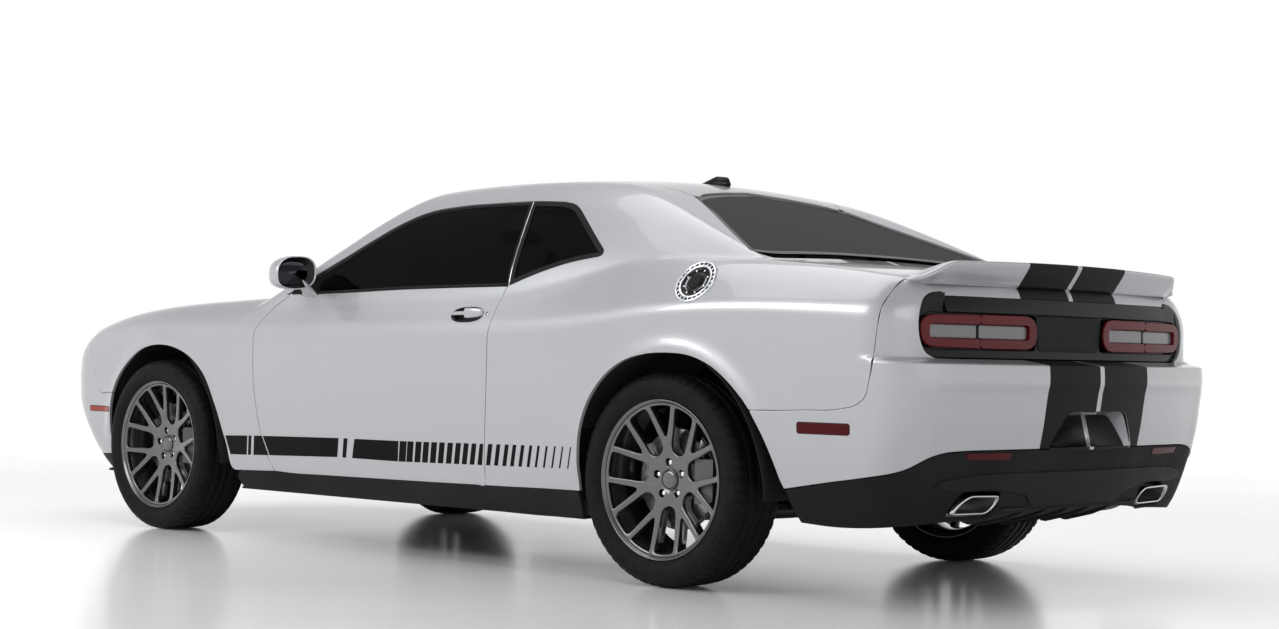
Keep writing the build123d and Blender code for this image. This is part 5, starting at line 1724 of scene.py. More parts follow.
def disc_mesh():
    """Vented brake disc with its hat. Outboard face at x .024."""
    out = lathe([(.0300, .0245), (.074, .0245), (.0775, .0235), (.0790, .0215), (.0790, .0160), (.0805, .0145), (.0835, .0145), (.168, .0145), (.1712, .0132), (.1718, .0115), (.1718, .0070), (.1600, .0066), (.1600, .0004),
                 (.1718, .0000), (.1718, -.0045), (.1705, -.0060), (.080, -.0060)], 120, 0)
    vanes = []
    for k in range(40):
        a = 2 * PI * k / 40
        b = rbox((-.0002, .128, -.0014), (.0068, .1695, .0014), .0008, 1)
        vanes.append(turned(b, Matrix.Rotation(a, 4, "X")))
    return joined(out, *vanes)


TY, (RIM_M, NUT_M, CAP_M, RING_M, VALVE_M), DISC_M = tyre_mesh(), rim_mesh(), disc_mesh()
for end, cx, cy in (("front", .800, -1.576), ("rear", .812, 1.370)):
    for side, s in (("left", 1), ("right", -1)):
        body = f"wheel_{end}_{side}"
        # turn each wheel a little differently, as parked cars do
        spin = Matrix.Rotation(math.radians({("front", "left"): 8, ("rear", "left"): 3, ("front", "right"): -14, ("rear", "right"): 21}[(end, side)]), 4, "X")
        m = Matrix.Translation((cx * s, cy, .362)) @ Matrix.Diagonal((s, 1, 1, 1)) @ spin
        piece(f"tyre_casing_{end}_{side}", turned(TY, m), M_TYRE, body, f"tyre_{end}_{side}", "tyre")
        piece(f"wheel_face_{end}_{side}", turned(RIM_M, m), M_GUN, body, f"rim_{end}_{side}", "gunmetal")
        piece(f"wheel_nuts_{end}_{side}", turned(NUT_M, m), M_CHROME, body, slot="steel")
        piece(f"wheel_cap_{end}_{side}", turned(CAP_M, m), M_GUN, body, slot="gunmetal")
        piece(f"wheel_cap_ring_{end}_{side}", turned(RING_M, m), M_GUN, body, slot="steel")
        piece(f"wheel_valve_{end}_{side}", turned(VALVE_M, m), M_GASKET, body, slot="black_trim")
        piece(f"disc_rotor_{end}_{side}", turned(DISC_M, m), M_DISC, body, f"brake_disc_{end}_{side}", "steel")

# ================================================================= skirts
sk = outline(S((-.968, .276), (-.85, .2805), (-.40, .286), (.0, .2905), (.50, .2965), (.80, .2995), (.985, .3015)), S((.990, .26), (.984, .214)), S((.90, .207), (.40, .206), (-.40, .206), (-.92, .207)), S((-.985, .216), (-1.004, .250)))
c = patch(ROLL, [sk], off=-.001, gap=.001, du=.03, dv=.012)
d = c.solid(.014, .005, 3)
piece("sill_skirt_left", d, M_SATIN, "car_body", "side_skirts", "black_trim")
piece("sill_skirt_right", flipped(d), M_SATIN, "car_body", (), "black_trim")
# the skirt's foot turned under
under = []
for y0, y1 in ((-1.0, .985),):
    pts = []
    ys = np.linspace(y0, y1, 40)
    xo = side_x(ys, np.full_like(ys, .215)) - .004
    r = [np.c_[xo, ys, np.full_like(ys, .212)], np.c_[xo - .006, ys, np.full_like(ys, .204)], np.c_[xo - .060, ys, np.full_like(ys, .206)], np.c_[xo - .060, ys, np.full_like(ys, .214)]]
    rings = [np.array([q[i] for q in r]) for i in range(len(ys))]
    under.append(loft(rings, True, True))
pair("sill_foot", joined(*under), M_TEXTURED, "car_body", slot="black_trim")

# ================================================================= side stripe, cut at the door's seams
U0 = 3.0


def y_at(px):
    k = (px + U0 - 639.5) / 2214
    return 6.44 - (3.742 - 3.934 * k) / (.7246 + .6891 * k)


ST_TOP = lambda y: np.interp(y, (-1.069, -.441, .012, .992), (.420, .436, .439, .457))
ST_LOW = lambda y: np.interp(y, (-1.041, -.322, .007, .963), (.343, .363, .362, .380))


def quad(t0, t1, b0, b1):
    """Slanted block of stripe between top px t0..t1 and bottom px b0..b1, as knots (y, z)."""
    a, b, c, d = y_at(t0), y_at(t1), y_at(b1), y_at(b0)
    return [(a, float(ST_TOP(a))), (b, float(ST_TOP(b))), (c, float(ST_LOW(c))), (d, float(ST_LOW(d)))]


def decal(kn, du=.06, dv=.03):
    kn = [tuple(k) for k in kn]
    L = np.array(S(*[tuple(p) for p in even(np.array(kn), .018)]))
    return Cut(ROLL, [L], off=.0009, gap=0, du=du, dv=dv).solid(.0010, .0002, 1)


X = lambda x: x / 4 + 225
seam_f = lambda z: np.interp(z, (.289, .340, .410, .490), (-.720, -.768, -.812, -.842))
F_parts = [
    [(-1.0655, .419), (y_at(X(84)), float(ST_TOP(y_at(X(84))))), (y_at(X(78)), float(ST_LOW(y_at(X(78))))), (-1.036, .3435)],
    quad(X(90), X(101), X(84), X(95)),
    [(y_at(X(112)), float(ST_TOP(y_at(X(112))))), (-.8185, .4265), (-.7790, .3505), (y_at(X(106)), float(ST_LOW(y_at(X(106)))))],
]
D_parts = [
    [(-.8105, .4268), (y_at(X(450)), float(ST_TOP(y_at(X(450))))), (y_at(X(442)), float(ST_LOW(y_at(X(442))))), (-.7705, .3508)],
    quad(X(471), X(486), X(463), X(477)),
    quad(X(514), X(690), X(502), X(684)),
]
Q_parts = []
tops = [696, 727, 760, 791, 823, 855, 888, 921, 953, 985, 1017, 1051, 1085, 1119, 1151, 1185, 1219, 1252, 1286, 1320, 1352, 1386]
wide = [27, 24, 23, 22, 22, 21, 21, 20, 19, 18, 18, 17, 15, 15, 14, 13, 11, 8.5, 7, 6, 5, 4.5]
for t, w in zip(tops, wide):
    sl = 8 + 10 * (t - 690) / 700
    k = quad(X(t), X(t + w), X(t - sl), X(t + w - sl))
    ys = [q[0] for q in k]
    if max(ys) < .5065:
        D_parts.append(k)
    elif min(ys) > .517:
        Q_parts.append(k)
    else:                                   # the bar that the door's rear seam runs through
        cut = lambda k, lo, hi: [(min(max(y, lo), hi), z) for y, z in k]
        if min(ys) < .500:
            D_parts.append(cut(k, -9, .5065))
        if max(ys) > .524:
            Q_parts.append(cut(k, .5175, 9))
pair("stripe_fender", joined(*[decal(k) for k in F_parts]), M_VINYL, "car_body", slot="black_trim")
pair("stripe_door", joined(*[decal(k) for k in D_parts]), M_VINYL, "{s}_door", slot="black_trim")
pair("stripe_quarter", joined(*[decal(k) for k in Q_parts]), M_VINYL, "car_body", slot="black_trim")

# ================================================================= side markers
def marker(name, y0, y1, z0, z1, mat, slot):
    L = round_rect(y0, z0, y1, z1, .008, 5)
    L = even(L, .012)
    P = np.array(S(*[tuple(p) for p in L]))
    lens = Cut(ROLL, [P], off=.0018, gap=.0020, du=.02, dv=.01).solid(.006, .0020, 3)
    rim_ = Cut(ROLL, [P, P], off=.0004, gap=(-.0012, .0018), du=.03, dv=.02).solid(.004, .0006, 1)
    pair(name, lens, mat, "car_body", slot=slot)
    pair(name + "_rim", rim_, M_GASKET, "car_body", slot="black_trim")


marker("rear_side_marker", 1.982, 2.180, .542, .577, M_RED_DEEP, "red_lens")
marker("front_side_marker", -2.168, -1.975, .488, .511, M_AMBER, "lamp_lens")

# ================================================================= fuel filler
def on_body(y, z, f=f_body):
    P = np.array(S((y, z), f=f))
    N = gradient(f, P)
    return P[0], N[0]


P0, N0 = on_body(1.512, 1.026)
Mf = aimed(P0, N0, (0, 1, 0))
ring1 = lathe([(.0815, -.004), (.0825, .0015), (.0815, .0045), (.0790, .0062), (.0765, .0050), (.0755, .0020), (.0755, -.004)], 96, 2)
teeth = []
for k in range(24):
    a = 2 * PI * k / 24
    teeth.append(turned(rbox((.0672, -.0032, .0000), (.0748, .0032, .0030), .0012, 2), Matrix.Rotation(a, 4, "Z")))
ring2 = lathe([(.0668, .000), (.0668, .0040), (.0655, .0058), (.0630, .0062), (.0600, .0052), (.0585, .0030), (.0585, .000)], 96, 2)
cup = lathe([(.0585, .0030), (.0560, .0005), (.040, -.0005), (.034, .0010), (.031, .0030)], 72, 2)
bolts = []
for k in range(8):
    a = 2 * PI * (k + .5) / 8
    bolts.append(turned(lathe([(0, .0032), (.0024, .0032), (.0036, .0022), (.0038, .0002)], 12, 2), Matrix.Translation((.0475 * math.cos(a), .0475 * math.sin(a), -.0002))))
boss = lathe([(0, .0078), (.012, .0076), (.022, .0068), (.0265, .0052), (.0290, .0025), (.0300, -.001)], 64, 2)
base = lathe([(.0830, -.003), (.0830, -.0045), (0, -.0045)], 64, 2)
seat = lathe([(.0765, .0012), (.0660, .0012), (.0660, -.002), (.0765, -.002)], 96, 2)
piece("filler_seat", turned(seat, Mf), M_GLOSS, "car_body", slot="gloss_black")
piece("filler_ring", turned(joined(ring1, *teeth), Mf), M_CHROME, "car_body", slot="steel")
piece("filler_inner_ring", turned(ring2, Mf), M_CHROME, "car_body", slot="steel")
piece("filler_cup", turned(joined(cup, base), Mf), M_GLOSS, "car_body", slot="gloss_black")
piece("filler_bolts", turned(joined(*bolts), Mf), M_CHROME, "car_body", slot="steel")
piece("filler_button", turned(boss, Mf), M_SATIN, "car_body", slot="black_trim")

# ================================================================= door handles
def oval(cy, cz, a, b, tilt, n=48, p=2.35):
    t = 2 * PI * np.arange(n) / n
    u = a * np.sign(np.cos(t)) * np.abs(np.cos(t)) ** (2 / p); v = b * np.sign(np.sin(t)) * np.abs(np.sin(t)) ** (2 / p)
    c, s = math.cos(tilt), math.sin(tilt)
    return np.c_[cy + u * c - v * s, cz + u * s + v * c]


HY, HZ = .3985, .916
lo_ = oval(HY, HZ, .0930, .0340, .02)
Pq = np.array(S(*[tuple(p) for p in lo_]))
lip_ = Cut(ROLL, [Pq, np.array(S(*[tuple(p) for p in oval(HY, HZ, .0885, .0295, .02)]))], off=.0012, gap=0, du=.02, dv=.02).solid(.004, .0010, 2)
bowl = Cut(ROLL, [np.array(S(*[tuple(p) for p in oval(HY, HZ, .0890, .0300, .02)]))], off=.0006, gap=0, du=.006, dv=.005)
# the bowl sinks in the middle
cy_, cz_ = HY, HZ
d_ = ((bowl.P[:, 1] - cy_) / .089) ** 2 + ((bowl.P[:, 2] - cz_) / .030) ** 2
bowl.P = bowl.P - bowl.N * (.0130 * np.clip(1 - d_, 0, 1) ** .5)[:, None]
Vb, Fb, _ = bowl.skin()
pair("handle_bowl", (np.array(Vb), Fb, None), M_GLOSS, "{s}_door", slot="gloss_black")
pair("handle_lip", lip_, M_PAINT, "{s}_door", slot="body_paint")
# pull: a half shell over the upper part
rings = []
for t in np.linspace(-1, 1, 25):
    y = HY + .0840 * t
    w = math.sqrt(max(0, 1 - (t * .985) ** 2.6))
    z_mid = HZ + .0060 + .003 * t * .6
    xs0 = float(np.array(S((y, z_mid)))[0, 0])
    ht, th = .0190 * (.35 + .65 * w), .0055
    bow = .0130 * (1 - t ** 4) + .0008
    ring = []
    for a in np.linspace(0, 2 * PI, 17)[:-1]:
        ring.append((xs0 + bow + th * math.cos(a) * (.45 + .55 * w), y, z_mid + ht * math.sin(a) - 0.0 * t))
    rings.append(ring)
V_, F_, _ = loft(rings, True, True)
pair("handle_pull", (V_, F_, None), M_PAINT, "{s}_door", slot="body_paint")
P1, N1 = on_body(HY + .106, HZ + .004)
pair("door_lock", turned(lathe([(0, .0012), (.0062, .0012), (.0078, .0006), (.0082, -.002)], 24, 2), aimed(P1, N1, (0, 1, 0))), M_DARK_CHROME, "{s}_door", slot="steel")

# ================================================================= door mirrors
def superring(c, a, b, n=40, p=2.5, ax=(1, 0, 0), az=(0, 0, 1)):
    t = 2 * PI * np.arange(n) / n
    u = np.sign(np.cos(t)) * np.abs(np.cos(t)) ** (2 / p); v = np.sign(np.sin(t)) * np.abs(np.sin(t)) ** (2 / p)
    return np.array(c) + a * u[:, None] * np.array(ax) + b * v[:, None] * np.array(az)


mx, my, mz = .992, -.540, 1.078
def mring(y, k, grow=0):
    # teardrop: outer end lower and rounder
    R = superring((mx, y, mz), .098 * k + grow, .066 * k + grow, 48, 2.6)
    out = (R[:, 0] - mx) / .098
    R[:, 2] -= .010 * np.clip(out, 0, 1) ** 2 * k
    R[:, 2] += .006 * np.clip(-out, 0, 1) * k
    return R
ks = [(-.0840, .18), (-.0815, .42), (-.0760, .60), (-.0650, .775), (-.0500, .890), (-.0300, .965), (-.010, .995), (.008, 1.0), (.0150, .985), (.0175, .955)]
V_, F_, _ = loft([mring(my + y, k) for y, k in ks], True, False)
n_ = 48
F_.append(tuple(range(n_))[::-1])
inner_ = [mring(my + .0175, .955), mring(my + .0160, .925), mring(my + .0080, .915)]
Vi, Fi, _ = loft(inner_, True, False)
pair("mirror_housing", joined((V_, F_, None), (Vi, Fi, None)), M_PAINT, "{s}_door", "mirror_{s}", "body_paint")
g0 = mring(my + .0105, .918)
Vg = np.concatenate([g0, g0 - (0, .003, 0)]); Fg = [tuple(range(48)), tuple(range(95, 47, -1))] + [(i, 48 + i, 48 + (i + 1) % 48, (i + 1) % 48) for i in range(48)]
pair("mirror_glass", (Vg, Fg, None), M_MIRROR, "{s}_door", slot="gloss_black")
# foot: from the door's top to the housing
foot = []
for t in np.linspace(0, 1, 9):
    c0 = np.array((.893 + .060 * t ** 1.3, -.5650 + .018 * t, .990 + .046 * t ** .9))
    foot.append(superring(c0, .030 - .006 * t, .047 - .019 * t, 28, 2.4, (.50, 0, .86), (0, 1, 0)))
pair("mirror_foot", loft(foot, True, True), M_PAINT, "{s}_door", slot="body_paint")
pair("mirror_foot_seal", loft([superring((.8895, -.565, .9865), .0325, .0505, 28, 2.4, (.55, 0, .83), (0, 1, 0)), superring((.8925, -.565, .9895), .0325, .0505, 28, 2.4, (.50, 0, .86), (0, 1, 0))], True, True), M_GASKET, "{s}_door", slot="black_trim")

# ================================================================= aerial fin on the roof
rings = []
for t in np.linspace(0, 1, 16):
    y = .705 + .145 * t
    zb = float(np.array(T((0, y), f=f_cabin))[0, 2]) - .001
    h = .034 * min(1, (t * 1.9) ** .9) * (1 if t < .86 else math.sqrt(max(.02, 1 - ((t - .86) / .145) ** 2)))
    w = .0185 * math.sqrt(max(.012, 1 - (2 * t - 1) ** 2 * .9)) + .002
    ring = []
    for a in np.linspace(0, PI, 11):
        ring.append((w * math.cos(a) * (1 - .55 * math.sin(a) ** 1.5), y + .012 * math.sin(a) * t, zb + h * math.sin(a) ** .9))
    rings.append(ring)
piece("aerial_fin", loft(rings, True, True), M_GLOSS, "car_body", slot="gloss_black")

# ================================================================= front end
def tunnel(loop, steps, back_only=False):
    """Walls going in from an opening's edge. steps: (depth, scale) pairs from the opening inward."""
    c0 = np.array((0, 0, loop[:, 2].mean()))
    rings = []
    for d, k in steps:
        q = loop.copy()
        q[:, 0] = loop[:, 0] * k
        q[:, 2] = c0[2] + (loop[:, 2] - c0[2]) * (k if k > .97 else k - .0)
        # the ends of the opening sit further back, so they go in less
        q[:, 1] = loop[:, 1] + d * (1 - .45 * np.clip((np.abs(loop[:, 0]) - .45) / .35, 0, 1))
        rings.append(q)
    return rings


G3 = np.array(knots(NOSE_WAY, grille_loop)) if grille_loop.shape[1] == 2 else np.array(grille_loop)
I3 = np.array(knots(NOSE_WAY, intake_loop)) if intake_loop.shape[1] == 2 else np.array(intake_loop)
for nm, L3, deep in (("grille", G3, .085), ("intake", I3, .070)):
    N3 = gradient(f_body, L3)
    L3 = L3 - N3 * .004
    rg = tunnel(L3, [(0, 1.0), (deep * .4, .992), (deep, .975), (deep + .006, .974)])
    V, F, _ = loft(rg, True, False)
    n = len(L3)
    piece(nm + "_walls", (V, F, None), M_SATIN, "car_body", slot="black_trim")
    # back panel of mesh, as a strip of quads over the opening
    ring = rg[2]
    xs = np.linspace(-.97, .97, 61) * np.abs(ring[:, 0]).max()
    top, low = [], []
    for x in xs:
        s_ = ring[np.argsort(np.abs(ring[:, 0] - x))[:8]]
        hi = s_[s_[:, 2] > L3[:, 2].mean()]; lw = s_[s_[:, 2] <= L3[:, 2].mean()]
        hi = hi[0] if len(hi) else s_[0]; lw = lw[0] if len(lw) else s_[0]
        top.append((x, hi[1], hi[2])); low.append((x, lw[1], lw[2]))
    top, low = np.array(top), np.array(low)
    rows = [low + (top - low) * t for t in np.linspace(.0, 1, 9)]
    V = np.concatenate(rows + [r + (0, .004, 0) for r in rows])
    m_ = len(xs); F = []
    for layer, sgn in ((0, 1), (9, -1)):
        for j in range(8):
            for i in range(m_ - 1):
                q = ((layer + j) * m_ + i, (layer + j) * m_ + i + 1, (layer + j + 1) * m_ + i + 1, (layer + j + 1) * m_ + i)
                F.append(q if sgn > 0 else q[::-1])
    if nm == "grille":
        piece("grille_screen", (V, F, None), M_MESH, "car_body", "grille", "black_trim")
    else:
        piece("intake_screen", (V, F, None), M_MESH, "car_body", slot="black_trim")

nose = lambda x, z, off=0.0: float(nose_y(np.array([abs(x)]), np.array([z]))[0]) + off
# slim bright frame and bars in the grille
fr = []
for x in np.linspace(-.40, .40, 41):
    fr.append((x, nose(x, .735) + .050, .7385))
piece("grille_frame_top", tube(line(fr, .02), .0045, 8), M_DARK_CHROME, "car_body", slot="steel")
fr = [(x, nose(x, .655) + .050, .6515) for x in np.linspace(-.40, .40, 41)]
piece("grille_frame_low", tube(line(fr, .02), .0045, 8), M_DARK_CHROME, "car_body", slot="steel")
bars_ = []
for z in (.670, .687, .704, .721):
    bars_.append(tube(line([(x, nose(x, z) + .064, z) for x in np.linspace(-.42, .42, 31)], .03), .0032, 6))
for x in np.linspace(-.38, .38, 20):
    bars_.append(tube([(x, nose(x, .695) + .066, .655), (x, nose(x, .695) + .066, .695), (x, nose(x, .695) + .066, .737)], .0026, 6))
piece("grille_bars", joined(*bars_), M_GLOSS, "car_body", slot="gloss_black")
bars_ = []
for z in (.390, .428, .466):
    bars_.append(tube(line([(x, nose(x, z) + .034, z) for x in np.linspace(-.585, .585, 31)], .03), .0060, 8, flatness=.6))
piece("intake_bars", joined(*bars_), M_SATIN, "car_body", slot="black_trim")


def lamp(x, r, glow, name, z=.6965, back=.022):
    y = nose(x, z) + back
    turn = .10 + .30 * (abs(x) / .70) ** 2
    nrm = np.array((math.sin(turn) * (1 if x > 0 else -1), -math.cos(turn), 0))
    M = aimed((x, y, z), nrm, (0, 0, 1))
    bez = lathe([(r + .0050, -.045), (r + .0050, .004), (r + .0020, .0075), (r - .0015, .0060), (r - .0040, -.004), (r - .0040, -.012)], 72, 2)
    halo = lathe([(r - .0042, -.010), (r - .0045, -.0020), (r - .0070, .0002), (r - .0110, -.0008), (r - .0125, -.005), (r - .0128, -.012)], 72, 2)
    bowl_ = lathe([(r - .0130, -.010), (r - .022, -.022), (r - .036, -.034), (.020, -.042), (0, -.044)], 64, 2)
    eye = lathe([(0, -.010), (.012, -.0115), (.021, -.0155), (.0265, -.0215), (.0285, -.028), (.0290, -.038)], 48, 2)
    eye_ring = lathe([(.0290, -.036), (.0295, -.024), (.0325, -.020), (.0355, -.022), (.0360, -.036)], 48, 2)
    cover = lathe([(r - .0032, .0000), (r - .008, .0058), (r * .70, .0115), (r * .4, .0150), (0, .0165), (0, .0145), (r * .4, .0130), (r * .70, .0095), (r - .010, .0038), (r - .0052, -.0015), (r - .0032, .0)], 64, 2)
    return M, bez, halo, bowl_, eye, eye_ring, cover


first = True
for nm, x, r in (("outer", .672, .0690), ("inner", .512, .0690)):
    M, bez, halo, bowl_, eye, eye_ring, cover = lamp(x, r, 0, nm)
    for suf, dat, mat_, slot_ in (("bezel", bez, M_GLOSS, "gloss_black"), ("halo", halo, M_HALO, "lamp_lens"), ("bowl", bowl_, M_DARK_CHROME, "steel"), ("projector", eye, M_CLEAR_DARK, "lamp_lens"), ("projector_ring", eye_ring, M_CHROME, "steel"), ("cover", cover, M_CLEAR, "lamp_lens")):
        d = turned(dat, M)
        if first:
            piece(f"headlamp_{nm}_{suf}_left", d, mat_, "car_body", "headlights", slot_); piece(f"headlamp_{nm}_{suf}_right", flipped(d), mat_, "car_body", (), slot_)
            first = False
        else:
            pair(f"headlamp_{nm}_{suf}", d, mat_, "car_body", slot=slot_)
# fog lamps in the lower opening
M = aimed((.535, nose(.535, .428) + .030, .428), (.24, -.97, 0), (0, 0, 1))
pair("fog_lamp_shell", turned(lathe([(.044, -.03), (.044, .002), (.041, .006), (.037, .004), (.036, -.006)], 48, 2), M), M_GLOSS, "car_body", slot="gloss_black")
pair("fog_lamp_lens", turned(lathe([(0, .004), (.018, .0025), (.030, -.001), (.0365, -.006), (.0365, -.016), (0, -.018)], 48, 2), M), M_CLEAR_DARK, "car_body", slot="lamp_lens")

# chin under the painted bumper, and its blade
chin_half = path(E(-1, (0, .3140), (.30, .3120), (.50, .3085), (.68, .3030), (.78, .2990)) + S((-2.10, .2975), (-1.962, .3020)), S((-1.972, .27), (-2.00, .240)), S((-2.10, .232)) + E(-1, (.78, .228), (.68, .227)), E(-1, (.40, .226), (0, .226)))
c = patch(NOSE_WAY, [whole(chin_half)], gap=.001, off=-.001, du=.02, dv=.012)
report("chin", c)
piece("front_chin", c.solid(.014, .004, 3), M_SATIN, "car_body", slot="black_trim")
rings = []
for t in np.linspace(-1, 1, 61):
    x = .80 * t
    y = nose(x, .235) - .004
    d = .020 * (1 - .4 * abs(t) ** 4)
    rings.append([(x, y - d, .2235), (x, y - d - .003, .2270), (x, y - d, .2305), (x, y + .01, .2360), (x, y + .06, .2360), (x, y + .06, .2240), (x, y + .01, .2225)])
piece("front_blade", loft(rings, True, True), M_TEXTURED, "car_body", slot="black_trim")

# two inlets in the hood
def inlet(x0, x1, y0, y1):
    L = round_rect(x0, y0, x1, y1, .022, 6)
    L = even(L, .012)
    P = np.array(T(*[tuple(p) for p in L]))
    frame_ = Cut(Down(), [P, P], off=.0030, gap=(-.004, .006), du=.03, dv=.02).solid(.008, .003, 3)
    net = Cut(Down(), [P], off=.0010, gap=.004, du=.02, dv=.02).solid(.003, .0005, 1)
    return frame_, net


fr_, net = inlet(.135, .300, -1.900, -1.812)
pair("hood_inlet_frame", fr_, M_GLOSS, "hood_panel", slot="gloss_black")
pair("hood_inlet_mesh", net, M_MESH, "hood_panel", slot="black_trim")

# ================================================================= cowl, wipers
cw_half = path(T((0, -1.045), (.30, -1.032), (.55, -1.005), (.692, -.982)), T((.760, -.880), (.833, -.790)), T((.76, -.822), (.60, -.884), (.40, -.928), (.20, -.951), (0, -.958)))
c = Cut(Down(), [whole(cw_half)], f=f_lower, off=-.012, gap=.001, du=.02, dv=.012)
piece("cowl_grille", c.solid(.006, .002, 2), M_COWL, "car_body", "cowl", "black_trim")


def wiper(x0, y0, x1, y1, px, py):
    arm = []
    for t in np.linspace(0, 1, 12):
        x = px + (.5 * (x0 + x1) - px) * t; y = py + (.5 * (y0 + y1) - py) * t
        z = float(f_top_at(x, y)) + .012 + .010 * math.sin(PI * t)
        arm.append((x, y, z))
    blade = []
    for t in np.linspace(0, 1, 24):
        x = x0 + (x1 - x0) * t; y = y0 + (y1 - y0) * t
        blade.append((x, y, float(f_top_at(x, y)) + .0065))
    bl = tube(line(blade, .02), .0048, 8, flatness=.7)
    pivot = turned(lathe([(0, .030), (.010, .029), (.014, .024), (.015, .0), (.018, -.006)], 24, 2), Matrix.Translation((px, py, float(f_top_at(px, py)) - .010)))
    return joined(tube(arm, np.linspace(.0075, .0045, 12), 8, flatness=.6), bl, pivot)


def f_top_at(x, y):
    P = np.array(T((abs(x), y), f=f_body))
    return P[0, 2]


piece("wiper_left", wiper(.62, -.862, .04, -.905, .46, -.965), M_SATIN, "car_body", slot="black_trim")
piece("wiper_right", wiper(-.10, -.900, -.66, -.850, -.20, -.985), M_SATIN, "car_body", slot="black_trim")

# ================================================================= wheel housings
def housing(cy, x_in, x_out_f, r, a0, a1, name, stands=None):
    rings = []
    for a in np.linspace(math.radians(a0), math.radians(a1), 61):
        y, z = cy + r * math.cos(a), .362 + r * math.sin(a)
        k = .006 * math.sin(a * 22)                       # stiffening ribs pressed into the felt
        xo = x_out_f(y, z)
        n = np.array((0, math.cos(a), math.sin(a)))
        row = []
        xs = np.linspace(x_in, xo, 9)
        for i, x in enumerate(xs):
            lift = k * (1 if 1 < i < 7 else 0) * .5
            row.append(np.array((x, y, z)) + n * lift)
        back = [p + n * .004 for p in row[::-1]]
        rings.append(row + back)
    return loft(rings, True, True)


xb = lambda y, z: float(side_x(np.array([y]), np.array([z]))[0]) - .016
d = housing(1.370, .640, xb, .452, -6, 186, "rear")
pair("rear_wheel_housing", d, M_LINER, "car_body", slot="underbody")
d = housing(-1.576, .470, xb, .444, -8, 188, "front")
pair("front_wheel_housing", d, M_LINER, "car_body", slot="underbody")
# inner walls
for nm, cy, xi, r in (("rear", 1.370, .636, .452), ("front", -1.576, .466, .444)):
    ring = []
    for a in np.linspace(math.radians(-8), math.radians(188), 49):
        ring.append((cy + r * math.cos(a), .362 + r * math.sin(a)))
    ring = np.array(ring)
    M = np.eye(4); M[:3, 0] = (0, 1, 0); M[:3, 1] = (0, 0, 1); M[:3, 2] = (1, 0, 0); M[:3, 3] = (xi, 0, 0)
    holes = [disc_loop(.075, 32, (cy, .362))[::-1]] if nm == "rear" else [disc_loop(.115, 32, (cy, .37))[::-1]]
    pair(nm + "_housing_wall", plate(M, [even(ring, .04)] + holes, .005, .001, 1, du=.04, dv=.04), M_LINER, "car_body", slot="underbody")

# ================================================================= exhaust system
parts = []
for s in (1, -1):
    run = line([(s * .215, -1.10, .222), (s * .215, -.60, .212), (s * .215, .60, .212), (s * .215, 1.05, .216), (s * .235, 1.30, .226), (s * .300, 1.60, .262), (s * .360, 1.86, .300), (s * .400, 1.96, .315)], .04)
    parts.append(tube(run, .0265, 20))
    for y in (-.35, .35, .95):
        parts.append(turned(lathe([(.0268, -.02), (.0300, -.017), (.0300, .017), (.0268, .02)], 24, 1), Matrix.Translation((s * .215, y, .212))))
pipes = joined(*parts)
muff = []
for s in (1, -1):
    rings = []
    for y, k in ((1.945, .55), (1.950, .82), (1.962, .96), (1.985, 1.0), (2.205, 1.0), (2.228, .96), (2.240, .82), (2.245, .55)):
        rings.append(superring((s * .410, y, .322), .222 * k + .0, .066 * k, 44, 3.0))
    muff.append(loft(rings, True, True))
    for y in (2.00, 2.095, 2.19):
        muff.append(loft([superring((s * .410, y - .005, .322), .2235, .0675, 44, 3.0), superring((s * .410, y, .322), .2255, .0695, 44, 3.0), superring((s * .410, y + .005, .322), .2235, .0675, 44, 3.0)], True, False))
piece("exhaust_pipes", joined(pipes), M_STEEL_DARK, "car_body", "exhaust", "steel")
piece("exhaust_boxes", joined(*muff), M_STEEL_DARK, "car_body", slot="steel")
# middle box
mid = []
rings = []
for y, k in ((-.10, .5), (-.094, .85), (-.08, 1), (.34, 1), (.354, .85), (.36, .5)):
    rings.append(superring((0, y, .226), .165 * k, .040 * k, 36, 3.0))
piece("exhaust_middle_box", loft(rings, True, True), M_STEEL_DARK, "car_body", slot="steel")

# ================================================================= under the tail: spare well that closes the view
rings = []
for z, k in ((.262, .72), (.270, .86), (.290, .95), (.33, 1.0), (.43, 1.02)):
    rings.append(superring((0, 2.02, z), .32 * k, .26 * k, 40, 3.5, (1, 0, 0), (0, 1, 0)))
piece("spare_well", loft(rings, True, True), M_UNDER, "car_body", slot="underbody")

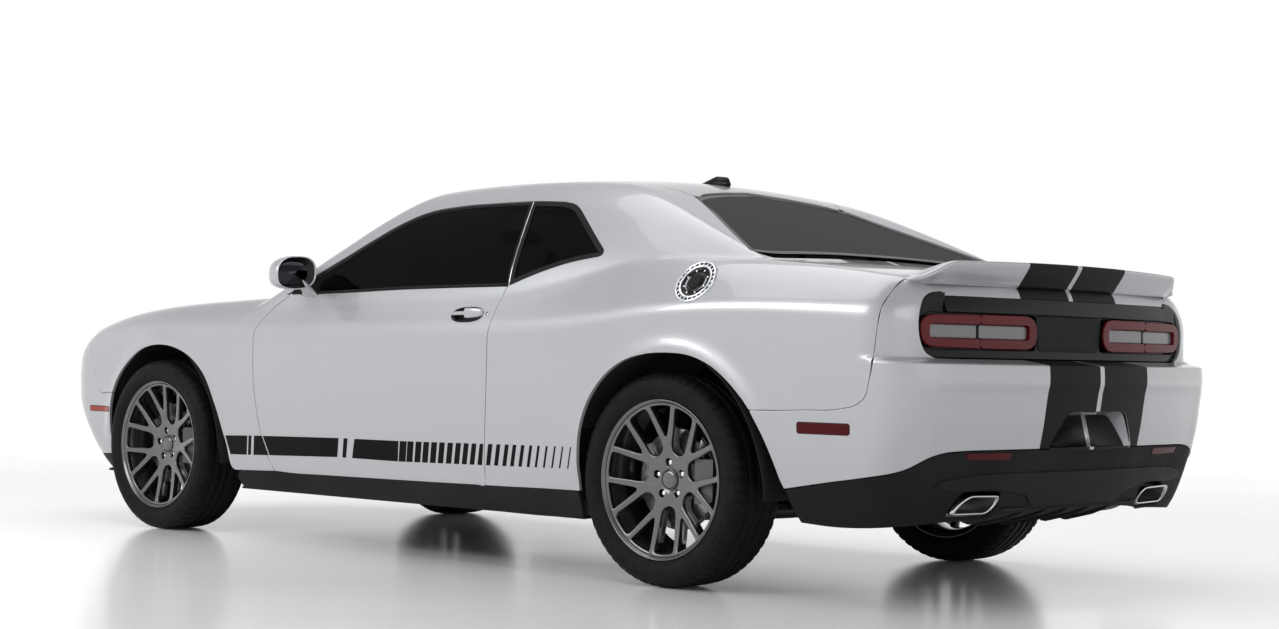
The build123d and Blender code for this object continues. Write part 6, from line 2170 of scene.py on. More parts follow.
# ================================================================= soft seats
def pad(w, L, t, bolster=.03, crown=.012, chans=(), seam=.60, taper=0.0, n_top=38, n_len=46, end=.030, p=4.5, back=.0):
    """Stuffed pad: x across, y along, z out of its base. Sides pull in, seams and channels are sewn into it."""
    rings = []
    ys = L * (.5 - .5 * np.cos(PI * np.linspace(.01, .99, n_len)))
    for y in ys:
        e = min(y, L - y)
        k = (1 - (1 - min(1, e / end)) ** 2.6) ** .5 if e < end else 1.0
        ww = w * (1 - taper * y / L) * (.955 + .045 * k)
        xs = ww * np.sin(PI / 2 * np.linspace(-1, 1, n_top))
        ax = np.abs(xs) / ww
        side = (1 - ax ** p) ** (1 / p)
        b = bolster * sstep((ax - seam + .02) / (.86 - seam)) * (1 - .35 * sstep((ax - .90) / .10))
        z = t + crown * np.cos(PI / 2 * np.clip(ax / seam, 0, 1)) * (ax < seam) + b
        groove = .0075 * np.exp(-((ax - seam) * ww / .0045) ** 2)
        for c in chans:
            groove = groove + .0070 * np.exp(-((y - c) / .0050) ** 2) * (ax < seam + .01)
        piping = .0016 * np.exp(-((ax - .93) * ww / .0030) ** 2)
        z = (z - groove + piping) * (.30 + .70 * k) * np.maximum(side, .08)
        top = np.c_[xs, np.full_like(xs, y), z]
        low = np.c_[xs[::-1][1:-1] * (.93 + back), np.full(n_top - 2, y), np.full(n_top - 2, 0.0)]
        rings.append(np.concatenate([top, low]))
    return loft(rings, True, True)


def frame_of(a, b, out):
    """Matrix with local y from a to b, x across the car and z towards out."""
    a, b, out = np.array(a, float), np.array(b, float), np.array(out, float)
    y = (b - a) / np.linalg.norm(b - a); z = out - y * np.dot(out, y); z /= np.linalg.norm(z); x = np.cross(y, z)
    M = np.eye(4); M[:3, 0], M[:3, 1], M[:3, 2], M[:3, 3] = x, y, z, a
    return M


def soft_piece(name, data, mat, body, stands=()):
    o = piece(name, data, mat, body, stands, "leather")
    return o


for side, s in (("left", 1), ("right", -1)):
    cx = .390 * s
    Mc = frame_of((cx, -.172, .352), (cx, .345, .335), (0, 0, 1))
    soft_piece(f"front_cushion_{side}", turned(pad(.245, .515, .086, .034, .012, (.10, .165, .23, .295, .36), .58, .04), Mc), M_LEATHER, "car_body", ["front_seats"] if s > 0 else [])
    Mb = frame_of((cx, .402, .405), (cx, .574, .955), (0, -1, .25))
    soft_piece(f"front_backrest_{side}", turned(pad(.245, .575, .072, .044, .012, (.13, .20, .27, .34, .41, .48), .56, .16), Mb), M_LEATHER, "car_body")
    Mh = frame_of((cx, .566, .940), (cx, .602, 1.115), (0, -1, .20))
    soft_piece(f"front_headrest_{side}", turned(pad(.128, .178, .064, .006, .012, (), .80, .10, n_top=26, n_len=26, end=.04, p=3.2), Mh), M_LEATHER_MID, "car_body")
    posts = joined(*[tube(line([(cx + d, .585, .905), (cx + d, .592, .955), (cx + d, .600, 1.02)], .02), .0065, 12) for d in (-.058, .058)])
    piece(f"headrest_posts_{side}", posts, M_CHROME, "car_body", slot="steel")
    shell = []
    for t in np.linspace(0, 1, 12):
        y = .430 + .170 * t; z = .36 + .60 * t
        shell.append(superring((cx, y + .004, z), .236 * (1 - .14 * t), .020 * (1 if t < .95 else .5), 36, 5, (1, 0, 0), (0, 1, 0)))
    piece(f"seat_shell_{side}", loft(shell, True, True), M_TEXTURED, "car_body", slot="black_trim")
    base = [superring((cx, .085, z), .215 * k, .235 * k, 40, 6, (1, 0, 0), (0, 1, 0)) for z, k in ((.2700, 1.0), (.30, .98), (.345, .97), (.352, .93))]
    piece(f"seat_base_{side}", loft(base, True, True), M_TEXTURED, "car_body", slot="black_trim")
    lever = turned(rbox((-.010, -.055, -.013), (.010, .055, .013), .009, 3), Matrix.Translation((cx + .2170 * s, .12, .325)))
    piece(f"seat_lever_{side}", lever, M_SATIN, "car_body", slot="black_trim")
    # inertia belt
    belt_ = [np.array(((.735 * s), .640, 1.155)), np.array((.728 * s, .622, .95)), np.array((.722 * s, .600, .70)), np.array((.715 * s, .575, .42))]
    bl = line(belt_, .03)
    rings = [np.array([(p_[0] - .0008 * s, p_[1] - .023, p_[2]), (p_[0] + .0008 * s, p_[1] - .023, p_[2]), (p_[0] + .0008 * s, p_[1] + .023, p_[2]), (p_[0] - .0008 * s, p_[1] + .023, p_[2])]) for p_ in bl]
    piece(f"seat_belt_{side}", loft(rings, True, True), M_BELT, "car_body", slot="leather")

# rear bench: two shaped places
for side, s in (("left", 1), ("right", -1)):
    cx = .298 * s
    Mc = frame_of((cx, .700, .362), (cx, 1.130, .340), (0, 0, 1))
    soft_piece(f"rear_cushion_{side}", turned(pad(.292, .43, .092, .022, .014, (.09, .16, .23, .30), .62, 0), Mc), M_LEATHER, "car_body", ["rear_seat"] if s > 0 else [])
    Mb = frame_of((cx, 1.190, .430), (cx, 1.385, .872), (0, -1, .35))
    soft_piece(f"rear_backrest_{side}", turned(pad(.290, .482, .075, .028, .012, (.10, .17, .24, .31, .38), .60, .03), Mb), M_LEATHER, "car_body")
bk = []
for x in np.linspace(-.600, .600, 9):
    bk.append([(x, 1.180, .355), (x, 1.262, .542), (x, 1.398, .850), (x, 1.402, .868), (x, 1.392, .872), (x, 1.185, .43), (x, 1.13, .352)])
piece("rear_seat_shell", loft(bk, True, True), M_CARPET, "car_body", slot="leather")

# ================================================================= dashboard
def dash_section(x):
    hood = math.exp(-((x - .370) / .150) ** 4)                   # instrument hood
    mid = math.exp(-(x / .155) ** 6)                             # centre stack
    pts = [(-1.055, .800), (-1.00, .890), (-.940, .926), (-.80, .932), (-.66, .930 + .004 * hood), (-.600, .928 + .012 * hood), (-.560, .918 + .020 * hood), (-.535, .902 + .018 * hood),
           (-.520, .882), (-.508 + .004 * mid, .850), (-.498, .815), (-.495, .780), (-.500, .745), (-.512, .715), (-.545, .680), (-.600, .645), (-.650, .625), (-.80, .622), (-1.055, .622)]
    return pts


rings = []
for x in np.concatenate([[-.728], np.linspace(-.722, .722, 61), [.728]]):
    P_ = np.array([(x, y, z) for y, z in dash_section(x)])
    if abs(x) > .725:
        c_ = P_.mean(0); P_ = c_ + (P_ - c_) * (1, .96, .94)
    rings.append(P_)
piece("dashboard_pad", loft(rings, True, True), M_DASH, "car_body", "dashboard", "black_trim")
trim_ = [[(x, -.5075 + .002 * math.cos(x * 2) - .0015, .818), (x, -.5020, .820), (x, -.4965, .800), (x, -.4960, .775), (x, -.5010, .762), (x, -.508, .764)] for x in np.linspace(-.700, .700, 31)]
piece("dashboard_trim_strip", loft(trim_, True, True), M_DARK_CHROME, "car_body", slot="steel")
vents, slats = [], []
for x, w in ((-.62, .058), (-.135, .0), (.62, .058), (.12, .0)):
    if w:
        vents.append(rbox((x - w, -.519, .838), (x + w, -.500, .884), .008, 3))
        for z in (.848, .861, .874):
            slats.append(rbox((x - w + .008, -.503, z - .0018), (x + w - .008, -.4965, z + .0018), .0016, 1))
vents.append(rbox((-.118, -.520, .842), (.118, -.4995, .888), .008, 3))
for z in (.852, .865, .878):
    slats.append(rbox((-.110, -.5025, z - .0018), (.110, -.4955, z + .0018), .0016, 1))
piece("dash_vents", joined(*vents), M_GLOSS, "car_body", slot="gloss_black")
piece("dash_vent_slats", joined(*slats), M_SATIN, "car_body", slot="black_trim")
piece("centre_screen", rbox((-.112, -.506, .756), (.112, -.4885, .834), .006, 3), M_SCREEN_OFF, "car_body", slot="gloss_black")
stack = [rbox((-.118, -.560, .630), (.118, -.500, .752), .010, 3)]
piece("centre_stack", joined(*stack), M_DASH, "car_body", slot="black_trim")
kn_ = []
for x in (-.075, 0, .075):
    kn_.append(turned(lathe([(0, .018), (.014, .0175), (.0165, .015), (.0175, .002), (.0185, .0)], 32, 2), aimed((x, -.5005, .715), (0, 1, 0), (0, 0, 1))))
for i in range(5):
    kn_.append(rbox((-.088 + i * .036, -.503, .660), (-.056 + i * .036, -.4955, .678), .003, 2))
piece("centre_controls", joined(*kn_), M_SATIN, "car_body", slot="black_trim")
# instruments in the hood
dials = []
for x in (.302, .438):
    dials.append(turned(lathe([(.0560, -.004), (.0560, .004), (.0530, .0062), (.0500, .0050), (.0490, .000)], 56, 2), aimed((x, -.5255, .862), (0, .94, .34), (0, 0, 1))))
piece("dial_rings", joined(*dials), M_DARK_CHROME, "car_body", slot="steel")
faces_ = [turned(lathe([(.0495, .0008), (.020, .0012), (0, .0014), (0, -.002), (.0495, -.002)], 48, 2), aimed((x, -.5255, .862), (0, .94, .34), (0, 0, 1))) for x in (.302, .438)]
piece("dial_faces", joined(*faces_), M_DIAL, "car_body", slot="gloss_black")

# ================================================================= steering wheel
CO = np.array((.370, -.380, .860)); cz = np.array((0, math.cos(math.radians(22)), math.sin(math.radians(22))))
MW = aimed(CO, cz, (1, 0, 0))
prof_ = [(.178 + .0140 * math.cos(a) * (1 + .06 * math.cos(2 * a)), .0135 * math.sin(a)) for a in np.linspace(0, 2 * PI, 21)]
V_, F_, _ = lathe(prof_, 96, 2)
# radius of each rim point from the wheel's axis
r_ = np.hypot(V_[:, 0], V_[:, 1])
wh_rim = (V_, F_, None)
piece("steering_wheel_rim", turned(wh_rim, MW), M_LEATHER, "steering", "steering_wheel", "leather")
hub = [superring((0, .0, z), .082 * k, .062 * k, 44, 2.7) for z, k in ((-.030, .80), (-.012, .95), (.000, 1.0), (.010, .97), (.016, .86), (.018, .60), (.0188, .2))]
hub = [np.c_[r[:, 0], r[:, 2] * 1.0, np.full(len(r), z)] for r, z in zip([superring((0, 0, 0), .082 * k, .062 * k, 44, 2.7) for k in (.80, .95, 1.0, .97, .86, .60, .2)], (-.030, -.012, 0, .010, .016, .018, .0188))]
piece("steering_hub_pad", turned(loft(hub, True, True), MW), M_DASH, "steering", slot="black_trim")
sp = []
up_local = np.array(MW)[:3, :3].T @ np.array((0, 0, 1.))
base_a = math.atan2(up_local[1], up_local[0])
for da in (90, -90, 180):
    a = base_a + math.radians(da)
    d2 = np.array((math.cos(a), math.sin(a), 0)); n2 = np.array((-math.sin(a), math.cos(a), 0))
    rr = []
    for t in np.linspace(0, 1, 7):
        c_ = d2 * (.055 + .112 * t) + np.array((0, 0, .004 - .008 * t))
        w_ = .026 - .008 * t if abs(da) == 90 else .020 - .004 * t
        ang = 2 * PI * np.arange(16) / 16
        rr.append(c_ + np.cos(ang)[:, None] * w_ * n2 + np.sin(ang)[:, None] * .0075 * np.array((0, 0, 1)))
    sp.append(loft(rr, True, True))
piece("steering_spokes", turned(joined(*sp), MW), M_DARK_CHROME, "steering", slot="steel")
piece("steering_column_shaft", turned(lathe([(.0158, -.030), (.0158, -.185), (0, -.185)], 24, 2), MW), M_STEEL, "steering", slot="steel")
sh = [np.c_[r[:, 0], r[:, 2] - .006, np.full(len(r), z)] for r, z in zip([superring((0, 0, 0), .050 * k, .047 * k, 32, 3) for k in (.92, 1.0, 1.05, 1.10)], (-.048, -.055, -.100, -.150))]
piece("column_shroud", turned(loft(sh, True, True), aimed(CO, cz, (1, 0, 0))), M_TEXTURED, "car_body", slot="black_trim")

# ================================================================= console, carpet, pedals
con = []
for y in np.linspace(-.56, .56, 21):
    t = (y + .56) / 1.12
    h = .50 + .03 * math.sin(PI * t) + (.045 * sstep((y - .12) / .10))
    con.append([(-.108, y, .262), (-.104, y, h - .02), (-.090, y, h), (.090, y, h), (.104, y, h - .02), (.108, y, .262)])
piece("centre_console", loft(con, True, True), M_TEXTURED, "car_body", slot="black_trim")
arm = [superring((0, y, .588), .082 * k, .024 * k, 32, 3.2) for y, k in ((.20, .5), (.206, .85), (.22, 1), (.50, 1), (.514, .85), (.52, .5))]
soft_piece("console_armrest", loft(arm, True, True), M_LEATHER, "car_body")
gear = joined(turned(lathe([(0, .132), (.016, .131), (.023, .124), (.0245, .112), (.020, .098), (.0135, .088), (.0125, .030), (.030, .004), (.044, .000)], 32, 2), Matrix.Translation((.0, -.12, .522))))
piece("gear_selector", gear, M_LEATHER_MID, "car_body", slot="leather")
cp = [[(-.80, y, .2485), (-.74, y, .2500), (-.13, y, .2500), (-.12, y, .2560), (-.11, y, .262), (.11, y, .262), (.12, y, .2560), (.13, y, .2500), (.74, y, .2500), (.80, y, .2485), (.80, y, .2400), (-.80, y, .2400)] for y in np.linspace(-1.075, .69, 12)]
piece("cabin_carpet", loft(cp, True, True), M_CARPET, "car_body", slot="leather")
pd = []
for x, w, z in ((.30, .036, .42), (.445, .022, .40), (.19, .030, .39)):
    pd.append(rbox((x - w, -.905, z - .045), (x + w, -.893, z + .045), .005, 2)); pd.append(tube([(x, -.90, z), (x, -.935, z + .11), (x, -.965, z + .22)], .007, 10))
piece("pedals", joined(*pd), M_STEEL_DARK, "car_body", slot="steel")

# ================================================================= head lining, inner mirror and side trims
hl = Cut(Down(), [whole(path(T((0, -.20), (.40, -.185), (.60, -.165), f=f_cabin), T((.655, -.03), (.645, .25), (.615, .50), (.57, .74), (.50, .93), f=f_cabin), T((.40, .955), (.20, .93), (0, .915), f=f_cabin)))], f=f_cabin, off=-.030, gap=0, du=.05, dv=.05)
piece("head_lining", hl.solid(.006, .001, 1), M_LINING, "car_body", slot="leather")
mir_ = [superring((0, -.300 + dy, 1.262), .118 * k, .031 * k, 40, 2.8) for dy, k in ((.020, .80), (.012, .96), (.000, 1.0), (-.014, .92), (-.024, .66))]
piece("inner_mirror", loft(mir_, True, True), M_SATIN, "car_body", slot="black_trim")
for side, s in (("left", 1), ("right", -1)):
    pass
# quarter trim panel inside
q = path(*[]) if False else None
qt = even(np.array([(.610, .34), (1.160, .34), (1.300, .56), (1.440, .90), (1.430, .985), (1.02, 1.060), (.82, 1.055), (.640, 1.015)]), .03)
qt = rounded(qt, .03, .03)
Mq = np.eye(4); Mq[:3, 0] = (0, 1, 0); Mq[:3, 1] = (0, 0, 1); Mq[:3, 2] = (-1, 0, 0); Mq[:3, 3] = (.700, 0, 0)
pair("quarter_trim", plate(Mq, [qt], .006, .002, 2, height=lambda u, v: -.030 * sstep((v - .62) / .30) + .012 * np.exp(-((v - .60) / .05) ** 2), du=.04, dv=.03), M_TEXTURED, "car_body", slot="black_trim")

# ================================================================= doors: shut faces and inner trim
ring0 = door.P[np.array(door.rings[0])]; Nr = door.N[np.array(door.rings[0])]
c0 = ring0.mean(0)
outer_r = ring0 - Nr * .0135
inner_r = outer_r.copy()
d_in = (inner_r - c0)[:, 1:]; d_in = d_in / np.maximum(np.linalg.norm(d_in, axis=1, keepdims=True), 1e-9)
inner_r[:, 0] = .840
inner_r[:, 1:] -= d_in * .010
mid_r = outer_r.copy(); mid_r[:, 0] = outer_r[:, 0] * .6 + .840 * .4; mid_r[:, 1:] -= d_in * .001
V_, F_, _ = loft([outer_r, mid_r, inner_r], True, False)
pair("door_shut_face", (V_, F_, None), M_PAINT, "{s}_door", slot="body_paint")
seal_r = inner_r.copy(); seal_r[:, 1:] += d_in * .001; seal_r[:, 0] = .8425
pair("door_seal", tube(np.concatenate([seal_r, seal_r[:2]]), .0055, 6, cap=False), M_GASKET, "{s}_door", slot="black_trim")
Md = np.eye(4); Md[:3, 0] = (0, 1, 0); Md[:3, 1] = (0, 0, 1); Md[:3, 2] = (-1, 0, 0); Md[:3, 3] = (.8395, 0, 0)


def door_height(u, v):
    arm_ = .034 * np.exp(-((v - .665 - .05 * (u + .1)) / .040) ** 4) * sstep((u + .52) / .10) * (1 - sstep((u - .38) / .10))
    pocket_ = .018 * np.exp(-((v - .40) / .065) ** 4) * sstep((u + .60) / .10) * (1 - sstep((u - .20) / .10))
    scoop = -.006 * np.exp(-((v - .79) / .055) ** 4) * sstep((u + .50) / .10) * (1 - sstep((u - .38) / .10))
    return arm_ + pocket_ + scoop


inner_loop = inner_r[:, 1:]
pair("door_trim", plate(Md, [inner_loop], .004, .0015, 2, height=door_height, du=.030, dv=.022), M_DOOR_TRIM, "{s}_door", slot="leather")
arm_top = [superring((.795, y, .694 + .05 * (y + .1)), .016 * k, .012 * k, 24, 2.6) for y, k in ((-.38, .4), (-.37, .85), (-.34, 1), (.26, 1), (.29, .85), (.30, .4))]
o_ = loft(arm_top, True, True)
for side, dd in (("left", o_), ("right", flipped(o_))):
    soft_piece(f"door_armrest_{side}", dd, M_LEATHER, f"{side}_door")
spk = plate(aimed((.8225, -.50, .42), (-1, 0, 0), (0, 1, 0)), [disc_loop(.062, 40)], .004, .002, 2, height=lambda u, v: .004 * (1 - (u * u + v * v) / .062 ** 2), du=.01, dv=.01)
pair("door_speaker", spk, M_MESH, "{s}_door", slot="black_trim")
rel = joined(rbox((.822, .02, .845), (.836, .14, .875), .006, 2))
pair("door_release", turned(rel, Matrix.Translation((-.004, 0, -.01))), M_CHROME, "{s}_door", slot="steel")

# door aperture in the body
aper = door_loop.copy() if isinstance(door_loop, np.ndarray) else np.array(door_loop)
Na = gradient(f_body, aper)
ca = aper.mean(0)
dv_ = (aper - ca)[:, 1:]; dv_ = dv_ / np.maximum(np.linalg.norm(dv_, axis=1, keepdims=True), 1e-9)
a0_ = aper - Na * .010; a0_[:, 1:] += dv_ * .0020
a1_ = a0_.copy(); a1_[:, 0] = .842; a1_[:, 1:] += dv_ * .003
a2_ = a1_.copy(); a2_[:, 0] = .826; a2_[:, 1:] -= dv_ * .012
a3_ = a2_.copy(); a3_[:, 0] = .790; a3_[:, 1:] -= dv_ * .004
V_, F_, _ = loft([a0_, a1_, a2_, a3_], True, False)
keep = []
for f in F_:
    z_ = V_[list(f), 2].mean(); y_ = V_[list(f), 1].mean()
    if z_ > .975 and -.70 < y_ < .60:
        continue
    keep.append(f[::-1])
pair("door_aperture", (V_, keep, None), M_PAINT, "car_body", slot="body_paint")

# kick panels close the footwells at both sides
kp = rbox((.700, -1.092, .246), (.838, -1.070, .800), .004, 2)
pair("firewall_side", kp, M_LINER, "car_body", slot="underbody")
kp = plate(aimed((.812, -.965, .560), (-1, 0, 0), (0, 1, 0)), [round_rect(-.110, -.300, .095, .300, .03, 6)], .006, .002, 2, height=lambda u, v: .004 * np.exp(-(u / .05) ** 2), du=.03, dv=.04)
pair("kick_panel", kp, M_TEXTURED, "car_body", slot="black_trim")
sill_in = [[(.735, y, .246), (.742, y, .262), (.765, y, .2760), (.805, y, .2795), (.828, y, .276), (.828, y, .262), (.80, y, .246)] for y in np.linspace(-.86, .60, 9)]
pair("sill_trim", loft(sill_in, True, True), M_TEXTURED, "car_body", slot="black_trim")

# ================================================================= engine bay
def slab_(lo, hi, r=.006):
    return rbox(lo, hi, r, 2)


fw = [[(x, -1.085, .243), (x, -1.090, .50), (x, -1.105, .72), (x, -1.118, .90 - .02 * (x / .6) ** 2), (x, -1.100, .905 - .02 * (x / .6) ** 2), (x, -1.085, .72), (x, -1.070, .50), (x, -1.065, .243)] for x in np.linspace(-.70, .70, 15)]
piece("firewall", loft(fw, True, True), M_LINER, "car_body", "engine_bay", "underbody")
ap = []
for y in np.linspace(-2.20, -1.10, 24):
    h = .770 + .045 * math.exp(-((y + 1.60) / .22) ** 4)
    zt = float(top_z(np.array([.66]), np.array([y]))[0]) - .050
    h = min(h + .0, zt)
    ap.append([(.452, y, .34), (.452, y, h - .06), (.470, y, h - .012), (.50, y, h), (.665, y, min(h + .012, zt)), (.690, y, min(h + .020, zt)), (.690, y, min(h + .020, zt) - .006), (.50, y, h - .008), (.460, y, h - .06), (.460, y, .34)])
pair("inner_wing", loft(ap, True, True), M_PAINT_SHADED, "car_body", slot="body_paint")
tow = lathe([(0, .040), (.030, .040), (.034, .034), (.036, .020), (.060, .012), (.078, .004), (.086, -.02)], 48, 2)
pair("strut_tower", turned(tow, Matrix.Translation((.575, -1.58, .800))), M_SATIN, "car_body", slot="black_trim")
rad = [slab_((-.46, -2.215, .34), (.46, -2.165, .735)), slab_((-.52, -2.235, .725), (.52, -2.145, .757), .010)]
piece("radiator", joined(*rad), M_RADIATOR, "car_body", slot="black_trim")
fan = []
for x in (-.22, .22):
    fan.append(turned(lathe([(.172, -.004), (.178, .010), (.168, .012), (.164, -.004)], 64, 1), Matrix.Translation((x, -2.150, .535))))
    for k in range(7):
        b_ = rbox((.030, -.006, -.020), (.160, .004, .020), .003, 1)
        fan.append(turned(b_, Matrix.Translation((x, -2.150, .535)) @ Matrix.Rotation(2 * PI * k / 7, 4, "Y") @ Matrix.Rotation(.35, 4, "X")))
    fan.append(turned(lathe([(0, .014), (.030, .012), (.036, .004), (.036, -.01)], 32, 1), Matrix.Translation((x, -2.150, .535))))
piece("cooling_fans", joined(*fan), M_SATIN, "car_body", slot="black_trim")
lock = slab_((-.60, -2.285, .705), (.60, -2.235, .742), .010)
piece("front_panel", lock, M_PAINT_SHADED, "car_body", slot="body_paint")
latch = joined(slab_((-.030, -2.272, .742), (.030, -2.246, .768), .004), tube([(-.018, -2.26, .765), (0, -2.26, .778), (.018, -2.26, .765)], .004, 8))
piece("hood_latch", latch, M_STEEL, "car_body", slot="steel")

# engine: block, heads, covers, plenum, pulleys
blk = [superring((0, y, .475), .150 * k, .170 * k, 36, 4.0) for y, k in ((-1.860, .86), (-1.850, .97), (-1.835, 1.0), (-1.30, 1.0), (-1.285, .97), (-1.275, .86))]
piece("engine_block", loft(blk, True, True), M_CAST, "car_body", "engine", "cast_iron")
for side, s in (("left", 1), ("right", -1)):
    R = Matrix.Translation((.168 * s, 0, .650)) @ Matrix.Rotation(math.radians(38 * s), 4, "Y")
    head = rbox((-.080, -1.840, -.085), (.080, -1.300, .030), .012, 3)
    piece(f"cylinder_head_{side}", turned(head, R), M_ALUMINIUM, "car_body", slot="cast_iron")
    cov = [np.c_[r[:, 0], np.full(len(r), y), r[:, 2] + .052] for r, y in zip([superring((0, 0, 0), .070 * k, .030 * k, 32, 3.4) for k in (.7, .95, 1, 1, .95, .7)], (-1.832, -1.826, -1.812, -1.328, -1.314, -1.308))]
    piece(f"valve_cover_{side}", turned(loft(cov, True, True), R), M_SATIN, "car_body", slot="black_trim")
    ribs_ = [rbox((-.052, y - .005, .080), (.052, y + .005, .0875), .003, 1) for y in np.linspace(-1.77, -1.37, 6)]
    piece(f"cover_ribs_{side}", turned(joined(*ribs_), R), M_ALUMINIUM, "car_body", slot="cast_iron")
    man = [tube(line([(.235 * s, y, .600), (.285 * s, y + .01, .570), (.300 * s, y * .6 - 1.55 * .4, .48), (.295 * s, -1.50, .40)], .03), .0185, 12) for y in (-1.76, -1.63, -1.50, -1.37)]
    piece(f"exhaust_manifold_{side}", joined(*man), M_CAST, "car_body", slot="cast_iron")
pl = [np.c_[r[:, 0], np.full(len(r), y), r[:, 2] + .735] for r, y in zip([superring((0, 0, 0), .125 * k, .052 * k, 40, 3.2) for k in (.55, .85, .97, 1, 1, .97, .85, .55)], (-1.800, -1.793, -1.775, -1.74, -1.40, -1.365, -1.347, -1.340))]
piece("intake_plenum", loft(pl, True, True), M_TEXTURED, "car_body", slot="black_trim")
rib = [rbox((-.100, y - .006, .780), (.100, y + .006, .7935), .004, 2) for y in np.linspace(-1.72, -1.42, 7)]
piece("plenum_ribs", joined(*rib), M_SATIN, "car_body", slot="black_trim")
acc = []
for x, z, r in ((0, .42, .078), (.16, .62, .045), (-.17, .64, .052), (.0, .60, .050), (-.19, .42, .055), (.20, .44, .05)):
    acc.append(turned(lathe([(0, -.030), (r * .4, -.030), (r * .45, -.024), (r, -.022), (r, -.018), (r * .94, -.012), (r, -.006), (r, -.002), (r * .9, 0), (0, .0)], 48, 1), Matrix.Translation((x, -1.862, z))))
piece("pulleys", joined(*acc), M_ALUMINIUM, "car_body", slot="steel")
# air box with trunk, battery, reservoirs, hoses
piece("air_box", joined(slab_((-.438, -1.965, .560), (-.235, -1.700, .755), .022), tube(line([(-.30, -1.93, .72), (-.22, -1.99, .735), (-.08, -1.96, .742), (.0, -1.86, .742), (0, -1.80, .738)], .03), .042, 24)), M_TEXTURED, "car_body", slot="black_trim")
bt = joined(slab_((.315, -2.12, .52), (.445, -1.93, .700), .008), slab_((.320, -2.115, .700), (.440, -1.935, .716), .006))
piece("battery", bt, M_TEXTURED, "car_body", slot="black_trim")
res = [superring((.395, y, .665), .048 * k, .052 * k, 32, 3.4) for y, k in ((-1.42, .7), (-1.412, .95), (-1.40, 1), (-1.27, 1), (-1.258, .95), (-1.25, .7))]
piece("coolant_bottle", loft(res, True, True), M_FROST, "car_body", slot="lamp_lens")
caps = joined(turned(lathe([(0, .024), (.020, .023), (.024, .018), (.024, .0)], 24, 2), Matrix.Translation((.395, -1.335, .715))), turned(lathe([(0, .020), (.026, .019), (.030, .014), (.030, .0)], 24, 2), Matrix.Translation((-.12, -1.62, .790))))
piece("filler_caps", caps, M_SATIN, "car_body", slot="black_trim")
hs = [tube(line([(.30, -2.14, .68), (.30, -2.05, .70), (.18, -1.96, .69), (.06, -1.90, .66)], .03), .021, 16), tube(line([(-.33, -2.14, .42), (-.30, -2.02, .42), (-.16, -1.94, .44), (-.05, -1.90, .46)], .03), .021, 16)]
piece("radiator_hoses", joined(*hs), M_GASKET, "car_body", slot="black_trim")
brace = [tube([(-.55, -1.56, .835), (-.30, -1.48, .828), (0, -1.455, .826), (.30, -1.48, .828), (.55, -1.56, .835)], .013, 14)]
# hood inner frame
def hoodz(x, y, d):
    return float(np.array(T((abs(x), y)))[0, 2]) - d


hf = []
for y0, y1 in ((-1.10, -1.17), (-2.22, -2.14), (-1.66, -1.60)):
    ring_ = []
    for x in np.linspace(-.60, .60, 25):
        z = hoodz(x, (y0 + y1) / 2, .0165)
        ring_.append([(x, y0, z), (x, y0 + (y1 - y0) * .25, z - .018), (x, y0 + (y1 - y0) * .75, z - .018), (x, y1, z)])
    hf.append(loft(ring_, True, True))
for x0 in (-.56, 0.0, .56):
    ring_ = []
    for y in np.linspace(-1.12, -2.20, 25):
        z = min(hoodz(x0 - .03, y, .0165), hoodz(x0 + .03, y, .0165))
        ring_.append([(x0 - .035, y, z), (x0 - .018, y, z - .018), (x0 + .018, y, z - .018), (x0 + .035, y, z)])
    hf.append(loft(ring_, True, True))
piece("hood_frame", joined(*hf), M_PAINT_SHADED, "hood_panel", slot="body_paint")
# boot lid inner frame and boot trims
lf = []
for y0, y1 in ((1.68, 1.74), (2.20, 2.27)):
    ring_ = []
    for x in np.linspace(-.60, .60, 21):
        z = hoodz(x, (y0 + y1) / 2, .0160)
        ring_.append([(x, y0, z), (x, y0 + (y1 - y0) * .25, z - .018), (x, y0 + (y1 - y0) * .75, z - .018), (x, y1, z)])
    lf.append(loft(ring_, True, True))
for x0 in (-.52, 0.0, .52):
    ring_ = []
    for y in np.linspace(1.70, 2.25, 13):
        z = min(hoodz(x0 - .03, y, .0160), hoodz(x0 + .03, y, .0160))
        ring_.append([(x0 - .035, y, z), (x0 - .018, y, z - .018), (x0 + .018, y, z - .018), (x0 + .035, y, z)])
    lf.append(loft(ring_, True, True))
piece("lid_frame", joined(*lf), M_PAINT_SHADED, "boot_lid", slot="body_paint")
bc = [[(-.63, y, .4515), (-.60, y, .4535), (.60, y, .4535), (.63, y, .4515), (.63, y, .4505), (-.63, y, .4505)] for y in np.linspace(1.715, 2.30, 8)]
piece("boot_carpet", loft(bc, True, True), M_CARPET, "car_body", slot="leather")

# linings of the two lids, and the boot's side trims
pad_h = patch(HOOD_WAY, [whole(path(T((0, -1.085), (.30, -1.075), (.645, -1.055)), T((.655, -1.30), (.668, -1.70), (.690, -2.16)), T((.60, -2.215), (.30, -2.235), (0, -2.240))))], off=-.0155, du=.06, dv=.06)
piece("hood_lining", pad_h.solid(.0025, .0008, 1), M_LINER, "hood_panel", slot="underbody")
pad_b = patch(LID_WAY, [whole(path(T((0, 1.640), (.30, 1.650), (.62, 1.685)), T((.64, 1.80), (.65, 2.00), (.655, 2.255)), T((.40, 2.280), (0, 2.290))))], off=-.0155, du=.04, dv=.04)
piece("lid_lining", pad_b.solid(.0025, .0008, 1), M_PAINT_SHADED, "boot_lid", slot="body_paint")
Mk = np.eye(4); Mk[:3, 0] = (0, 1, 0); Mk[:3, 1] = (0, 0, 1); Mk[:3, 2] = (-1, 0, 0); Mk[:3, 3] = (.652, 0, 0)
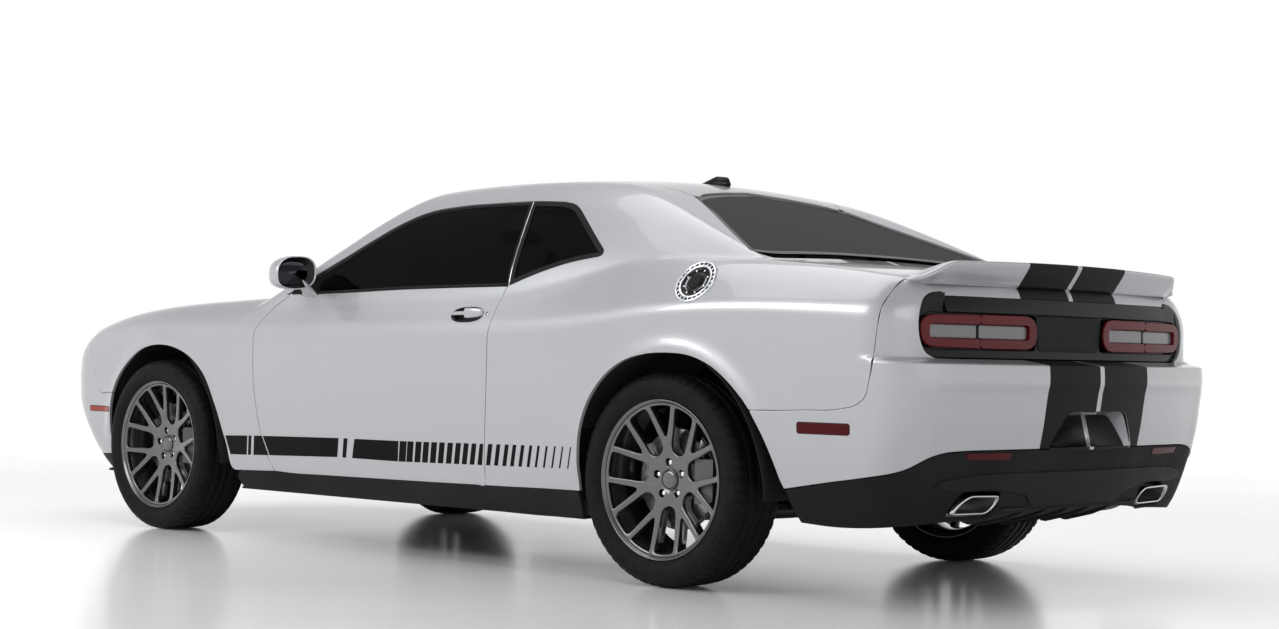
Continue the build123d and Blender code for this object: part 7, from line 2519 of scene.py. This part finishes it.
side_b = plate(Mk, [rounded(even(np.array([(1.660, .452), (2.330, .452), (2.335, .700), (2.320, .860), (2.10, .915), (1.80, .925), (1.660, .925)]), .03), .03, .03)], .004, .001, 1, height=lambda u, v: .018 * sstep((.62 - v) / .10) * sstep((1.98 - u) / .10) - .110 * sstep((v - .845) / .07), du=.04, dv=.018)
pair("boot_side_trim", side_b, M_CARPET, "car_body", slot="leather")

# ================================================================= floor, light and camera
def stage():
    me = bpy.data.meshes.new("floor")
    s = 40
    me.from_pydata([(-s, -s, 0), (s, -s, 0), (s, s, 0), (-s, s, 0)], [], [(0, 1, 2, 3)])
    me.materials.append(M_FLOOR)
    o = bpy.data.objects.new("floor", me)
    bpy.context.scene.collection.objects.link(o)
    w = bpy.data.worlds.new("studio"); bpy.context.scene.world = w
    w.use_nodes = True
    bg = w.node_tree.nodes["Background"]
    nt = w.node_tree
    tc = nt.nodes.new("ShaderNodeTexCoord"); sx = nt.nodes.new("ShaderNodeSeparateXYZ"); rp = nt.nodes.new("ShaderNodeValToRGB")
    nt.links.new(tc.outputs["Generated"], sx.inputs[0]); nt.links.new(sx.outputs[2], rp.inputs[0]); nt.links.new(rp.outputs[0], bg.inputs[0])
    e = rp.color_ramp.elements
    e[0].position = .20; e[0].color = (1, 1, 1, 1)
    e[1].position = .48; e[1].color = (.52, .525, .54, 1)
    bg.inputs[1].default_value = 1.0

    def area(name, loc, look, size, size_y, power):
        d = bpy.data.lights.new(name, "AREA"); d.shape = "RECTANGLE"; d.size = size; d.size_y = size_y; d.energy = power
        a = bpy.data.objects.new(name, d); bpy.context.scene.collection.objects.link(a)
        a.location = loc
        a.rotation_euler = (Vector(look) - Vector(loc)).to_track_quat("-Z", "Y").to_euler()
    area("top_box", (0, 0, 5.2), (0, 0, 0), 7.5, 4.2, 130)
    area("side_box", (6.5, -1.5, 4.2), (0, 0, .7), 6.0, 2.2, 215)
    area("rear_box", (1.0, 8.5, 3.2), (0, 1.5, .7), 6.0, 2.4, 48)

    cam = bpy.data.cameras.new("photo_view"); c = bpy.data.objects.new("photo_view", cam)
    bpy.context.scene.collection.objects.link(c)
    yaw, pitch, roll, foc = math.radians(43.56), math.radians(1.045), math.radians(1.03), 2214.0
    fw = Vector((-math.cos(yaw) * math.cos(pitch), -math.sin(yaw) * math.cos(pitch), math.sin(pitch)))
    r = fw.cross(Vector((0, 0, 1))).normalized(); u = r.cross(fw)
    r2 = r * math.cos(roll) + u * math.sin(roll); u2 = -r * math.sin(roll) + u * math.cos(roll)
    c.matrix_world = Matrix(((r2.x, u2.x, -fw.x, 6.36), (r2.y, u2.y, -fw.y, 6.44), (r2.z, u2.z, -fw.z, .78), (0, 0, 0, 1)))
    cam.sensor_width = 36; cam.sensor_fit = "HORIZONTAL"; cam.lens = foc * 36 / 1279
    cam.clip_end = 200
    bpy.context.scene.camera = c
    bpy.context.scene.view_settings.view_transform = "Standard"


stage()

# the frame's own parts, where no piece has taken over
FRAME_MATS = {"underbody": M_UNDER, "steel": M_STEEL, "cast_iron": M_CAST, "black_trim": M_TRIM, "gloss_black": M_GLOSS, "tyre": M_TYRE, "gunmetal": M_GUN, "body_paint": M_PAINT,
              "side_glass": M_SIDE_GLASS, "screen_glass": M_SCREEN, "lamp_lens": M_CLEAR, "red_lens": M_RED, "leather": M_LEATHER}
slots = {s["node"]: s["material_slot"] for s in frame["record"]["subparts"]}
for node, obj in frame["nodes"].items():
    m = M_STEEL_DARK if node.startswith(("knuckle", "rear_axle", "front_subframe")) else FRAME_MATS[slots[node]]
    if not obj.data.materials:
        obj.data.materials.append(m)
    for i in range(len(obj.data.materials)):
        obj.data.materials[i] = m

bpy.context.view_layer.update()
